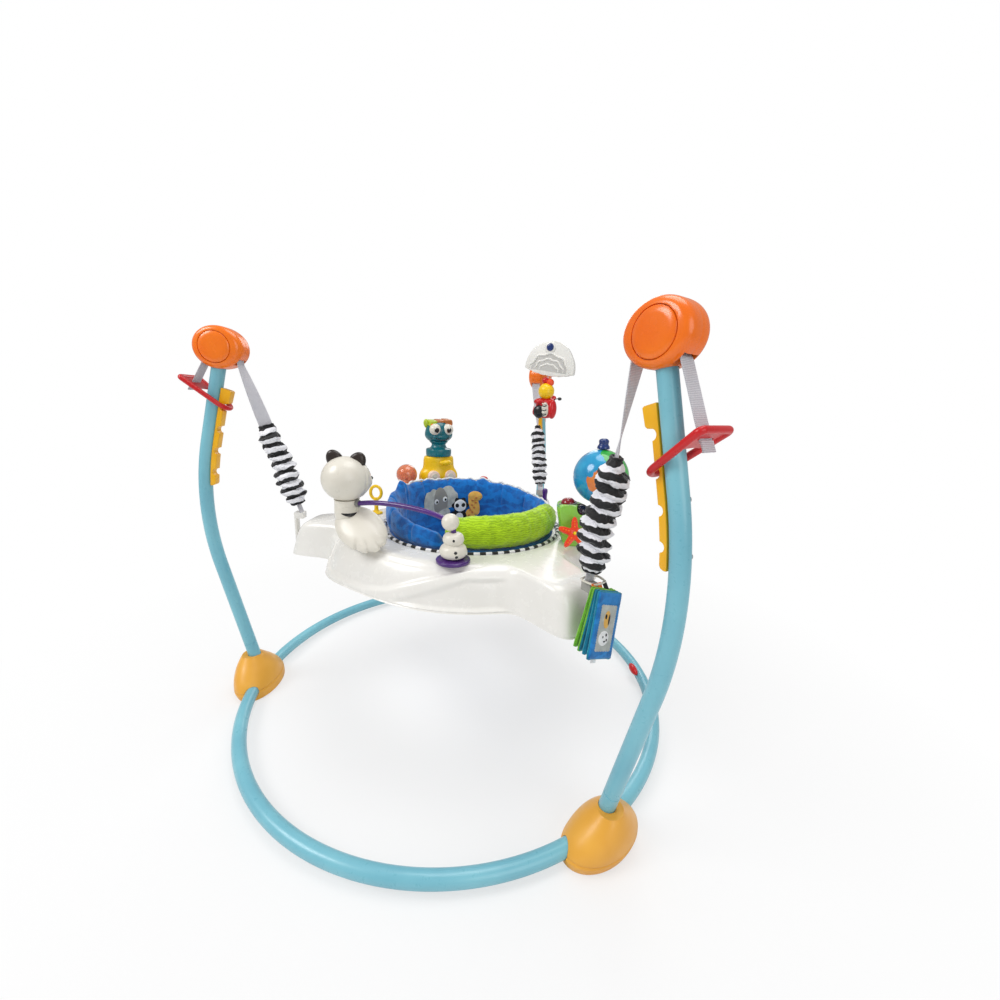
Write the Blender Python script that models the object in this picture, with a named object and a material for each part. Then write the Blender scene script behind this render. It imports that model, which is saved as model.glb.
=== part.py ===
"""A free-standing baby jumper: a ring base with three bowed posts, a play tray hung from
three sprung straps, a seat that turns in the tray, and the toys around it.

Run with: blender --background --python part.py
Everything is in metres with +Z up. The base ring's centre is the middle of the design,
and the whole model is set down with the middle of its footprint at the origin."""

import bpy
import bmesh
from math import acos, asin, atan, atan2, ceil, cos, degrees, exp, hypot, pi, radians, sin, sqrt, tan
from mathutils import Matrix, Vector

# Base ring and posts
RING_RADIUS = 0.460
TUBE_RADIUS = 0.0127
RING_HEIGHT = 0.020
POSTS = {"left": 210.0, "right": 330.0, "rear": 90.0}
POST_ROOT_HEIGHT = 0.018
POST_LOWER_SLOPE = 0.22
POST_UPPER_SLOPE = -0.25
POST_LOWER_LENGTH = 0.270
POST_BEND_RADIUS = 0.600
SEAM_HEIGHT = 0.088

# Clearances
GAP = 0.0003
RUNNING_GAP = 0.0008

# Feet
FOOT_HALF_LENGTH = 0.060
FOOT_HALF_WIDTH = 0.045
FOOT_HEIGHT = 0.079
FOOT_SHIFT = 0.004
SOCKET_DEPTH = 0.044

# Strap housings at the top of the posts
HOUSING_RADIUS = 0.4765
HOUSING_HEIGHT = 0.738
HOUSING_OUTER = 0.045
HOUSING_INNER = 0.049
HOUSING_UP = 0.041
HOUSING_DOWN = 0.040
HOUSING_HALF_WIDTH = 0.0235
HOUSING_FACE_SHARE = 0.80
CAP_RADIUS = 0.0290
CAP_DEPTH = 0.0030
CAP_PROUD = 0.0012
AXLE_RADIUS = 0.0040
ROLLER_RADIUS = 0.0140
ROLLER_INSET = 0.020
ROLLER_RISE = 0.006
POST_INSET = 0.0105
POST_TOP_DROP = 0.026
POST_ROOT_RADIUS = HOUSING_RADIUS - POST_INSET
POST_TOP_HEIGHT = HOUSING_HEIGHT - POST_TOP_DROP

# Webbing
STRAP_WIDTH = 0.025
STRAP_THICKNESS = 0.0018
STRAP_SIDE_GAP = 0.0010
STRAP_TWIST = {"left": 75.0, "right": -55.0, "rear": 75.0}

# Height racks and hoops
NOTCH_PITCH = 0.0465
NOTCH_COUNT = 4
NOTCH_RADIUS = 0.0072
RACK_TOP_DROP = 0.073
RACK_TOP_HEIGHT = HOUSING_HEIGHT - RACK_TOP_DROP
RACK_BLOCK = 0.030
RACK_BLOCK_DEPTH = 0.021
RACK_DEPTH = 0.0105
RACK_HALF_WIDTH = 0.008
RACK_TAIL = 0.030
HOOP_ROD = 0.0048
HOOP_BEND = 0.0190
HOOP_REACH = 0.0570
HOOP_FLARE = 0.0270
HOOP_TILT = 40.0
HOOP_PLATE = 0.0040
HOOP_PLATE_START = 0.030
HOOP_SLOT_AT = 0.042
HOOP_NOTCH = {"left": 0, "right": 1, "rear": 0}
HOOP_CLEARANCE = 0.0022

# Spring units between straps and tray
COVER_TOP_DROP = 0.148
COVER_TOP_HEIGHT = HOUSING_HEIGHT - COVER_TOP_DROP
COVER_FOOT_RISE = 0.019
COVER_RADIUS = 0.0220
COVER_PUFF = 0.0034
COVER_BORE = 0.0153
COVER_GATHERS = 8
SPRING_RADIUS = 0.0110
SPRING_WIRE = 0.0014
SPRING_TURNS = 9
LINK_HALF_WIDTH = 0.0136
LINK_LENGTH = 0.014
COVER_OVERLAP = 0.014

# Tray
TRAY_SHIFT = 0.030
TRAY_SHIFT_BACK = 0.004
TRAY_TURN = -3.7
TRAY_RADIUS = 0.285
ARM_REACH = 0.383
ARM_HALF_WIDTH = 0.056
ARM_SOFTNESS = 8.0
DECK_HEIGHT = 0.388
RIM_DROP = 0.070
RIM_HEIGHT = DECK_HEIGHT - RIM_DROP
APRON_WIDTH = 0.036
TRAY_WALL = 0.003
HOLE_RADIUS = 0.187
LIP_DROP = 0.026
COLUMNS_PER_ARM = 17
BRACKET_WIDTH = 0.018
BRACKET_THICKNESS = 0.004
BRACKET_RISE = 0.014
BRACKET_EYE_HEIGHT = DECK_HEIGHT + BRACKET_RISE
COVER_BOTTOM_HEIGHT = BRACKET_EYE_HEIGHT + COVER_FOOT_RISE

# Seat
SEAT_RING_RADIUS = 0.184
SEAT_RING_WALL = 0.004
SEAT_FLANGE = 0.195
SEAT_FLANGE_THICKNESS = 0.003
PAD_OUTER = 0.186
PAD_THICKNESS = 0.022
PAD_BACK_RISE = 0.074
PAD_FRONT_RISE = 0.006
PAD_BOTTOM_DROP = 0.088
PAD_BACK_HEIGHT = DECK_HEIGHT + PAD_BACK_RISE
PAD_FRONT_HEIGHT = DECK_HEIGHT + PAD_FRONT_RISE
PAD_FALL = 0.012
PAD_BOTTOM = DECK_HEIGHT - PAD_BOTTOM_DROP
SEAT_FRONT_ANGLE = 337.0
ROLL_HALF_ANGLE = 52.0
ROLL_RADIUS = 0.0265
ROLL_HALF_HEIGHT = 0.0300
SLING_DROP = 0.156
SLING_LOW = DECK_HEIGHT - SLING_DROP
SLING_HALF_WIDTH = 0.058
SLING_THICKNESS = 0.006

# Toys: distance from the tray's middle and bearing round it
BEAD_SPOT = (0.234, 295.0)
PANDA_SPOT = (0.240, 238.0)
LOOP_SPOT = (0.236, 196.0)
RATTLE_SPOT = (0.236, 168.5)
BOBBLE_SPOT = (0.234, 146.0)
PEG_SPOT = (0.240, 71.0)
STATION_SPOT = (0.232, 1.5)
TOY_TURN = 29.0
PANDA_SLOPE = 50.0
GLOBE_RADIUS = 0.056
GLOBE_OFFSET = (0.045, -0.006, 0.146)
PIN_RADIUS = 0.0030
BAR_RADIUS = 0.0045
BUTTON_TRAVEL = 0.004

# Facets
TUBE_SIDES = 10
RING_STEPS = 14

SIDES = list(POSTS)


def finish(name, colour, roughness, metallic=0.0):
    """One plain surface finish."""
    material = bpy.data.materials.new(name)
    material.use_nodes = True
    shader = material.node_tree.nodes["Principled BSDF"]
    shader.inputs["Base Color"].default_value = (*colour, 1.0)
    shader.inputs["Roughness"].default_value = roughness
    shader.inputs["Metallic"].default_value = metallic
    return material


def empty(name, parent=None, at=(0, 0, 0), turn=(0, 0, 0)):
    """A named point that pieces hang from, such as a joint's axis."""
    point = bpy.data.objects.new(name, None)
    bpy.context.scene.collection.objects.link(point)
    point.parent = parent
    point.location = at
    point.rotation_euler = [radians(a) for a in turn]
    return point


def piece(name, mesh, material, parent=None, at=(0, 0, 0), turn=(0, 0, 0), sharp=35.0):
    """Turn a bmesh into a named, smooth-shaded object."""
    bmesh.ops.recalc_face_normals(mesh, faces=mesh.faces)
    data = bpy.data.meshes.new(name)
    mesh.to_mesh(data)
    mesh.free()
    obj = bpy.data.objects.new(name, data)
    bpy.context.scene.collection.objects.link(obj)
    obj.parent = parent
    obj.location = at
    obj.rotation_euler = [radians(a) for a in turn]
    data.materials.append(material)
    data.shade_smooth()
    data.set_sharp_from_angle(angle=radians(sharp))
    return obj


def skin(rings, loop=False):
    """Join rings of points into a closed body, with flat ends or end to end."""
    mesh = bmesh.new()
    made = [[mesh.verts.new(p) for p in ring] for ring in rings]
    count = len(made)
    for i in range(count if loop else count - 1):
        a = made[i]
        b = made[(i + 1) % count]
        if len(a) == 1 and len(b) == 1:
            continue
        n = max(len(a), len(b))
        for k in range(n):
            m = (k + 1) % n
            if len(a) == 1:
                mesh.faces.new((a[0], b[k], b[m]))
            elif len(b) == 1:
                mesh.faces.new((a[k], b[0], a[m]))
            else:
                mesh.faces.new((a[k], b[k], b[m], a[m]))
    if not loop:
        for ring in (made[0], made[-1]):
            if len(ring) > 1:
                mesh.faces.new(ring)
    return mesh


def turned(profile, sides, loop=False):
    """Turn a profile of (radius, height) points about Z."""
    rings = []
    for radius, height in profile:
        if radius < 1e-6:
            rings.append([Vector((0, 0, height))])
        else:
            rings.append([Vector((radius * cos(2 * pi * k / sides), radius * sin(2 * pi * k / sides), height))
                          for k in range(sides)])
    return skin(rings, loop)


def ball(radius, sides, rows, squash=1.0, cut_low=-1.0, cut_high=1.0):
    """A ball, or a slice of one between two levels given as shares of its radius."""
    low = asin(cut_low)
    high = asin(cut_high)
    profile = []
    for k in range(rows + 1):
        a = low + (high - low) * k / rows
        profile.append((radius * cos(a), radius * squash * sin(a)))
    return turned(profile, sides)


def frames_along(points):
    """Unit directions and steady side vectors along a line of points."""
    count = len(points)
    heads = []
    for i in range(count):
        heads.append((points[min(i + 1, count - 1)] - points[max(i - 1, 0)]).normalized())
    side = heads[0].cross(Vector((0, 0, 1)))
    if side.length < 0.1:
        side = Vector((1, 0, 0))
    out = []
    for head in heads:
        side = (side - head * side.dot(head)).normalized()
        out.append((head, side, head.cross(side)))
    return out


def rod(points, radius, sides=TUBE_SIDES, loop=False):
    """A round bar along a line of points, whose radius may change point by point."""
    points = [Vector(p) for p in points]
    count = len(points)
    radii = radius if isinstance(radius, (list, tuple)) else [radius] * count
    if loop:
        heads = [(points[(i + 1) % count] - points[i - 1]).normalized() for i in range(count)]
        normal = Vector((0, 0, 0))
        middle = sum(points, Vector()) / count
        for i in range(count):
            normal += (points[i] - middle).cross(points[(i + 1) % count] - middle)
        normal.normalize()
        frames = [(h, normal, h.cross(normal)) for h in heads]
    else:
        frames = frames_along(points)
    rings = []
    for point, (head, side, over), r in zip(points, frames, radii):
        rings.append([point + side * (r * cos(2 * pi * k / sides)) + over * (r * sin(2 * pi * k / sides))
                      for k in range(sides)])
    return skin(rings, loop)


def band(points, across, width, thickness):
    """Flat webbing along a line of points; across gives its width direction at each."""
    points = [Vector(p) for p in points]
    rings = []
    for (head, _, _), point, side in zip(frames_along(points), points, across):
        side = (side - head * side.dot(head)).normalized()
        face = head.cross(side)
        w = side * (width / 2)
        t = face * (thickness / 2)
        rings.append([point - w - t, point + w - t, point + w + t, point - w + t])
    mesh = skin(rings)
    bmesh.ops.triangulate(mesh, faces=mesh.faces)
    return mesh


def slab(outline, half_width, half_top=None):
    """A flat outline in X and Z, given thickness both ways along Y."""
    near = [Vector((x, -half_width, z)) for x, z in outline]
    far = [Vector((x, half_width if half_top is None else half_top, z)) for x, z in outline]
    return skin([near, far])


def plate(outline, low, high):
    """A flat outline in X and Y, standing between two heights."""
    return skin([[Vector((x, y, low)) for x, y in outline], [Vector((x, y, high)) for x, y in outline]])


def arc(centre, radius, start, stop, steps):
    """Points on a circle in a plane, between two bearings in degrees."""
    points = []
    for k in range(steps + 1):
        a = radians(start + (stop - start) * k / steps)
        points.append((centre[0] + radius * cos(a), centre[1] + radius * sin(a)))
    return points


def moved(mesh, at=(0, 0, 0), turn=(0, 0, 0), size=(1, 1, 1)):
    """Scale, turn and shift a bmesh."""
    matrix = Matrix.Translation(Vector(at))
    for angle, axis in zip(reversed(turn), "ZYX"):
        matrix = matrix @ Matrix.Rotation(radians(angle), 4, axis)
    matrix = matrix @ Matrix.Diagonal((*size, 1.0))
    bmesh.ops.transform(mesh, matrix=matrix, verts=mesh.verts)
    return mesh


def worked(mesh, operation, *tools):
    """Cut a body with tools, or join them to it, and return the result as a bmesh."""
    scene = bpy.context.scene.collection
    objects = []
    for body in (mesh, *tools):
        bmesh.ops.recalc_face_normals(body, faces=body.faces)
        data = bpy.data.meshes.new("work")
        body.to_mesh(data)
        body.free()
        obj = bpy.data.objects.new("work", data)
        scene.objects.link(obj)
        objects.append(obj)
    for tool in objects[1:]:
        step = objects[0].modifiers.new("step", "BOOLEAN")
        step.operation = operation
        step.solver = "EXACT"
        step.object = tool
    done = bpy.data.meshes.new_from_object(objects[0].evaluated_get(bpy.context.evaluated_depsgraph_get()))
    result = bmesh.new()
    result.from_mesh(done)
    bpy.data.meshes.remove(done)
    for obj in objects:
        data = obj.data
        bpy.data.objects.remove(obj)
        bpy.data.meshes.remove(data)
    bmesh.ops.remove_doubles(result, verts=result.verts, dist=1e-6)
    return result


def cut(mesh, *tools):
    return worked(mesh, "DIFFERENCE", *tools)


def joined(mesh, *tools):
    return worked(mesh, "UNION", *tools)


# The bowed centre line of a post, as radius and height above the ring's plane
LOW_LEAN = atan(POST_LOWER_SLOPE)
HIGH_LEAN = atan(POST_UPPER_SLOPE)
BEND_START = POST_LOWER_LENGTH
BEND_LENGTH = POST_BEND_RADIUS * (LOW_LEAN - HIGH_LEAN)


def post_at(s):
    """Radius, height and outward lean at a distance along the post."""
    r = POST_ROOT_RADIUS + min(s, BEND_START) * sin(LOW_LEAN)
    h = POST_ROOT_HEIGHT + min(s, BEND_START) * cos(LOW_LEAN)
    lean = LOW_LEAN
    if s > BEND_START:
        lean = LOW_LEAN - (min(s, BEND_START + BEND_LENGTH) - BEND_START) / POST_BEND_RADIUS
        r += POST_BEND_RADIUS * (cos(lean) - cos(LOW_LEAN))
        h += POST_BEND_RADIUS * (sin(LOW_LEAN) - sin(lean))
    if s > BEND_START + BEND_LENGTH:
        rest = s - BEND_START - BEND_LENGTH
        r += rest * sin(HIGH_LEAN)
        h += rest * cos(HIGH_LEAN)
    return r, h, lean


def post_distance(height):
    """The distance along the post at which it reaches a height."""
    low, high = -0.1, 2.0
    for _ in range(50):
        mid = (low + high) / 2
        if post_at(mid)[1] < height:
            low = mid
        else:
            high = mid
    return (low + high) / 2


def beside_post(s, inward, across=0.0):
    """A point beside the post: so far inward from its centre line and so far across."""
    r, h, lean = post_at(s)
    return Vector((r - inward * cos(lean), across, h + inward * sin(lean)))


def post_line(start, stop, bend_steps=9):
    """Points along the post's centre line, close together only in the bend."""
    marks = [start]
    for k in range(bend_steps + 1):
        s = BEND_START + BEND_LENGTH * k / bend_steps
        if start < s < stop:
            marks.append(s)
    marks.append(stop)
    return [beside_post(s, 0.0) for s in marks]


ROOT_S = 0.0
SEAM_S = post_distance(SEAM_HEIGHT)
TOP_S = post_distance(POST_TOP_HEIGHT)


def ring_line(start):
    """The centre line of one bent tube of the base ring, from one foot to the next."""
    inset = degrees((FOOT_HALF_LENGTH - SOCKET_DEPTH) / RING_RADIUS)
    points = []
    for k in range(RING_STEPS + 1):
        a = radians(start + inset + (120.0 - 2 * inset) * k / RING_STEPS)
        points.append(Vector((RING_RADIUS * cos(a), RING_RADIUS * sin(a), 0.0)))
    return points


def ring_tube(side):
    """One bent tube of the base ring, which ends in the foot of this post and of the next."""
    return rod(ring_line(POSTS[side]), TUBE_RADIUS)


def foot_body():
    """The whole foot in its post's frame: an egg that swells along the ring."""
    base = -RING_HEIGHT
    shares = ((0.0, 0.90, 0.90), (0.05, 0.97, 0.98), (0.25, 1.00, 1.00), (0.50, 0.93, 0.95),
              (0.72, 0.74, 0.82), (0.88, 0.52, 0.62), (1.0, 0.34, 0.42))
    rings = []
    for level, along, out in shares:
        z = base + FOOT_HEIGHT * level
        lean = (z + RING_HEIGHT) * POST_LOWER_SLOPE
        ring = []
        for k in range(14):
            a = 2 * pi * k / 14
            x = RING_RADIUS + FOOT_SHIFT + lean + FOOT_HALF_WIDTH * out * cos(a)
            y = FOOT_HALF_LENGTH * along * sin(a)
            ring.append(Vector((x, y, z)))
        rings.append(ring)
    return skin(rings)


def ring_channels():
    """The two sockets that the base tubes fill, in a foot's frame."""
    away = ring_line(0.0)[:3]
    back = ring_line(-120.0)[-3:]
    away[0] += (away[0] - away[1]).normalized() * GAP
    back[-1] += (back[-1] - back[-2]).normalized() * GAP
    return [rod(away, TUBE_RADIUS + GAP), rod(back, TUBE_RADIUS + GAP)]


def block(low, high):
    """A plain rectangular cutter between two corners."""
    outline = [(low[0], low[1]), (high[0], low[1]), (high[0], high[1]), (low[0], high[1])]
    return plate(outline, low[2], high[2])


def foot():
    """A foot with its three sockets: one for each base tube and one for the post."""
    socket = rod([beside_post(s, 0.0) for s in (ROOT_S - GAP, ROOT_S + 0.12)], TUBE_RADIUS + GAP)
    return cut(foot_body(), socket, *ring_channels())


def post_tube():
    """The bowed tube of a post, with the groove where its two lengths meet."""
    seam = [beside_post(SEAM_S + d, 0.0) for d in (-0.0012, -0.0006, 0.0006, 0.0012)]
    line = post_line(SEAM_S + 0.0013, TOP_S)[1:]
    points = [beside_post(ROOT_S, 0.0)] + seam + line
    groove = TUBE_RADIUS - 0.0007
    radii = [TUBE_RADIUS, TUBE_RADIUS, groove, groove, TUBE_RADIUS] + [TUBE_RADIUS] * len(line)
    return rod(points, radii)


def housing_outline(share, sides=18):
    """The egg outline of a strap housing in X and Z, seen along the roller's axis."""
    points = []
    for k in range(sides):
        a = 2 * pi * k / sides
        x = cos(a) * (HOUSING_OUTER if cos(a) > 0 else HOUSING_INNER)
        z = sin(a) * (HOUSING_UP if sin(a) > 0 else HOUSING_DOWN)
        points.append((x * share, z * share))
    return points


def housing_mouths():
    """The strap's passage through a housing: up the inner side, over the roller, down outside."""
    run = ROLLER_RADIUS + STRAP_THICKNESS + 0.005
    x = -ROLLER_INSET
    z = ROLLER_RISE
    inner_wall = x - run
    outer_wall = HOUSING_OUTER - 0.009
    deep = -HOUSING_DOWN - 0.010
    post_head = POST_TOP_HEIGHT - HOUSING_HEIGHT
    socket_wall = TUBE_RADIUS + 0.0095
    outline = [(inner_wall, deep)]
    outline += arc((x, z), run, 180, 90, 4)
    outline += [(HOUSING_OUTER * 0.35, z + run * 0.60), (outer_wall, -0.006), (outer_wall, deep)]
    outline += [(socket_wall, deep), (socket_wall, post_head + 0.0035)]
    outline += [(x + run, post_head + 0.014), (x + run - 0.004, z - run * 0.75)]
    outline += [(inner_wall + 0.012, z - run * 0.95), (inner_wall + 0.012, deep)]
    return slab(outline, STRAP_WIDTH / 2 + STRAP_SIDE_GAP)


def housing_shell():
    """A strap housing about its own centre, with its strap passage and its post socket."""
    levels = ((1.0, HOUSING_FACE_SHARE), (0.86, 0.905), (0.45, 1.0), (-0.45, 1.0), (-0.86, 0.905),
              (-1.0, HOUSING_FACE_SHARE))
    rings = []
    for level, share in levels:
        y = HOUSING_HALF_WIDTH * level
        rings.append([Vector((x, y, z)) for x, z in housing_outline(share)])
    body = skin(rings)
    shift = Vector((HOUSING_RADIUS, 0, HOUSING_HEIGHT))
    below = TOP_S - 0.08
    socket = rod([beside_post(s, 0.0) - shift for s in (below, TOP_S + GAP)], TUBE_RADIUS + GAP)
    axle = moved(turned([(0, -0.1), (AXLE_RADIUS + GAP, -0.1), (AXLE_RADIUS + GAP, 0.1), (0, 0.1)], 8),
                 at=(-ROLLER_INSET, 0, ROLLER_RISE), turn=(90, 0, 0))
    recesses = []
    for side in (1, -1):
        floor = HOUSING_HALF_WIDTH - CAP_DEPTH - GAP
        disc = turned([(0, floor), (CAP_RADIUS + GAP, floor), (CAP_RADIUS + GAP, 0.06), (0, 0.06)], 18)
        recesses.append(moved(disc, turn=(-90 * side, 0, 0)))
    return cut(body, housing_mouths(), socket, axle, *recesses)


def cap_disc(side):
    """A domed round cap in the side of a housing."""
    floor = HOUSING_HALF_WIDTH - CAP_DEPTH
    face = HOUSING_HALF_WIDTH + CAP_PROUD
    disc = turned([(0, floor), (CAP_RADIUS, floor), (CAP_RADIUS, face - 0.001), (CAP_RADIUS * 0.93, face),
                   (0, face + 0.0012)], 18)
    return moved(disc, turn=(-90 * side, 0, 0))


def axle_cap():
    """The cap that carries the roller's axle, which runs through the housing."""
    far_floor = HOUSING_HALF_WIDTH - CAP_DEPTH - GAP * 2
    shaft = turned([(0, -far_floor), (AXLE_RADIUS, -far_floor), (AXLE_RADIUS, far_floor + 0.002),
                    (0, far_floor + 0.002)], 8)
    shaft = moved(shaft, at=(-ROLLER_INSET, 0, ROLLER_RISE), turn=(90, 0, 0))
    return joined(cap_disc(-1), shaft)


def roller():
    """The spool that a strap runs over, about its own axle."""
    half = STRAP_WIDTH / 2 + STRAP_SIDE_GAP - RUNNING_GAP
    bore = AXLE_RADIUS + RUNNING_GAP / 2
    profile = [(bore, -half), (ROLLER_RADIUS, -half), (ROLLER_RADIUS, half), (bore, half)]
    return moved(turned(profile, 14, loop=True), turn=(90, 0, 0))


def notch_distances():
    """Where the hoop's rod crosses the rack for each height setting, along the post."""
    first = post_distance(RACK_TOP_HEIGHT) - RACK_BLOCK - NOTCH_RADIUS
    return [first - NOTCH_PITCH * k for k in range(NOTCH_COUNT)]


def height_rack():
    """The notched strip on the inner side of a post."""
    top = post_distance(RACK_TOP_HEIGHT)
    notches = notch_distances()
    foot = notches[-1] - RACK_TAIL
    surface = TUBE_RADIUS + GAP
    crest = TUBE_RADIUS + RACK_DEPTH
    outline = [(top, surface), (top - 0.003, TUBE_RADIUS + RACK_BLOCK_DEPTH),
               (top - RACK_BLOCK + 0.002, TUBE_RADIUS + RACK_BLOCK_DEPTH - 0.002), (top - RACK_BLOCK, crest)]
    for s in notches:
        for k in range(5):
            a = radians(180 * k / 4)
            outline.append((s + NOTCH_RADIUS * cos(a), crest - NOTCH_RADIUS * 0.85 * sin(a)))
    outline += [(foot + 0.006, crest), (foot + 0.001, crest - 0.004), (foot, surface)]
    low = min(notches) - RACK_TAIL
    for k in range(1, 5):
        outline.append((low + (top - low) * k / 5, surface))
    near = [beside_post(s, d, -RACK_HALF_WIDTH) for s, d in outline]
    far = [beside_post(s, d, RACK_HALF_WIDTH) for s, d in outline]
    return skin([near, far])


# A hoop lies in its own tilted plane: X runs outward and up from the post's centre line
HOOP_ALONG = cos(radians(90 - HOOP_TILT) - HIGH_LEAN)
HOOP_ACROSS = sin(radians(90 - HOOP_TILT) - HIGH_LEAN)
HOOP_INNER = (TUBE_RADIUS + RACK_DEPTH + HOOP_CLEARANCE + HOOP_ROD) / HOOP_ACROSS


def hoop_distance(side):
    """Where the post's centre line passes through a hoop, along the post."""
    return notch_distances()[HOOP_NOTCH[side]] + HOOP_INNER * HOOP_ALONG


def hoop_outline(scale_out=0.0):
    """The centre line of the hoop's rod, round the post and out to the strap's edge."""
    corner = 0.009
    points = arc((-HOOP_INNER + HOOP_BEND, 0), HOOP_BEND + scale_out, 100, 260, 8)
    points += arc((HOOP_REACH - corner, -HOOP_FLARE + corner), corner + scale_out, 280, 350, 2)
    points += arc((HOOP_REACH - corner, HOOP_FLARE - corner), corner + scale_out, 10, 80, 2)
    return points


def hoop():
    """A height hoop: a thick rod bent round the post, with a slotted plate for the strap."""
    rim = rod([(x, y, 0) for x, y in hoop_outline()], HOOP_ROD, 7, loop=True)
    line = hoop_outline()
    share = (HOOP_PLATE_START + HOOP_INNER - HOOP_BEND) / (HOOP_REACH - HOOP_INNER + HOOP_BEND)
    half = HOOP_BEND + (HOOP_FLARE - HOOP_BEND) * max(0.0, share)
    outer = [p for p in line if p[0] > HOOP_PLATE_START]
    web = [(HOOP_PLATE_START, -half)] + outer + [(HOOP_PLATE_START, half)]
    sheet = plate(web, -HOOP_PLATE / 2, HOOP_PLATE / 2)
    slot_half = STRAP_WIDTH / 2 + 0.001
    slot = block((HOOP_SLOT_AT - 0.0022, -slot_half, -0.02), (HOOP_SLOT_AT + 0.0022, slot_half, 0.02))
    return joined(rim, cut(sheet, slot))


# Strap route in a post's frame
ROLLER_AT = Vector((HOUSING_RADIUS - ROLLER_INSET, 0, HOUSING_HEIGHT + ROLLER_RISE))
STRAP_BEND = ROLLER_RADIUS + GAP + STRAP_THICKNESS / 2
INNER_EXIT = Vector((ROLLER_AT.x - STRAP_BEND, 0, HOUSING_HEIGHT - HOUSING_DOWN * 0.76))
OUTER_EXIT = Vector((HOUSING_RADIUS + HOUSING_OUTER - 0.0145, 0, HOUSING_HEIGHT - HOUSING_DOWN * 0.68))


def tray_spot(distance, bearing, height=0.0):
    """A point given by its distance from the tray's middle and its bearing, in the tray's frame."""
    a = radians(bearing)
    return Vector((distance * cos(a), distance * sin(a), height))


def tray_to_ring(point):
    """Carry a point from the tray's frame to the ring's."""
    turn = Matrix.Rotation(radians(TRAY_TURN), 4, "Z")
    return turn @ Vector(point) + Vector((TRAY_SHIFT, TRAY_SHIFT_BACK, 0))


def ring_to_post(point, side):
    """Carry a point from the ring's frame to a post's."""
    return Matrix.Rotation(-radians(POSTS[side]), 4, "Z") @ Vector(point)


def hang_line(side):
    """A strap's straight fall: from the housing's inner mouth to the tray arm's eye."""
    eye = tray_spot(ARM_REACH - 0.004, POSTS[side], BRACKET_EYE_HEIGHT + 0.004)
    return INNER_EXIT.copy(), ring_to_post(tray_to_ring(eye), side)


def hang_at(side, height):
    """The point of a strap's fall at a height above the ring's plane."""
    top, eye = hang_line(side)
    return top + (eye - top) * ((top.z - height) / (top.z - eye.z))


LINK_TOP = COVER_TOP_HEIGHT - COVER_OVERLAP
LINK_BOTTOM = COVER_BOTTOM_HEIGHT + COVER_OVERLAP


def strap(side):
    """One strap: up from its hoop, over the roller and down to the spring's hook."""
    s = hoop_distance(side)
    middle = beside_post(s, 0.0)
    tilt = radians(HOOP_TILT)
    slot = middle + Vector((HOOP_SLOT_AT * cos(tilt), 0, HOOP_SLOT_AT * sin(tilt)))
    run = slot - OUTER_EXIT
    tail = slot - run.normalized() * (-0.006)
    centre = ROLLER_AT
    out = OUTER_EXIT - centre
    meet = atan2(out.z, out.x) + acos(STRAP_BEND / hypot(out.x, out.z))
    points = [tail, slot, OUTER_EXIT]
    steps = 6
    for k in range(steps + 1):
        a = meet + (pi - meet) * k / steps
        points.append(Vector((centre.x + STRAP_BEND * cos(a), 0, centre.z + STRAP_BEND * sin(a))))
    across = [Vector((0, 1, 0))] * len(points)
    falls = 10
    for k in range(falls + 1):
        h = INNER_EXIT.z + (LINK_TOP - INNER_EXIT.z) * k / falls
        points.append(hang_at(side, h))
        a = radians(STRAP_TWIST[side]) * k / falls
        across.append(Vector((sin(a), cos(a), 0)))
    return band(points, across, STRAP_WIDTH, STRAP_THICKNESS)


def twisted_frame(side):
    """Directions of a spring unit: along its fall, across its strap, and out of the strap."""
    top, eye = hang_line(side)
    down = (eye - top).normalized()
    a = radians(STRAP_TWIST[side])
    across = Vector((sin(a), cos(a), 0))
    across = (across - down * across.dot(down)).normalized()
    return down, across, down.cross(across)


def spring(side):
    """An extension spring with a wire link at each end, wound from one wire."""
    down, across, out = twisted_frame(side)
    top = hang_at(side, LINK_TOP) + down * (SPRING_WIRE + GAP)
    bottom = hang_at(side, LINK_BOTTOM) - down * (SPRING_WIRE + GAP)
    wide = across * LINK_HALF_WIDTH
    near = across * (SPRING_WIRE * 1.6)
    low_wide = tray_across(side) * LINK_HALF_WIDTH
    low_near = tray_across(side) * (SPRING_WIRE * 1.6)
    first = top + down * LINK_LENGTH
    last = bottom - down * LINK_LENGTH
    points = [first - near, top - wide, top + wide, first + near]
    count = SPRING_TURNS * 6
    start = first + down * 0.004
    stop = last - down * 0.004
    for k in range(count + 1):
        a = 2 * pi * k / 6
        points.append(start + (stop - start) * (k / count) + (across * cos(a) + out * sin(a)) * SPRING_RADIUS)
    points += [last + low_near, bottom + low_wide, bottom - low_wide, last - low_near]
    return rod(points, SPRING_WIRE, 3)


def cover_sleeve(side):
    """The gathered cloth sleeve over a spring, open through its middle."""
    top = hang_at(side, COVER_TOP_HEIGHT)
    bottom = hang_at(side, COVER_BOTTOM_HEIGHT)
    down, across, out = twisted_frame(side)
    steps = COVER_GATHERS * 2
    sides = 10
    rings = []
    for k in range(steps + 1):
        t = k / steps
        ends = min(1.0, sin(pi * t) * 3.0 + 0.25)
        ring = []
        for j in range(sides):
            a = 2 * pi * j / sides
            wave = cos(pi * k + 1.3 * sin(a + 0.9 * k))
            sway = 0.0022 * sin(a * 2 + k)
            r = COVER_BORE + 0.003 + (COVER_RADIUS - COVER_BORE - 0.003 + COVER_PUFF * wave + sway) * ends
            ring.append(top + (bottom - top) * t + (across * cos(a) + out * sin(a)) * r)
        rings.append(ring)
    for t in (1.0, 0.0):
        rings.append([top + (bottom - top) * t
                      + (across * cos(2 * pi * j / sides) + out * sin(2 * pi * j / sides)) * COVER_BORE
                      for j in range(sides)])
    return skin(rings, loop=True)


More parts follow.
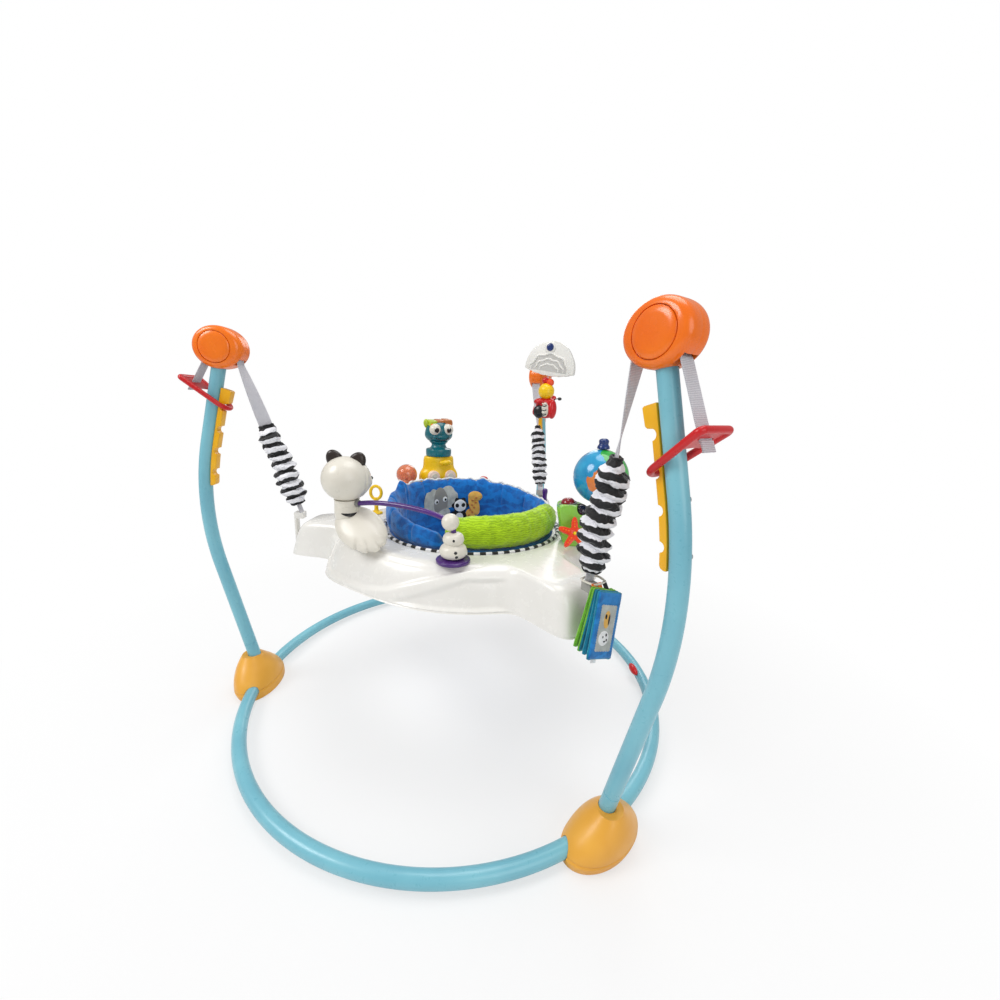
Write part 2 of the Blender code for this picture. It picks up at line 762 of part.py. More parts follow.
def tray_across(side):
    """The direction across a tray arm, square to the strap's fall, in the post's frame."""
    a = radians(TRAY_TURN)
    across = Vector((-sin(a), cos(a), 0))
    top, eye = hang_line(side)
    down = (eye - top).normalized()
    return (across - down * across.dot(down)).normalized()


def in_ring(mesh):
    """Carry a body from the tray's frame to the ring's."""
    return moved(mesh, at=(TRAY_SHIFT, TRAY_SHIFT_BACK, 0), turn=(0, 0, TRAY_TURN))


def lower_strap(side):
    """The short webbing from the spring's lower link into the bracket's eye."""
    top = hang_at(side, LINK_BOTTOM)
    eye = hang_line(side)[1]
    end = eye + (eye - top).normalized() * 0.009
    across = tray_across(side)
    return band([top, (top + end) / 2, end], [across] * 3, BRACKET_WIDTH * 0.94, STRAP_THICKNESS)


# The tray's outline and its section, both worked out round the tray
def arm_offset(bearing):
    """The signed angle from the nearest tray arm, in degrees."""
    return min(((bearing - a + 180) % 360 - 180 for a in POSTS.values()), key=abs)


def tray_edge(bearing):
    """The distance from the tray's middle to its rim."""
    d = radians(arm_offset(bearing))
    arm = 0.0
    if abs(d) < radians(80):
        arm = ((cos(d) / ARM_REACH) ** 6 + (abs(sin(d)) / ARM_HALF_WIDTH) ** 6) ** (-1 / 6)
    return (TRAY_RADIUS ** ARM_SOFTNESS + arm ** ARM_SOFTNESS) ** (1 / ARM_SOFTNESS)


def tray_bearings():
    """Bearings round the tray, closer together at the arms."""
    bearings = []
    for a in sorted(POSTS.values()):
        for k in range(COLUMNS_PER_ARM):
            share = -1 + 2 * (k + 0.5) / COLUMNS_PER_ARM
            sign = 1 if share > 0 else -1
            bearings.append(a + 60 * sign * abs(share) ** 1.5)
    return bearings


def polar_body(section, bearings):
    """A closed body whose section, a loop of (distance, height) points, changes with bearing."""
    columns = []
    for bearing in bearings:
        a = radians(bearing)
        columns.append([Vector((d * cos(a), d * sin(a), z)) for d, z in section(bearing)])
    return skin(columns, loop=True)


def skirt_points(edge, inset):
    """The apron from the deck's edge down to the rim, set in by a wall thickness or none."""
    deck = edge - APRON_WIDTH
    fall = DECK_HEIGHT - RIM_HEIGHT
    return [(deck - inset * 0.3, DECK_HEIGHT - inset),
            (deck + APRON_WIDTH * 0.32 - inset * 0.7, DECK_HEIGHT - fall * 0.09 - inset * 0.9),
            (deck + APRON_WIDTH * 0.62 - inset * 0.95, DECK_HEIGHT - fall * 0.34 - inset * 0.5),
            (deck + APRON_WIDTH * 0.84 - inset, DECK_HEIGHT - fall * 0.70),
            (edge - inset, RIM_HEIGHT)]


def tray_section(bearing):
    edge = tray_edge(bearing)
    lip = DECK_HEIGHT - LIP_DROP
    outer = [(HOLE_RADIUS, lip), (HOLE_RADIUS, DECK_HEIGHT - 0.002), (HOLE_RADIUS + 0.002, DECK_HEIGHT)]
    outer += skirt_points(edge, 0.0)
    under = list(reversed(skirt_points(edge, TRAY_WALL)))
    under += [(HOLE_RADIUS + TRAY_WALL, DECK_HEIGHT - TRAY_WALL), (HOLE_RADIUS + TRAY_WALL, lip)]
    return outer + under


def tray_base_section(bearing):
    edge = tray_edge(bearing)
    inner = HOLE_RADIUS + TRAY_WALL + GAP
    low = RIM_HEIGHT + 0.004
    top = DECK_HEIGHT - TRAY_WALL - GAP
    out = edge - TRAY_WALL - 0.0035
    return [(inner, low), (inner, top), (inner + TRAY_WALL, top), (inner + TRAY_WALL, low + TRAY_WALL),
            (out, low + TRAY_WALL), (out + 0.0012, low)]


def tray_hanger(side):
    """The channel at a tray arm's end, with its foot under the rim and the webbing in its eye."""
    x = tray_edge(POSTS[side]) + GAP
    t = BRACKET_THICKNESS
    foot = RIM_HEIGHT - GAP
    outline = [(x, DECK_HEIGHT + GAP), (x, foot), (x - 0.030, foot), (x - 0.034, foot - t), (x + t, foot - t),
               (x + t, BRACKET_EYE_HEIGHT), (x - 0.016, BRACKET_EYE_HEIGHT), (x - 0.016, DECK_HEIGHT + GAP)]
    bracket = in_ring(moved(slab(outline, BRACKET_WIDTH / 2), turn=(0, 0, POSTS[side])))
    return joined(bracket, moved(lower_strap(side), turn=(0, 0, POSTS[side])))


def seat_ring():
    """The turning ring that rests on the tray's lip and carries the cloth seat."""
    low = DECK_HEIGHT - LIP_DROP - 0.006
    rest = DECK_HEIGHT + GAP
    high = rest + SEAT_FLANGE_THICKNESS
    inner = SEAT_RING_RADIUS - SEAT_RING_WALL
    profile = [(inner, low), (inner, high), (SEAT_FLANGE, high), (SEAT_FLANGE, rest), (SEAT_RING_RADIUS, rest),
               (SEAT_RING_RADIUS, low)]
    return turned(profile, 36, loop=True)


SEAT_FLOOR = DECK_HEIGHT + GAP + SEAT_FLANGE_THICKNESS + GAP


def front_share(bearing):
    """How far round a bearing is into the seat's low front: 1 in its middle, 0 at the back."""
    d = abs((bearing - SEAT_FRONT_ANGLE + 180) % 360 - 180)
    t = min(1.0, max(0.0, (ROLL_HALF_ANGLE + 5 - d) / 8))
    return t * t * (3 - 2 * t)


def pad_section(bearing):
    """The blue collar: a full outer roll at the back, low at the front, and a fall inside."""
    share = front_share(bearing)
    crease = 0.0012 * cos(radians(bearing) * 12) * (1 - share)
    high = PAD_BACK_HEIGHT - PAD_FALL * (0.5 + 0.5 * cos(radians(bearing - SEAT_FRONT_ANGLE)))
    top = high + (PAD_FRONT_HEIGHT - high) * share + crease
    floor = SEAT_FLOOR
    rise = top - floor
    out = PAD_OUTER + crease - 0.008 * share
    inside = SEAT_RING_RADIUS - SEAT_RING_WALL - GAP * 3
    return [(out - 0.010, floor), (out - 0.002, floor + rise * 0.25), (out, floor + rise * 0.60),
            (out - 0.004, top - rise * 0.10), (out - PAD_THICKNESS * 0.42, top),
            (out - PAD_THICKNESS * 0.85, top - rise * 0.12), (out - PAD_THICKNESS * 1.15, floor + rise * 0.45),
            (inside - 0.014, floor - 0.030), (inside - 0.020, PAD_BOTTOM), (inside - 0.014, PAD_BOTTOM),
            (inside - 0.003, floor - 0.030), (inside, floor)]


def seat_roll():
    """The green front bolster: a fat curved roll with rounded ends."""
    middle = PAD_OUTER - ROLL_RADIUS * 0.90
    height = PAD_FRONT_HEIGHT + 0.0005 + ROLL_HALF_HEIGHT * 1.03
    steps = 18
    rings = []
    for k in range(steps + 1):
        t = -1 + 2 * k / steps
        a = radians(SEAT_FRONT_ANGLE + ROLL_HALF_ANGLE * t)
        full = max(0.0, 1 - abs(t) ** 7) ** 0.5
        if full < 0.05:
            rings.append([Vector((middle * cos(a), middle * sin(a), height))])
            continue
        ring = []
        for j in range(10):
            b = 2 * pi * j / 10
            swell = 1 + 0.025 * cos(9 * pi * t + b)
            d = middle + ROLL_RADIUS * full * swell * cos(b)
            ring.append(Vector((d * cos(a), d * sin(a), height + ROLL_HALF_HEIGHT * full * swell * sin(b))))
        rings.append(ring)
    return skin(rings)


def seat_sling():
    """The cloth saddle under the collar, which leaves a leg opening on each side."""
    inside = SEAT_RING_RADIUS - SEAT_RING_WALL - GAP * 3 - 0.021
    steps = 12
    rings = []
    for k in range(steps + 1):
        t = -1 + 2 * k / steps
        reach = (inside - 0.001) * t
        drop = PAD_BOTTOM - 0.004 - (PAD_BOTTOM - 0.004 - SLING_LOW) * sqrt(max(0.0, 1 - t ** 4))
        half = SLING_HALF_WIDTH * (0.72 + 0.55 * t * t)
        ring = []
        for j in range(-2, 3):
            ring.append(Vector((reach, half * j / 2, drop + 0.006 * (j / 2) ** 2)))
        for j in range(2, -3, -1):
            ring.append(Vector((reach, half * j / 2, drop + 0.006 * (j / 2) ** 2 - SLING_THICKNESS)))
        rings.append(ring)
    return moved(skin(rings), turn=(0, 0, SEAT_FRONT_ANGLE))


TOY_FLOOR = DECK_HEIGHT + GAP


def toy_frame(name, tray, spot, turn=None):
    """An empty on the tray's deck, turned outward or to a chosen bearing."""
    distance, bearing = spot
    return empty(name, tray, tray_spot(distance, bearing, TOY_FLOOR), (0, 0, bearing if turn is None else turn))


def panda_points():
    """The neck and the strut's top in the panda's frame."""
    return Vector((-0.010, -0.042, 0.052)), Vector((-0.006, -0.030, 0.050))


def panda_body():
    """The panda's slanting oval body with its neck and pin, on a strut and a round foot."""
    neck, joint = panda_points()
    body = moved(ball(1.0, 14, 7), turn=(0, 42, 0), size=(0.059, 0.017, 0.039))
    body = moved(body, at=(0.031, 0, -0.027))
    body = moved(body, at=neck, turn=(-PANDA_SLOPE, 0, 0))
    collar = moved(turned([(0.018, -0.016), (0.021, -0.008), (0.0225, 0.018)], 12), at=neck)
    pin = moved(turned([(0.008, 0.0), (0.008, 0.030)], 10), at=neck)
    foot_disc = turned([(0.016, 0.0), (0.016, 0.003), (0.012, 0.006), (0.007, 0.0065)], 12)
    strut = rod([(0, 0, 0.004), (-0.001, -0.006, 0.028), joint], 0.006, 8)
    return joined(body, collar, pin, foot_disc, strut)


def panda_head():
    """The panda's round head with its ears, bored for the neck's pin, about the neck's axis."""
    lift = 0.018 + RUNNING_GAP
    centre = lift + 0.037
    head = moved(ball(1.0, 16, 8), at=(0, 0, centre), size=(0.047, 0.043, 0.042))
    snout = moved(ball(1.0, 10, 5), at=(0.022, 0.028, centre - 0.010), size=(0.022, 0.020, 0.018))
    ears = []
    for x, z in ((-0.027, 0.035), (0.019, 0.037)):
        ears.append(moved(ball(1.0, 10, 5), at=(x, 0.004, centre + z), turn=(0, degrees(atan2(x, z)), 0),
                          size=(0.017, 0.010, 0.017)))
    flat = block((-0.1, -0.1, -0.1), (0.1, 0.1, lift))
    bore = turned([(0.0088, -0.1), (0.0088, 0.031)], 12)
    return cut(joined(head, snout, *ears), flat, bore)


def bead_rod():
    """The base disc, the bent rod over to the panda, and the fixed top ball at its bend."""
    disc = turned([(0.026, 0.0), (0.029, 0.002), (0.028, 0.006), (0.012, 0.008)], 16)
    turn = Matrix.Rotation(-radians(BEAD_SPOT[1]), 4, "Z")
    base = tray_spot(*BEAD_SPOT)
    there = Matrix.Rotation(radians(TOY_TURN), 4, "Z") @ panda_points()[0] + tray_spot(*PANDA_SPOT)
    along = turn @ (there - base)
    along.z = 0
    reach = along.length - 0.0245
    way = along.normalized()
    points = [Vector((0, 0, 0.004)), Vector((0, 0, 0.058)), Vector((0, 0, 0.070)) + way * 0.002]
    for share, height in ((0.06, 0.079), (0.14, 0.084), (0.30, 0.088), (0.55, 0.087), (0.80, 0.079), (1.0, 0.068)):
        points.append(way * (reach * share) + Vector((0, 0, height)))
    bar = rod(points, BAR_RADIUS, 7)
    knob = moved(ball(0.0158, 12, 7), at=Vector((0, 0, 0.0775)) + way * 0.002)
    return joined(disc, bar, knob)


def bead_figure():
    """The two-lobed bead that turns on the rod's upright."""
    bore = BAR_RADIUS + RUNNING_GAP
    low = 0.008 + RUNNING_GAP
    profile = [(bore, low), (0.017, low), (0.0235, low + 0.008), (0.0235, low + 0.016), (0.0175, low + 0.0245),
               (0.0155, low + 0.0265), (0.0180, low + 0.033), (0.0180, low + 0.040), (0.0145, low + 0.048),
               (bore, low + 0.0515)]
    return turned(profile, 14, loop=True)


def loop_knob():
    """An upright loop on a round foot, which turns on the tray."""
    foot_disc = turned([(0.013, 0.0), (0.013, 0.004), (0.006, 0.008)], 14)
    stem = turned([(0.0045, 0.004), (0.0045, 0.026)], 8)
    ring = rod([(0.0125 * cos(radians(a)), 0, 0.042 + 0.0175 * sin(radians(a))) for a in range(0, 360, 30)],
               0.0036, 7, loop=True)
    return joined(foot_disc, stem, ring)


def rattle():
    """A rattle ball on its stem and round foot."""
    foot_disc = turned([(0.016, 0.0), (0.016, 0.004), (0.008, 0.008)], 14)
    stem = turned([(0.006, 0.004), (0.006, 0.06)], 7)
    return joined(foot_disc, stem, moved(ball(0.026, 14, 8), at=(0, 0, 0.078)))


BOBBLE_TOP = 0.116


def bobble_base():
    """The yellow body under the nodding figure, with its side knob, wheels and pivot."""
    shares = ((0.0, 0.040, 0.026), (0.012, 0.048, 0.030), (0.060, 0.053, 0.032), (0.080, 0.050, 0.031),
              (0.095, 0.037, 0.028), (0.111, 0.033, 0.026), (BOBBLE_TOP, 0.029, 0.023))
    rings = []
    for z, wide, deep in shares:
        rings.append([Vector((deep * cos(2 * pi * k / 16), wide * sin(2 * pi * k / 16), z)) for k in range(16)])
    body = skin(rings)
    wheels = []
    for y in (-0.020, 0.020):
        disc = turned([(0.012, -0.020), (0.012, 0.034), (0.009, 0.0355)], 12)
        wheels.append(moved(disc, at=(0, y, 0.074), turn=(0, -90, 0)))
    knob = moved(ball(0.011, 8, 5), at=(-0.026, -0.010, 0.103), size=(0.8, 1.3, 0.7))
    pivot = moved(turned([(0.006, 0.0), (0.006, 0.010)], 10), at=(0, 0, BOBBLE_TOP - 0.002))
    return joined(body, *wheels, knob, pivot)


def bobble_figure():
    """The nodding figure about its pivot: collar, neck, wide head with round eyes, and cap."""
    lift = RUNNING_GAP
    profile = [(0.030, lift), (0.033, lift + 0.004), (0.033, lift + 0.022), (0.022, lift + 0.026),
               (0.018, lift + 0.036), (0.024, lift + 0.044)]
    body = turned(profile, 12)
    head = moved(ball(1.0, 14, 8), at=(0, 0, lift + 0.072), size=(0.034, 0.041, 0.034))
    eyes = [moved(ball(0.016, 10, 6), at=(-0.024, y, lift + 0.080)) for y in (-0.018, 0.018)]
    tuft = moved(ball(1.0, 10, 5), at=(0, 0, lift + 0.104), size=(0.018, 0.026, 0.012))
    bore = turned([(0.0072, -0.1), (0.0072, 0.0105)], 12)
    return cut(joined(body, head, *eyes, tuft), bore)


def peg():
    """A smooth upright peg on a round foot, which turns on the tray."""
    return turned([(0.017, 0.0), (0.017, 0.003), (0.009, 0.008), (0.0065, 0.016), (0.0060, 0.036), (0.0072, 0.046),
                   (0.0055, 0.052), (0.0, 0.054)], 12)


STATION_BUTTONS = {"red_button": ((-0.012, 0.002, 0.0705), (0, -8, 0), 0.0135),
                   "purple_button": ((0.012, -0.013, 0.0600), (50, 8, 0), 0.0110)}
STAR_TILT = 60.0
STAR_BOSS = Vector((-0.004, -0.0225, 0.0185))
STAR_WAY = Vector((0, -sin(radians(STAR_TILT)), cos(radians(STAR_TILT))))
STAR_STANDOFF = 0.024
STAR_THICKNESS = 0.0084


def station():
    """The green toy station: leaning body, button wells, the star's pin, the flower and the arm."""
    outline = [(-0.016, 0.0), (0.034, 0.0), (0.037, 0.026), (0.030, 0.054), (0.020, 0.066), (-0.002, 0.0715),
               (-0.026, 0.0705), (-0.031, 0.060), (-0.025, 0.034)]
    middle = slab(outline, 0.024)
    wells = []
    for at, turn, radius in STATION_BUTTONS.values():
        well = turned([(radius + RUNNING_GAP, -0.010), (radius + RUNNING_GAP, 0.03)], 14)
        wells.append(moved(well, at=at, turn=turn))
    boss = [(0.0085, -0.006), (0.0085, STAR_STANDOFF), (PIN_RADIUS, STAR_STANDOFF),
            (PIN_RADIUS, STAR_STANDOFF + STAR_THICKNESS + 0.002)]
    pin = moved(turned(boss, 10), at=STAR_BOSS, turn=(STAR_TILT, 0, 0))
    petals = [moved(ball(1.0, 8, 4), at=(0.027 + 0.009 * cos(radians(a)), -0.026, 0.047 + 0.009 * sin(radians(a))),
                    size=(0.0065, 0.005, 0.0065)) for a in range(0, 360, 72)]
    gx, gy, gz = GLOBE_OFFSET
    top = gz - GLOBE_RADIUS - RUNNING_GAP
    arm = rod([(0.020, 0.004, 0.040), (0.030, 0.002, 0.058), (gx, gy, top - 0.016), (gx, gy, top)],
              [0.009, 0.008, 0.0075, 0.0075], 10)
    socket = moved(turned([(PIN_RADIUS + GAP, -0.016), (PIN_RADIUS + GAP, 0.03)], 10), at=(gx, gy, top))
    return cut(joined(middle, pin, *petals, arm), socket, *wells)


def dome_button(radius):
    """A round push button whose dome stands clear of its well by its travel."""
    low = -0.010 + GAP + BUTTON_TRAVEL
    return turned([(radius, low), (radius, 0.002), (radius * 0.93, 0.005), (radius * 0.7, 0.0085),
                   (radius * 0.35, 0.0105), (0, 0.011)], 14)


def star():
    """A five-armed starfish that turns on the station's pin, about its own hub."""
    outline = []
    for k in range(20):
        a = radians(90 + 18 * k)
        share = 0.5 + 0.5 * cos(5 * (a - pi / 2))
        r = 0.0125 + 0.0195 * share ** 1.6
        outline.append((r * cos(a), r * sin(a)))
    bore = moved(turned([(PIN_RADIUS + RUNNING_GAP, -0.02), (PIN_RADIUS + RUNNING_GAP, 0.02)], 10), turn=(90, 0, 0))
    return cut(slab(outline, STAR_THICKNESS / 2), bore)


def globe():
    """The globe, bored through for its pin."""
    bore = turned([(PIN_RADIUS + RUNNING_GAP, -0.1), (PIN_RADIUS + RUNNING_GAP, 0.1)], 10)
    return cut(ball(GLOBE_RADIUS, 18, 11), bore)


def globe_pin():
    """The pin through the globe, with its knob on top."""
    top = GLOBE_RADIUS + RUNNING_GAP
    return turned([(PIN_RADIUS, -top - RUNNING_GAP - 0.0145), (PIN_RADIUS, top), (0.011, top), (0.011, top + 0.005),
                   (0.0085, top + 0.009), (0.0095, top + 0.014), (0.006, top + 0.019), (0, top + 0.020)], 12)


BOOK_WIRE = 0.0017
BOOK_HANG = Vector((tray_edge(POSTS["right"]) + 0.0125, 0, BRACKET_EYE_HEIGHT + 0.0055))
BOOK_REACH = BOOK_HANG.x - ARM_REACH + 0.004 + STRAP_THICKNESS / 2 + BOOK_WIRE + 0.0001


def soft_book():
    """The hanging cloth book: a link round the hanger's webbing, two loops and four leaves."""
    inner = -BOOK_REACH
    corners = [(inner, -0.0135, 0), (inner, 0.0135, 0), (-0.004, 0.0135, 0), (0, 0.008, -0.001),
               (0, -0.008, -0.001), (-0.004, -0.0135, 0)]
    link = rod(corners, BOOK_WIRE, 6, loop=True)
    loops = []
    for y in (-0.007, 0.006):
        loops.append(rod([(-0.001, y, 0.001), (0.004, y * 1.3, -0.009), (0.010, y * 1.8, -0.026)], 0.0035, 6))
    leaves = []
    for k, (lean, size) in enumerate(((-1, 1.0), (3, 0.96), (7, 0.97), (12, 1.0))):
        half = 0.029 * size
        sheet = plate([(-0.0032, -half), (0.0032, -half), (0.0032, half), (-0.0032, half)], -0.094 * size, 0.004)
        leaves.append(moved(sheet, at=(0.0035 + 0.0052 * k, 0, -0.018), turn=(0, -lean, 0)))
    return joined(leaves[0], *leaves[1:], *loops, link)


CLOUD_AT = Vector((HOUSING_RADIUS - 0.1045, -0.068, HOUSING_HEIGHT + 0.044))


def cloud_toy():
    """The scalloped cloud on its clip, which saddles the rear housing, in the rear post's frame."""
    outline = []
    for k in range(36):
        a = 2 * pi * k / 36
        bump = abs(cos(4.5 * a))
        r = 0.056 + 0.011 * bump
        outline.append((r * cos(a) * 1.06, r * sin(a) * 0.70))
    front = moved(slab(outline, 0.009), turn=(0, 0, 90))
    button = moved(turned([(0.016, -0.004), (0.016, 0.012), (0.012, 0.014)], 12), at=(0, 0, 0.006), turn=(0, -90, 0))
    cloud = moved(joined(front, button), at=CLOUD_AT)
    centre = Vector((HOUSING_RADIUS, 0, HOUSING_HEIGHT))
    inner = []
    outer = []
    for k in range(9):
        a = radians(25 + 130 * k / 8)
        x = cos(a) * (HOUSING_OUTER if cos(a) > 0 else HOUSING_INNER)
        z = sin(a) * HOUSING_UP
        way = Vector((x, z)).normalized()
        inner.append((x + way.x * 0.0006, z + way.y * 0.0006))
        outer.append((x + way.x * 0.0040, z + way.y * 0.0040))
    saddle = moved(slab(inner + outer[::-1], 0.007), at=centre + Vector((0, -0.014, 0)))
    x, z = outer[-1]
    start = centre + Vector((x + 0.002, -0.014, z))
    arm = rod([start, start + Vector((-0.012, -0.010, 0.004)), CLOUD_AT + Vector((0.005, 0.020, -0.006))],
              0.0045, 8)
    return joined(cloud, saddle, arm)


def toy_string():
    """The cord under the cloud with a ball, a beetle and a small bead, about its top."""
    cord = rod([(0, 0, 0), (0, 0, -0.130)], 0.0016, 6)
    first = moved(ball(0.0125, 9, 6), at=(0, 0.004, -0.020))
    second = moved(ball(0.0135, 9, 6), at=(0, -0.010, -0.040))
    body = moved(ball(1.0, 12, 7), at=(0, -0.002, -0.085), size=(0.020, 0.031, 0.027))
    bead = moved(ball(0.011, 8, 5), at=(0, 0.012, -0.118))
    return joined(cord, first, second, body, bead)


def build_frame(root, paint, shell, orange, yellow, red, grey):
    """The base ring, feet, posts, housings, racks and hoops."""
    for side, name in (("left", "front"), ("right", "right"), ("rear", "left")):
        piece("ring_tube_" + name, ring_tube(side), paint, root)
    frames = {side: empty("post_frame_" + side, root, turn=(0, 0, POSTS[side])) for side in SIDES}
    at = (HOUSING_RADIUS, 0, HOUSING_HEIGHT)
    for side in SIDES:
        frame = frames[side]
        piece("foot_" + side, foot(), shell, frame)
        piece("post_" + side, post_tube(), paint, frame)
        piece("housing_" + side, housing_shell(), orange, frame, at)
        piece("axle_cap_" + side, axle_cap(), orange, frame, at)
        piece("strap_roller_" + side, roller(), grey, frame, ROLLER_AT)
        piece("height_rack_" + side, height_rack(), yellow, frame)
        hub = empty("hoop_axis_" + side, frame, beside_post(hoop_distance(side), 0.0))
        piece("height_hoop_" + side, hoop(), red, hub, turn=(0, -HOOP_TILT, 0))
    return frames


def build_suspension(root, frames, web, cloth, steel, grey):
    """Straps, springs, their covers and the tray's hangers."""
    for side in SIDES:
        piece("strap_" + side, strap(side), web, frames[side])
        piece("spring_" + side, spring(side), steel, frames[side])
        piece("spring_cover_" + side, cover_sleeve(side), cloth, frames[side])
        piece("tray_hanger_" + side, tray_hanger(side), grey, root)


def build_tray(tray, white):
    bearings = tray_bearings()
    piece("tray_top", polar_body(tray_section, bearings), white, tray)
    piece("tray_base", polar_body(tray_base_section, bearings), white, tray)


def build_seat(tray, white, blue, green):
    seat = empty("seat_axis", tray)
    piece("seat_ring", seat_ring(), white, seat)
    bearings = [10.0 * k for k in range(36)]
    piece("seat_pad", polar_body(pad_section, bearings), blue, seat)
    piece("seat_roll", seat_roll(), green, seat)
    piece("seat_sling", seat_sling(), blue, seat)


def build_toys(tray, rear, paints):
    """The toys on the tray, the book at its right arm, and the toys on the rear post."""
    panda = toy_frame("panda_foot", tray, PANDA_SPOT, TOY_TURN)
    piece("panda_body", panda_body(), paints["white"], panda)
    neck = empty("panda_neck", panda, panda_points()[0])
    piece("panda_head", panda_head(), paints["white"], neck)
    beads = toy_frame("bead_axis", tray, BEAD_SPOT)
    piece("bead_rod", bead_rod(), paints["purple"], beads)
    piece("bead_figure", bead_figure(), paints["white"], beads)
    piece("loop_knob", loop_knob(), paints["yellow"], toy_frame("loop_axis", tray, LOOP_SPOT, TOY_TURN))
    piece("rattle_ball", rattle(), paints["orange"], toy_frame("rattle_axis", tray, RATTLE_SPOT))
    base = toy_frame("bobble_foot", tray, BOBBLE_SPOT)
    piece("bobble_base", bobble_base(), paints["yellow"], base)
    piece("bobble_figure", bobble_figure(), paints["teal"], empty("bobble_pivot", base, (0, 0, BOBBLE_TOP)))
    piece("peg", peg(), paints["purple"], toy_frame("peg_axis", tray, PEG_SPOT))
    desk = toy_frame("station_foot", tray, STATION_SPOT, TOY_TURN)
    piece("station", station(), paints["green"], desk)
    for name, (at, turn, radius) in STATION_BUTTONS.items():
        piece(name, dome_button(radius), paints[name.split("_")[0]], empty(name + "_axis", desk, at, turn))
    at = STAR_BOSS + STAR_WAY * (STAR_STANDOFF + RUNNING_GAP + STAR_THICKNESS / 2)
    piece("star", star(), paints["orange"], empty("star_axis", desk, at, (STAR_TILT - 90, 0, 0)))
    middle = empty("globe_axis", desk, GLOBE_OFFSET)
    piece("globe", globe(), paints["blue"], middle)
    piece("globe_pin", globe_pin(), paints["navy"], middle)
    arm = empty("right_arm", tray, turn=(0, 0, POSTS["right"]))
    hinge = empty("book_hinge", arm, BOOK_HANG - Vector((BOOK_REACH, 0, 0)))
    piece("soft_book", soft_book(), paints["blue"], hinge, (BOOK_REACH, 0, 0))
    piece("cloud_toy", cloud_toy(), paints["white"], rear)
    hang = CLOUD_AT + Vector((0, 0.008, -0.0465))
    piece("toy_string", toy_string(), paints["red"], empty("string_top", rear, hang))


def settle(root):
    """Shift everything so that the middle of its footprint is the origin."""
    bpy.context.view_layer.update()
    points = []
    for obj in bpy.data.objects:
        if obj.type == "MESH":
            points += [obj.matrix_world @ v.co for v in obj.data.vertices]
    low = [min(p[i] for p in points) for i in range(3)]
    high = [max(p[i] for p in points) for i in range(3)]
    root.location = (-(low[0] + high[0]) / 2, -(low[1] + high[1]) / 2, -low[2])


def main():
    for obj in list(bpy.data.objects):
        bpy.data.objects.remove(obj)
    root = empty("middle_of_footprint")
    paint = finish("powder_coat_blue", (0.20, 0.50, 0.58), 0.35)
    shell = finish("moulded_amber", (0.82, 0.45, 0.09), 0.40)
    steel = finish("plated_steel", (0.60, 0.60, 0.62), 0.30, 1.0)
    grey = finish("moulded_grey", (0.42, 0.42, 0.41), 0.45)
    web = finish("white_webbing", (0.70, 0.70, 0.72), 0.80)
    stripe = finish("striped_cloth", (0.35, 0.35, 0.35), 0.90)
    cloth_blue = finish("blue_cloth", (0.02, 0.12, 0.50), 0.90)
    cloth_green = finish("green_cloth", (0.30, 0.60, 0.02), 0.90)
    paints = {"white": finish("moulded_white", (0.80, 0.79, 0.77), 0.30),
              "orange": finish("moulded_orange", (0.90, 0.16, 0.01), 0.30),
              "yellow": finish("moulded_yellow", (0.87, 0.55, 0.01), 0.40),
              "red": finish("moulded_red", (0.70, 0.01, 0.01), 0.30),
              "purple": finish("moulded_purple", (0.10, 0.02, 0.22), 0.35),
              "teal": finish("moulded_teal", (0.00, 0.14, 0.18), 0.35),
              "green": finish("moulded_green", (0.25, 0.60, 0.20), 0.35),
              "blue": finish("moulded_blue", (0.02, 0.33, 0.62), 0.30),
              "navy": finish("moulded_navy", (0.01, 0.03, 0.20), 0.35)}
    frames = build_frame(root, paint, shell, paints["orange"], paints["yellow"], paints["red"], grey)
    build_suspension(root, frames, web, stripe, steel, grey)
    tray = empty("tray_frame", root, (TRAY_SHIFT, TRAY_SHIFT_BACK, 0), (0, 0, TRAY_TURN))
    build_tray(tray, paints["white"])
    build_seat(tray, paints["white"], cloth_blue, cloth_green)
    build_toys(tray, frames["rear"], paints)
    settle(root)


main()
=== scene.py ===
"""The look of a baby jumper: painted tube ring and posts, moulded housings and feet, white
webbing, striped spring covers, a glossy play tray, a quilted cloth seat and the toys on it."""

import bpy
import bmesh
from math import acos, atan, atan2, cos, degrees, exp, hypot, pi, radians, sin, sqrt
from mathutils import Matrix, Vector, noise


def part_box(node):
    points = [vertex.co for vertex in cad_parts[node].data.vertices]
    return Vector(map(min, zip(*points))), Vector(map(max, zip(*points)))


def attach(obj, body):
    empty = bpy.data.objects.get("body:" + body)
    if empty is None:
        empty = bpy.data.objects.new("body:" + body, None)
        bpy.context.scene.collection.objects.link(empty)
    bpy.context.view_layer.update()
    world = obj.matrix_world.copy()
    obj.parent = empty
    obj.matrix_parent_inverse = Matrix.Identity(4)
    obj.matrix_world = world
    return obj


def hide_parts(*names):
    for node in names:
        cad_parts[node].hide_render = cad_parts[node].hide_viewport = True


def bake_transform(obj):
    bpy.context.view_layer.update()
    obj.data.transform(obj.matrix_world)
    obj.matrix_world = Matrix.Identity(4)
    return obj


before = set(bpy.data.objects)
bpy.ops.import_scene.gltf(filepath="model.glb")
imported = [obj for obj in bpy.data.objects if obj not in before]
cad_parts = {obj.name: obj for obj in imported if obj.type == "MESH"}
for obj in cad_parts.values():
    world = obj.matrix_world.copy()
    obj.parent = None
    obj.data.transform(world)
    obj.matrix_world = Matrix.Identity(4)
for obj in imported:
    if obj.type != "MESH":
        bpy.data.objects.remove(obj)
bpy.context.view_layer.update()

# Sizes of the frame that the dressed pieces follow, in metres
RING_RADIUS = 0.46
TUBE_RADIUS = 0.0127
RING_HEIGHT = 0.02
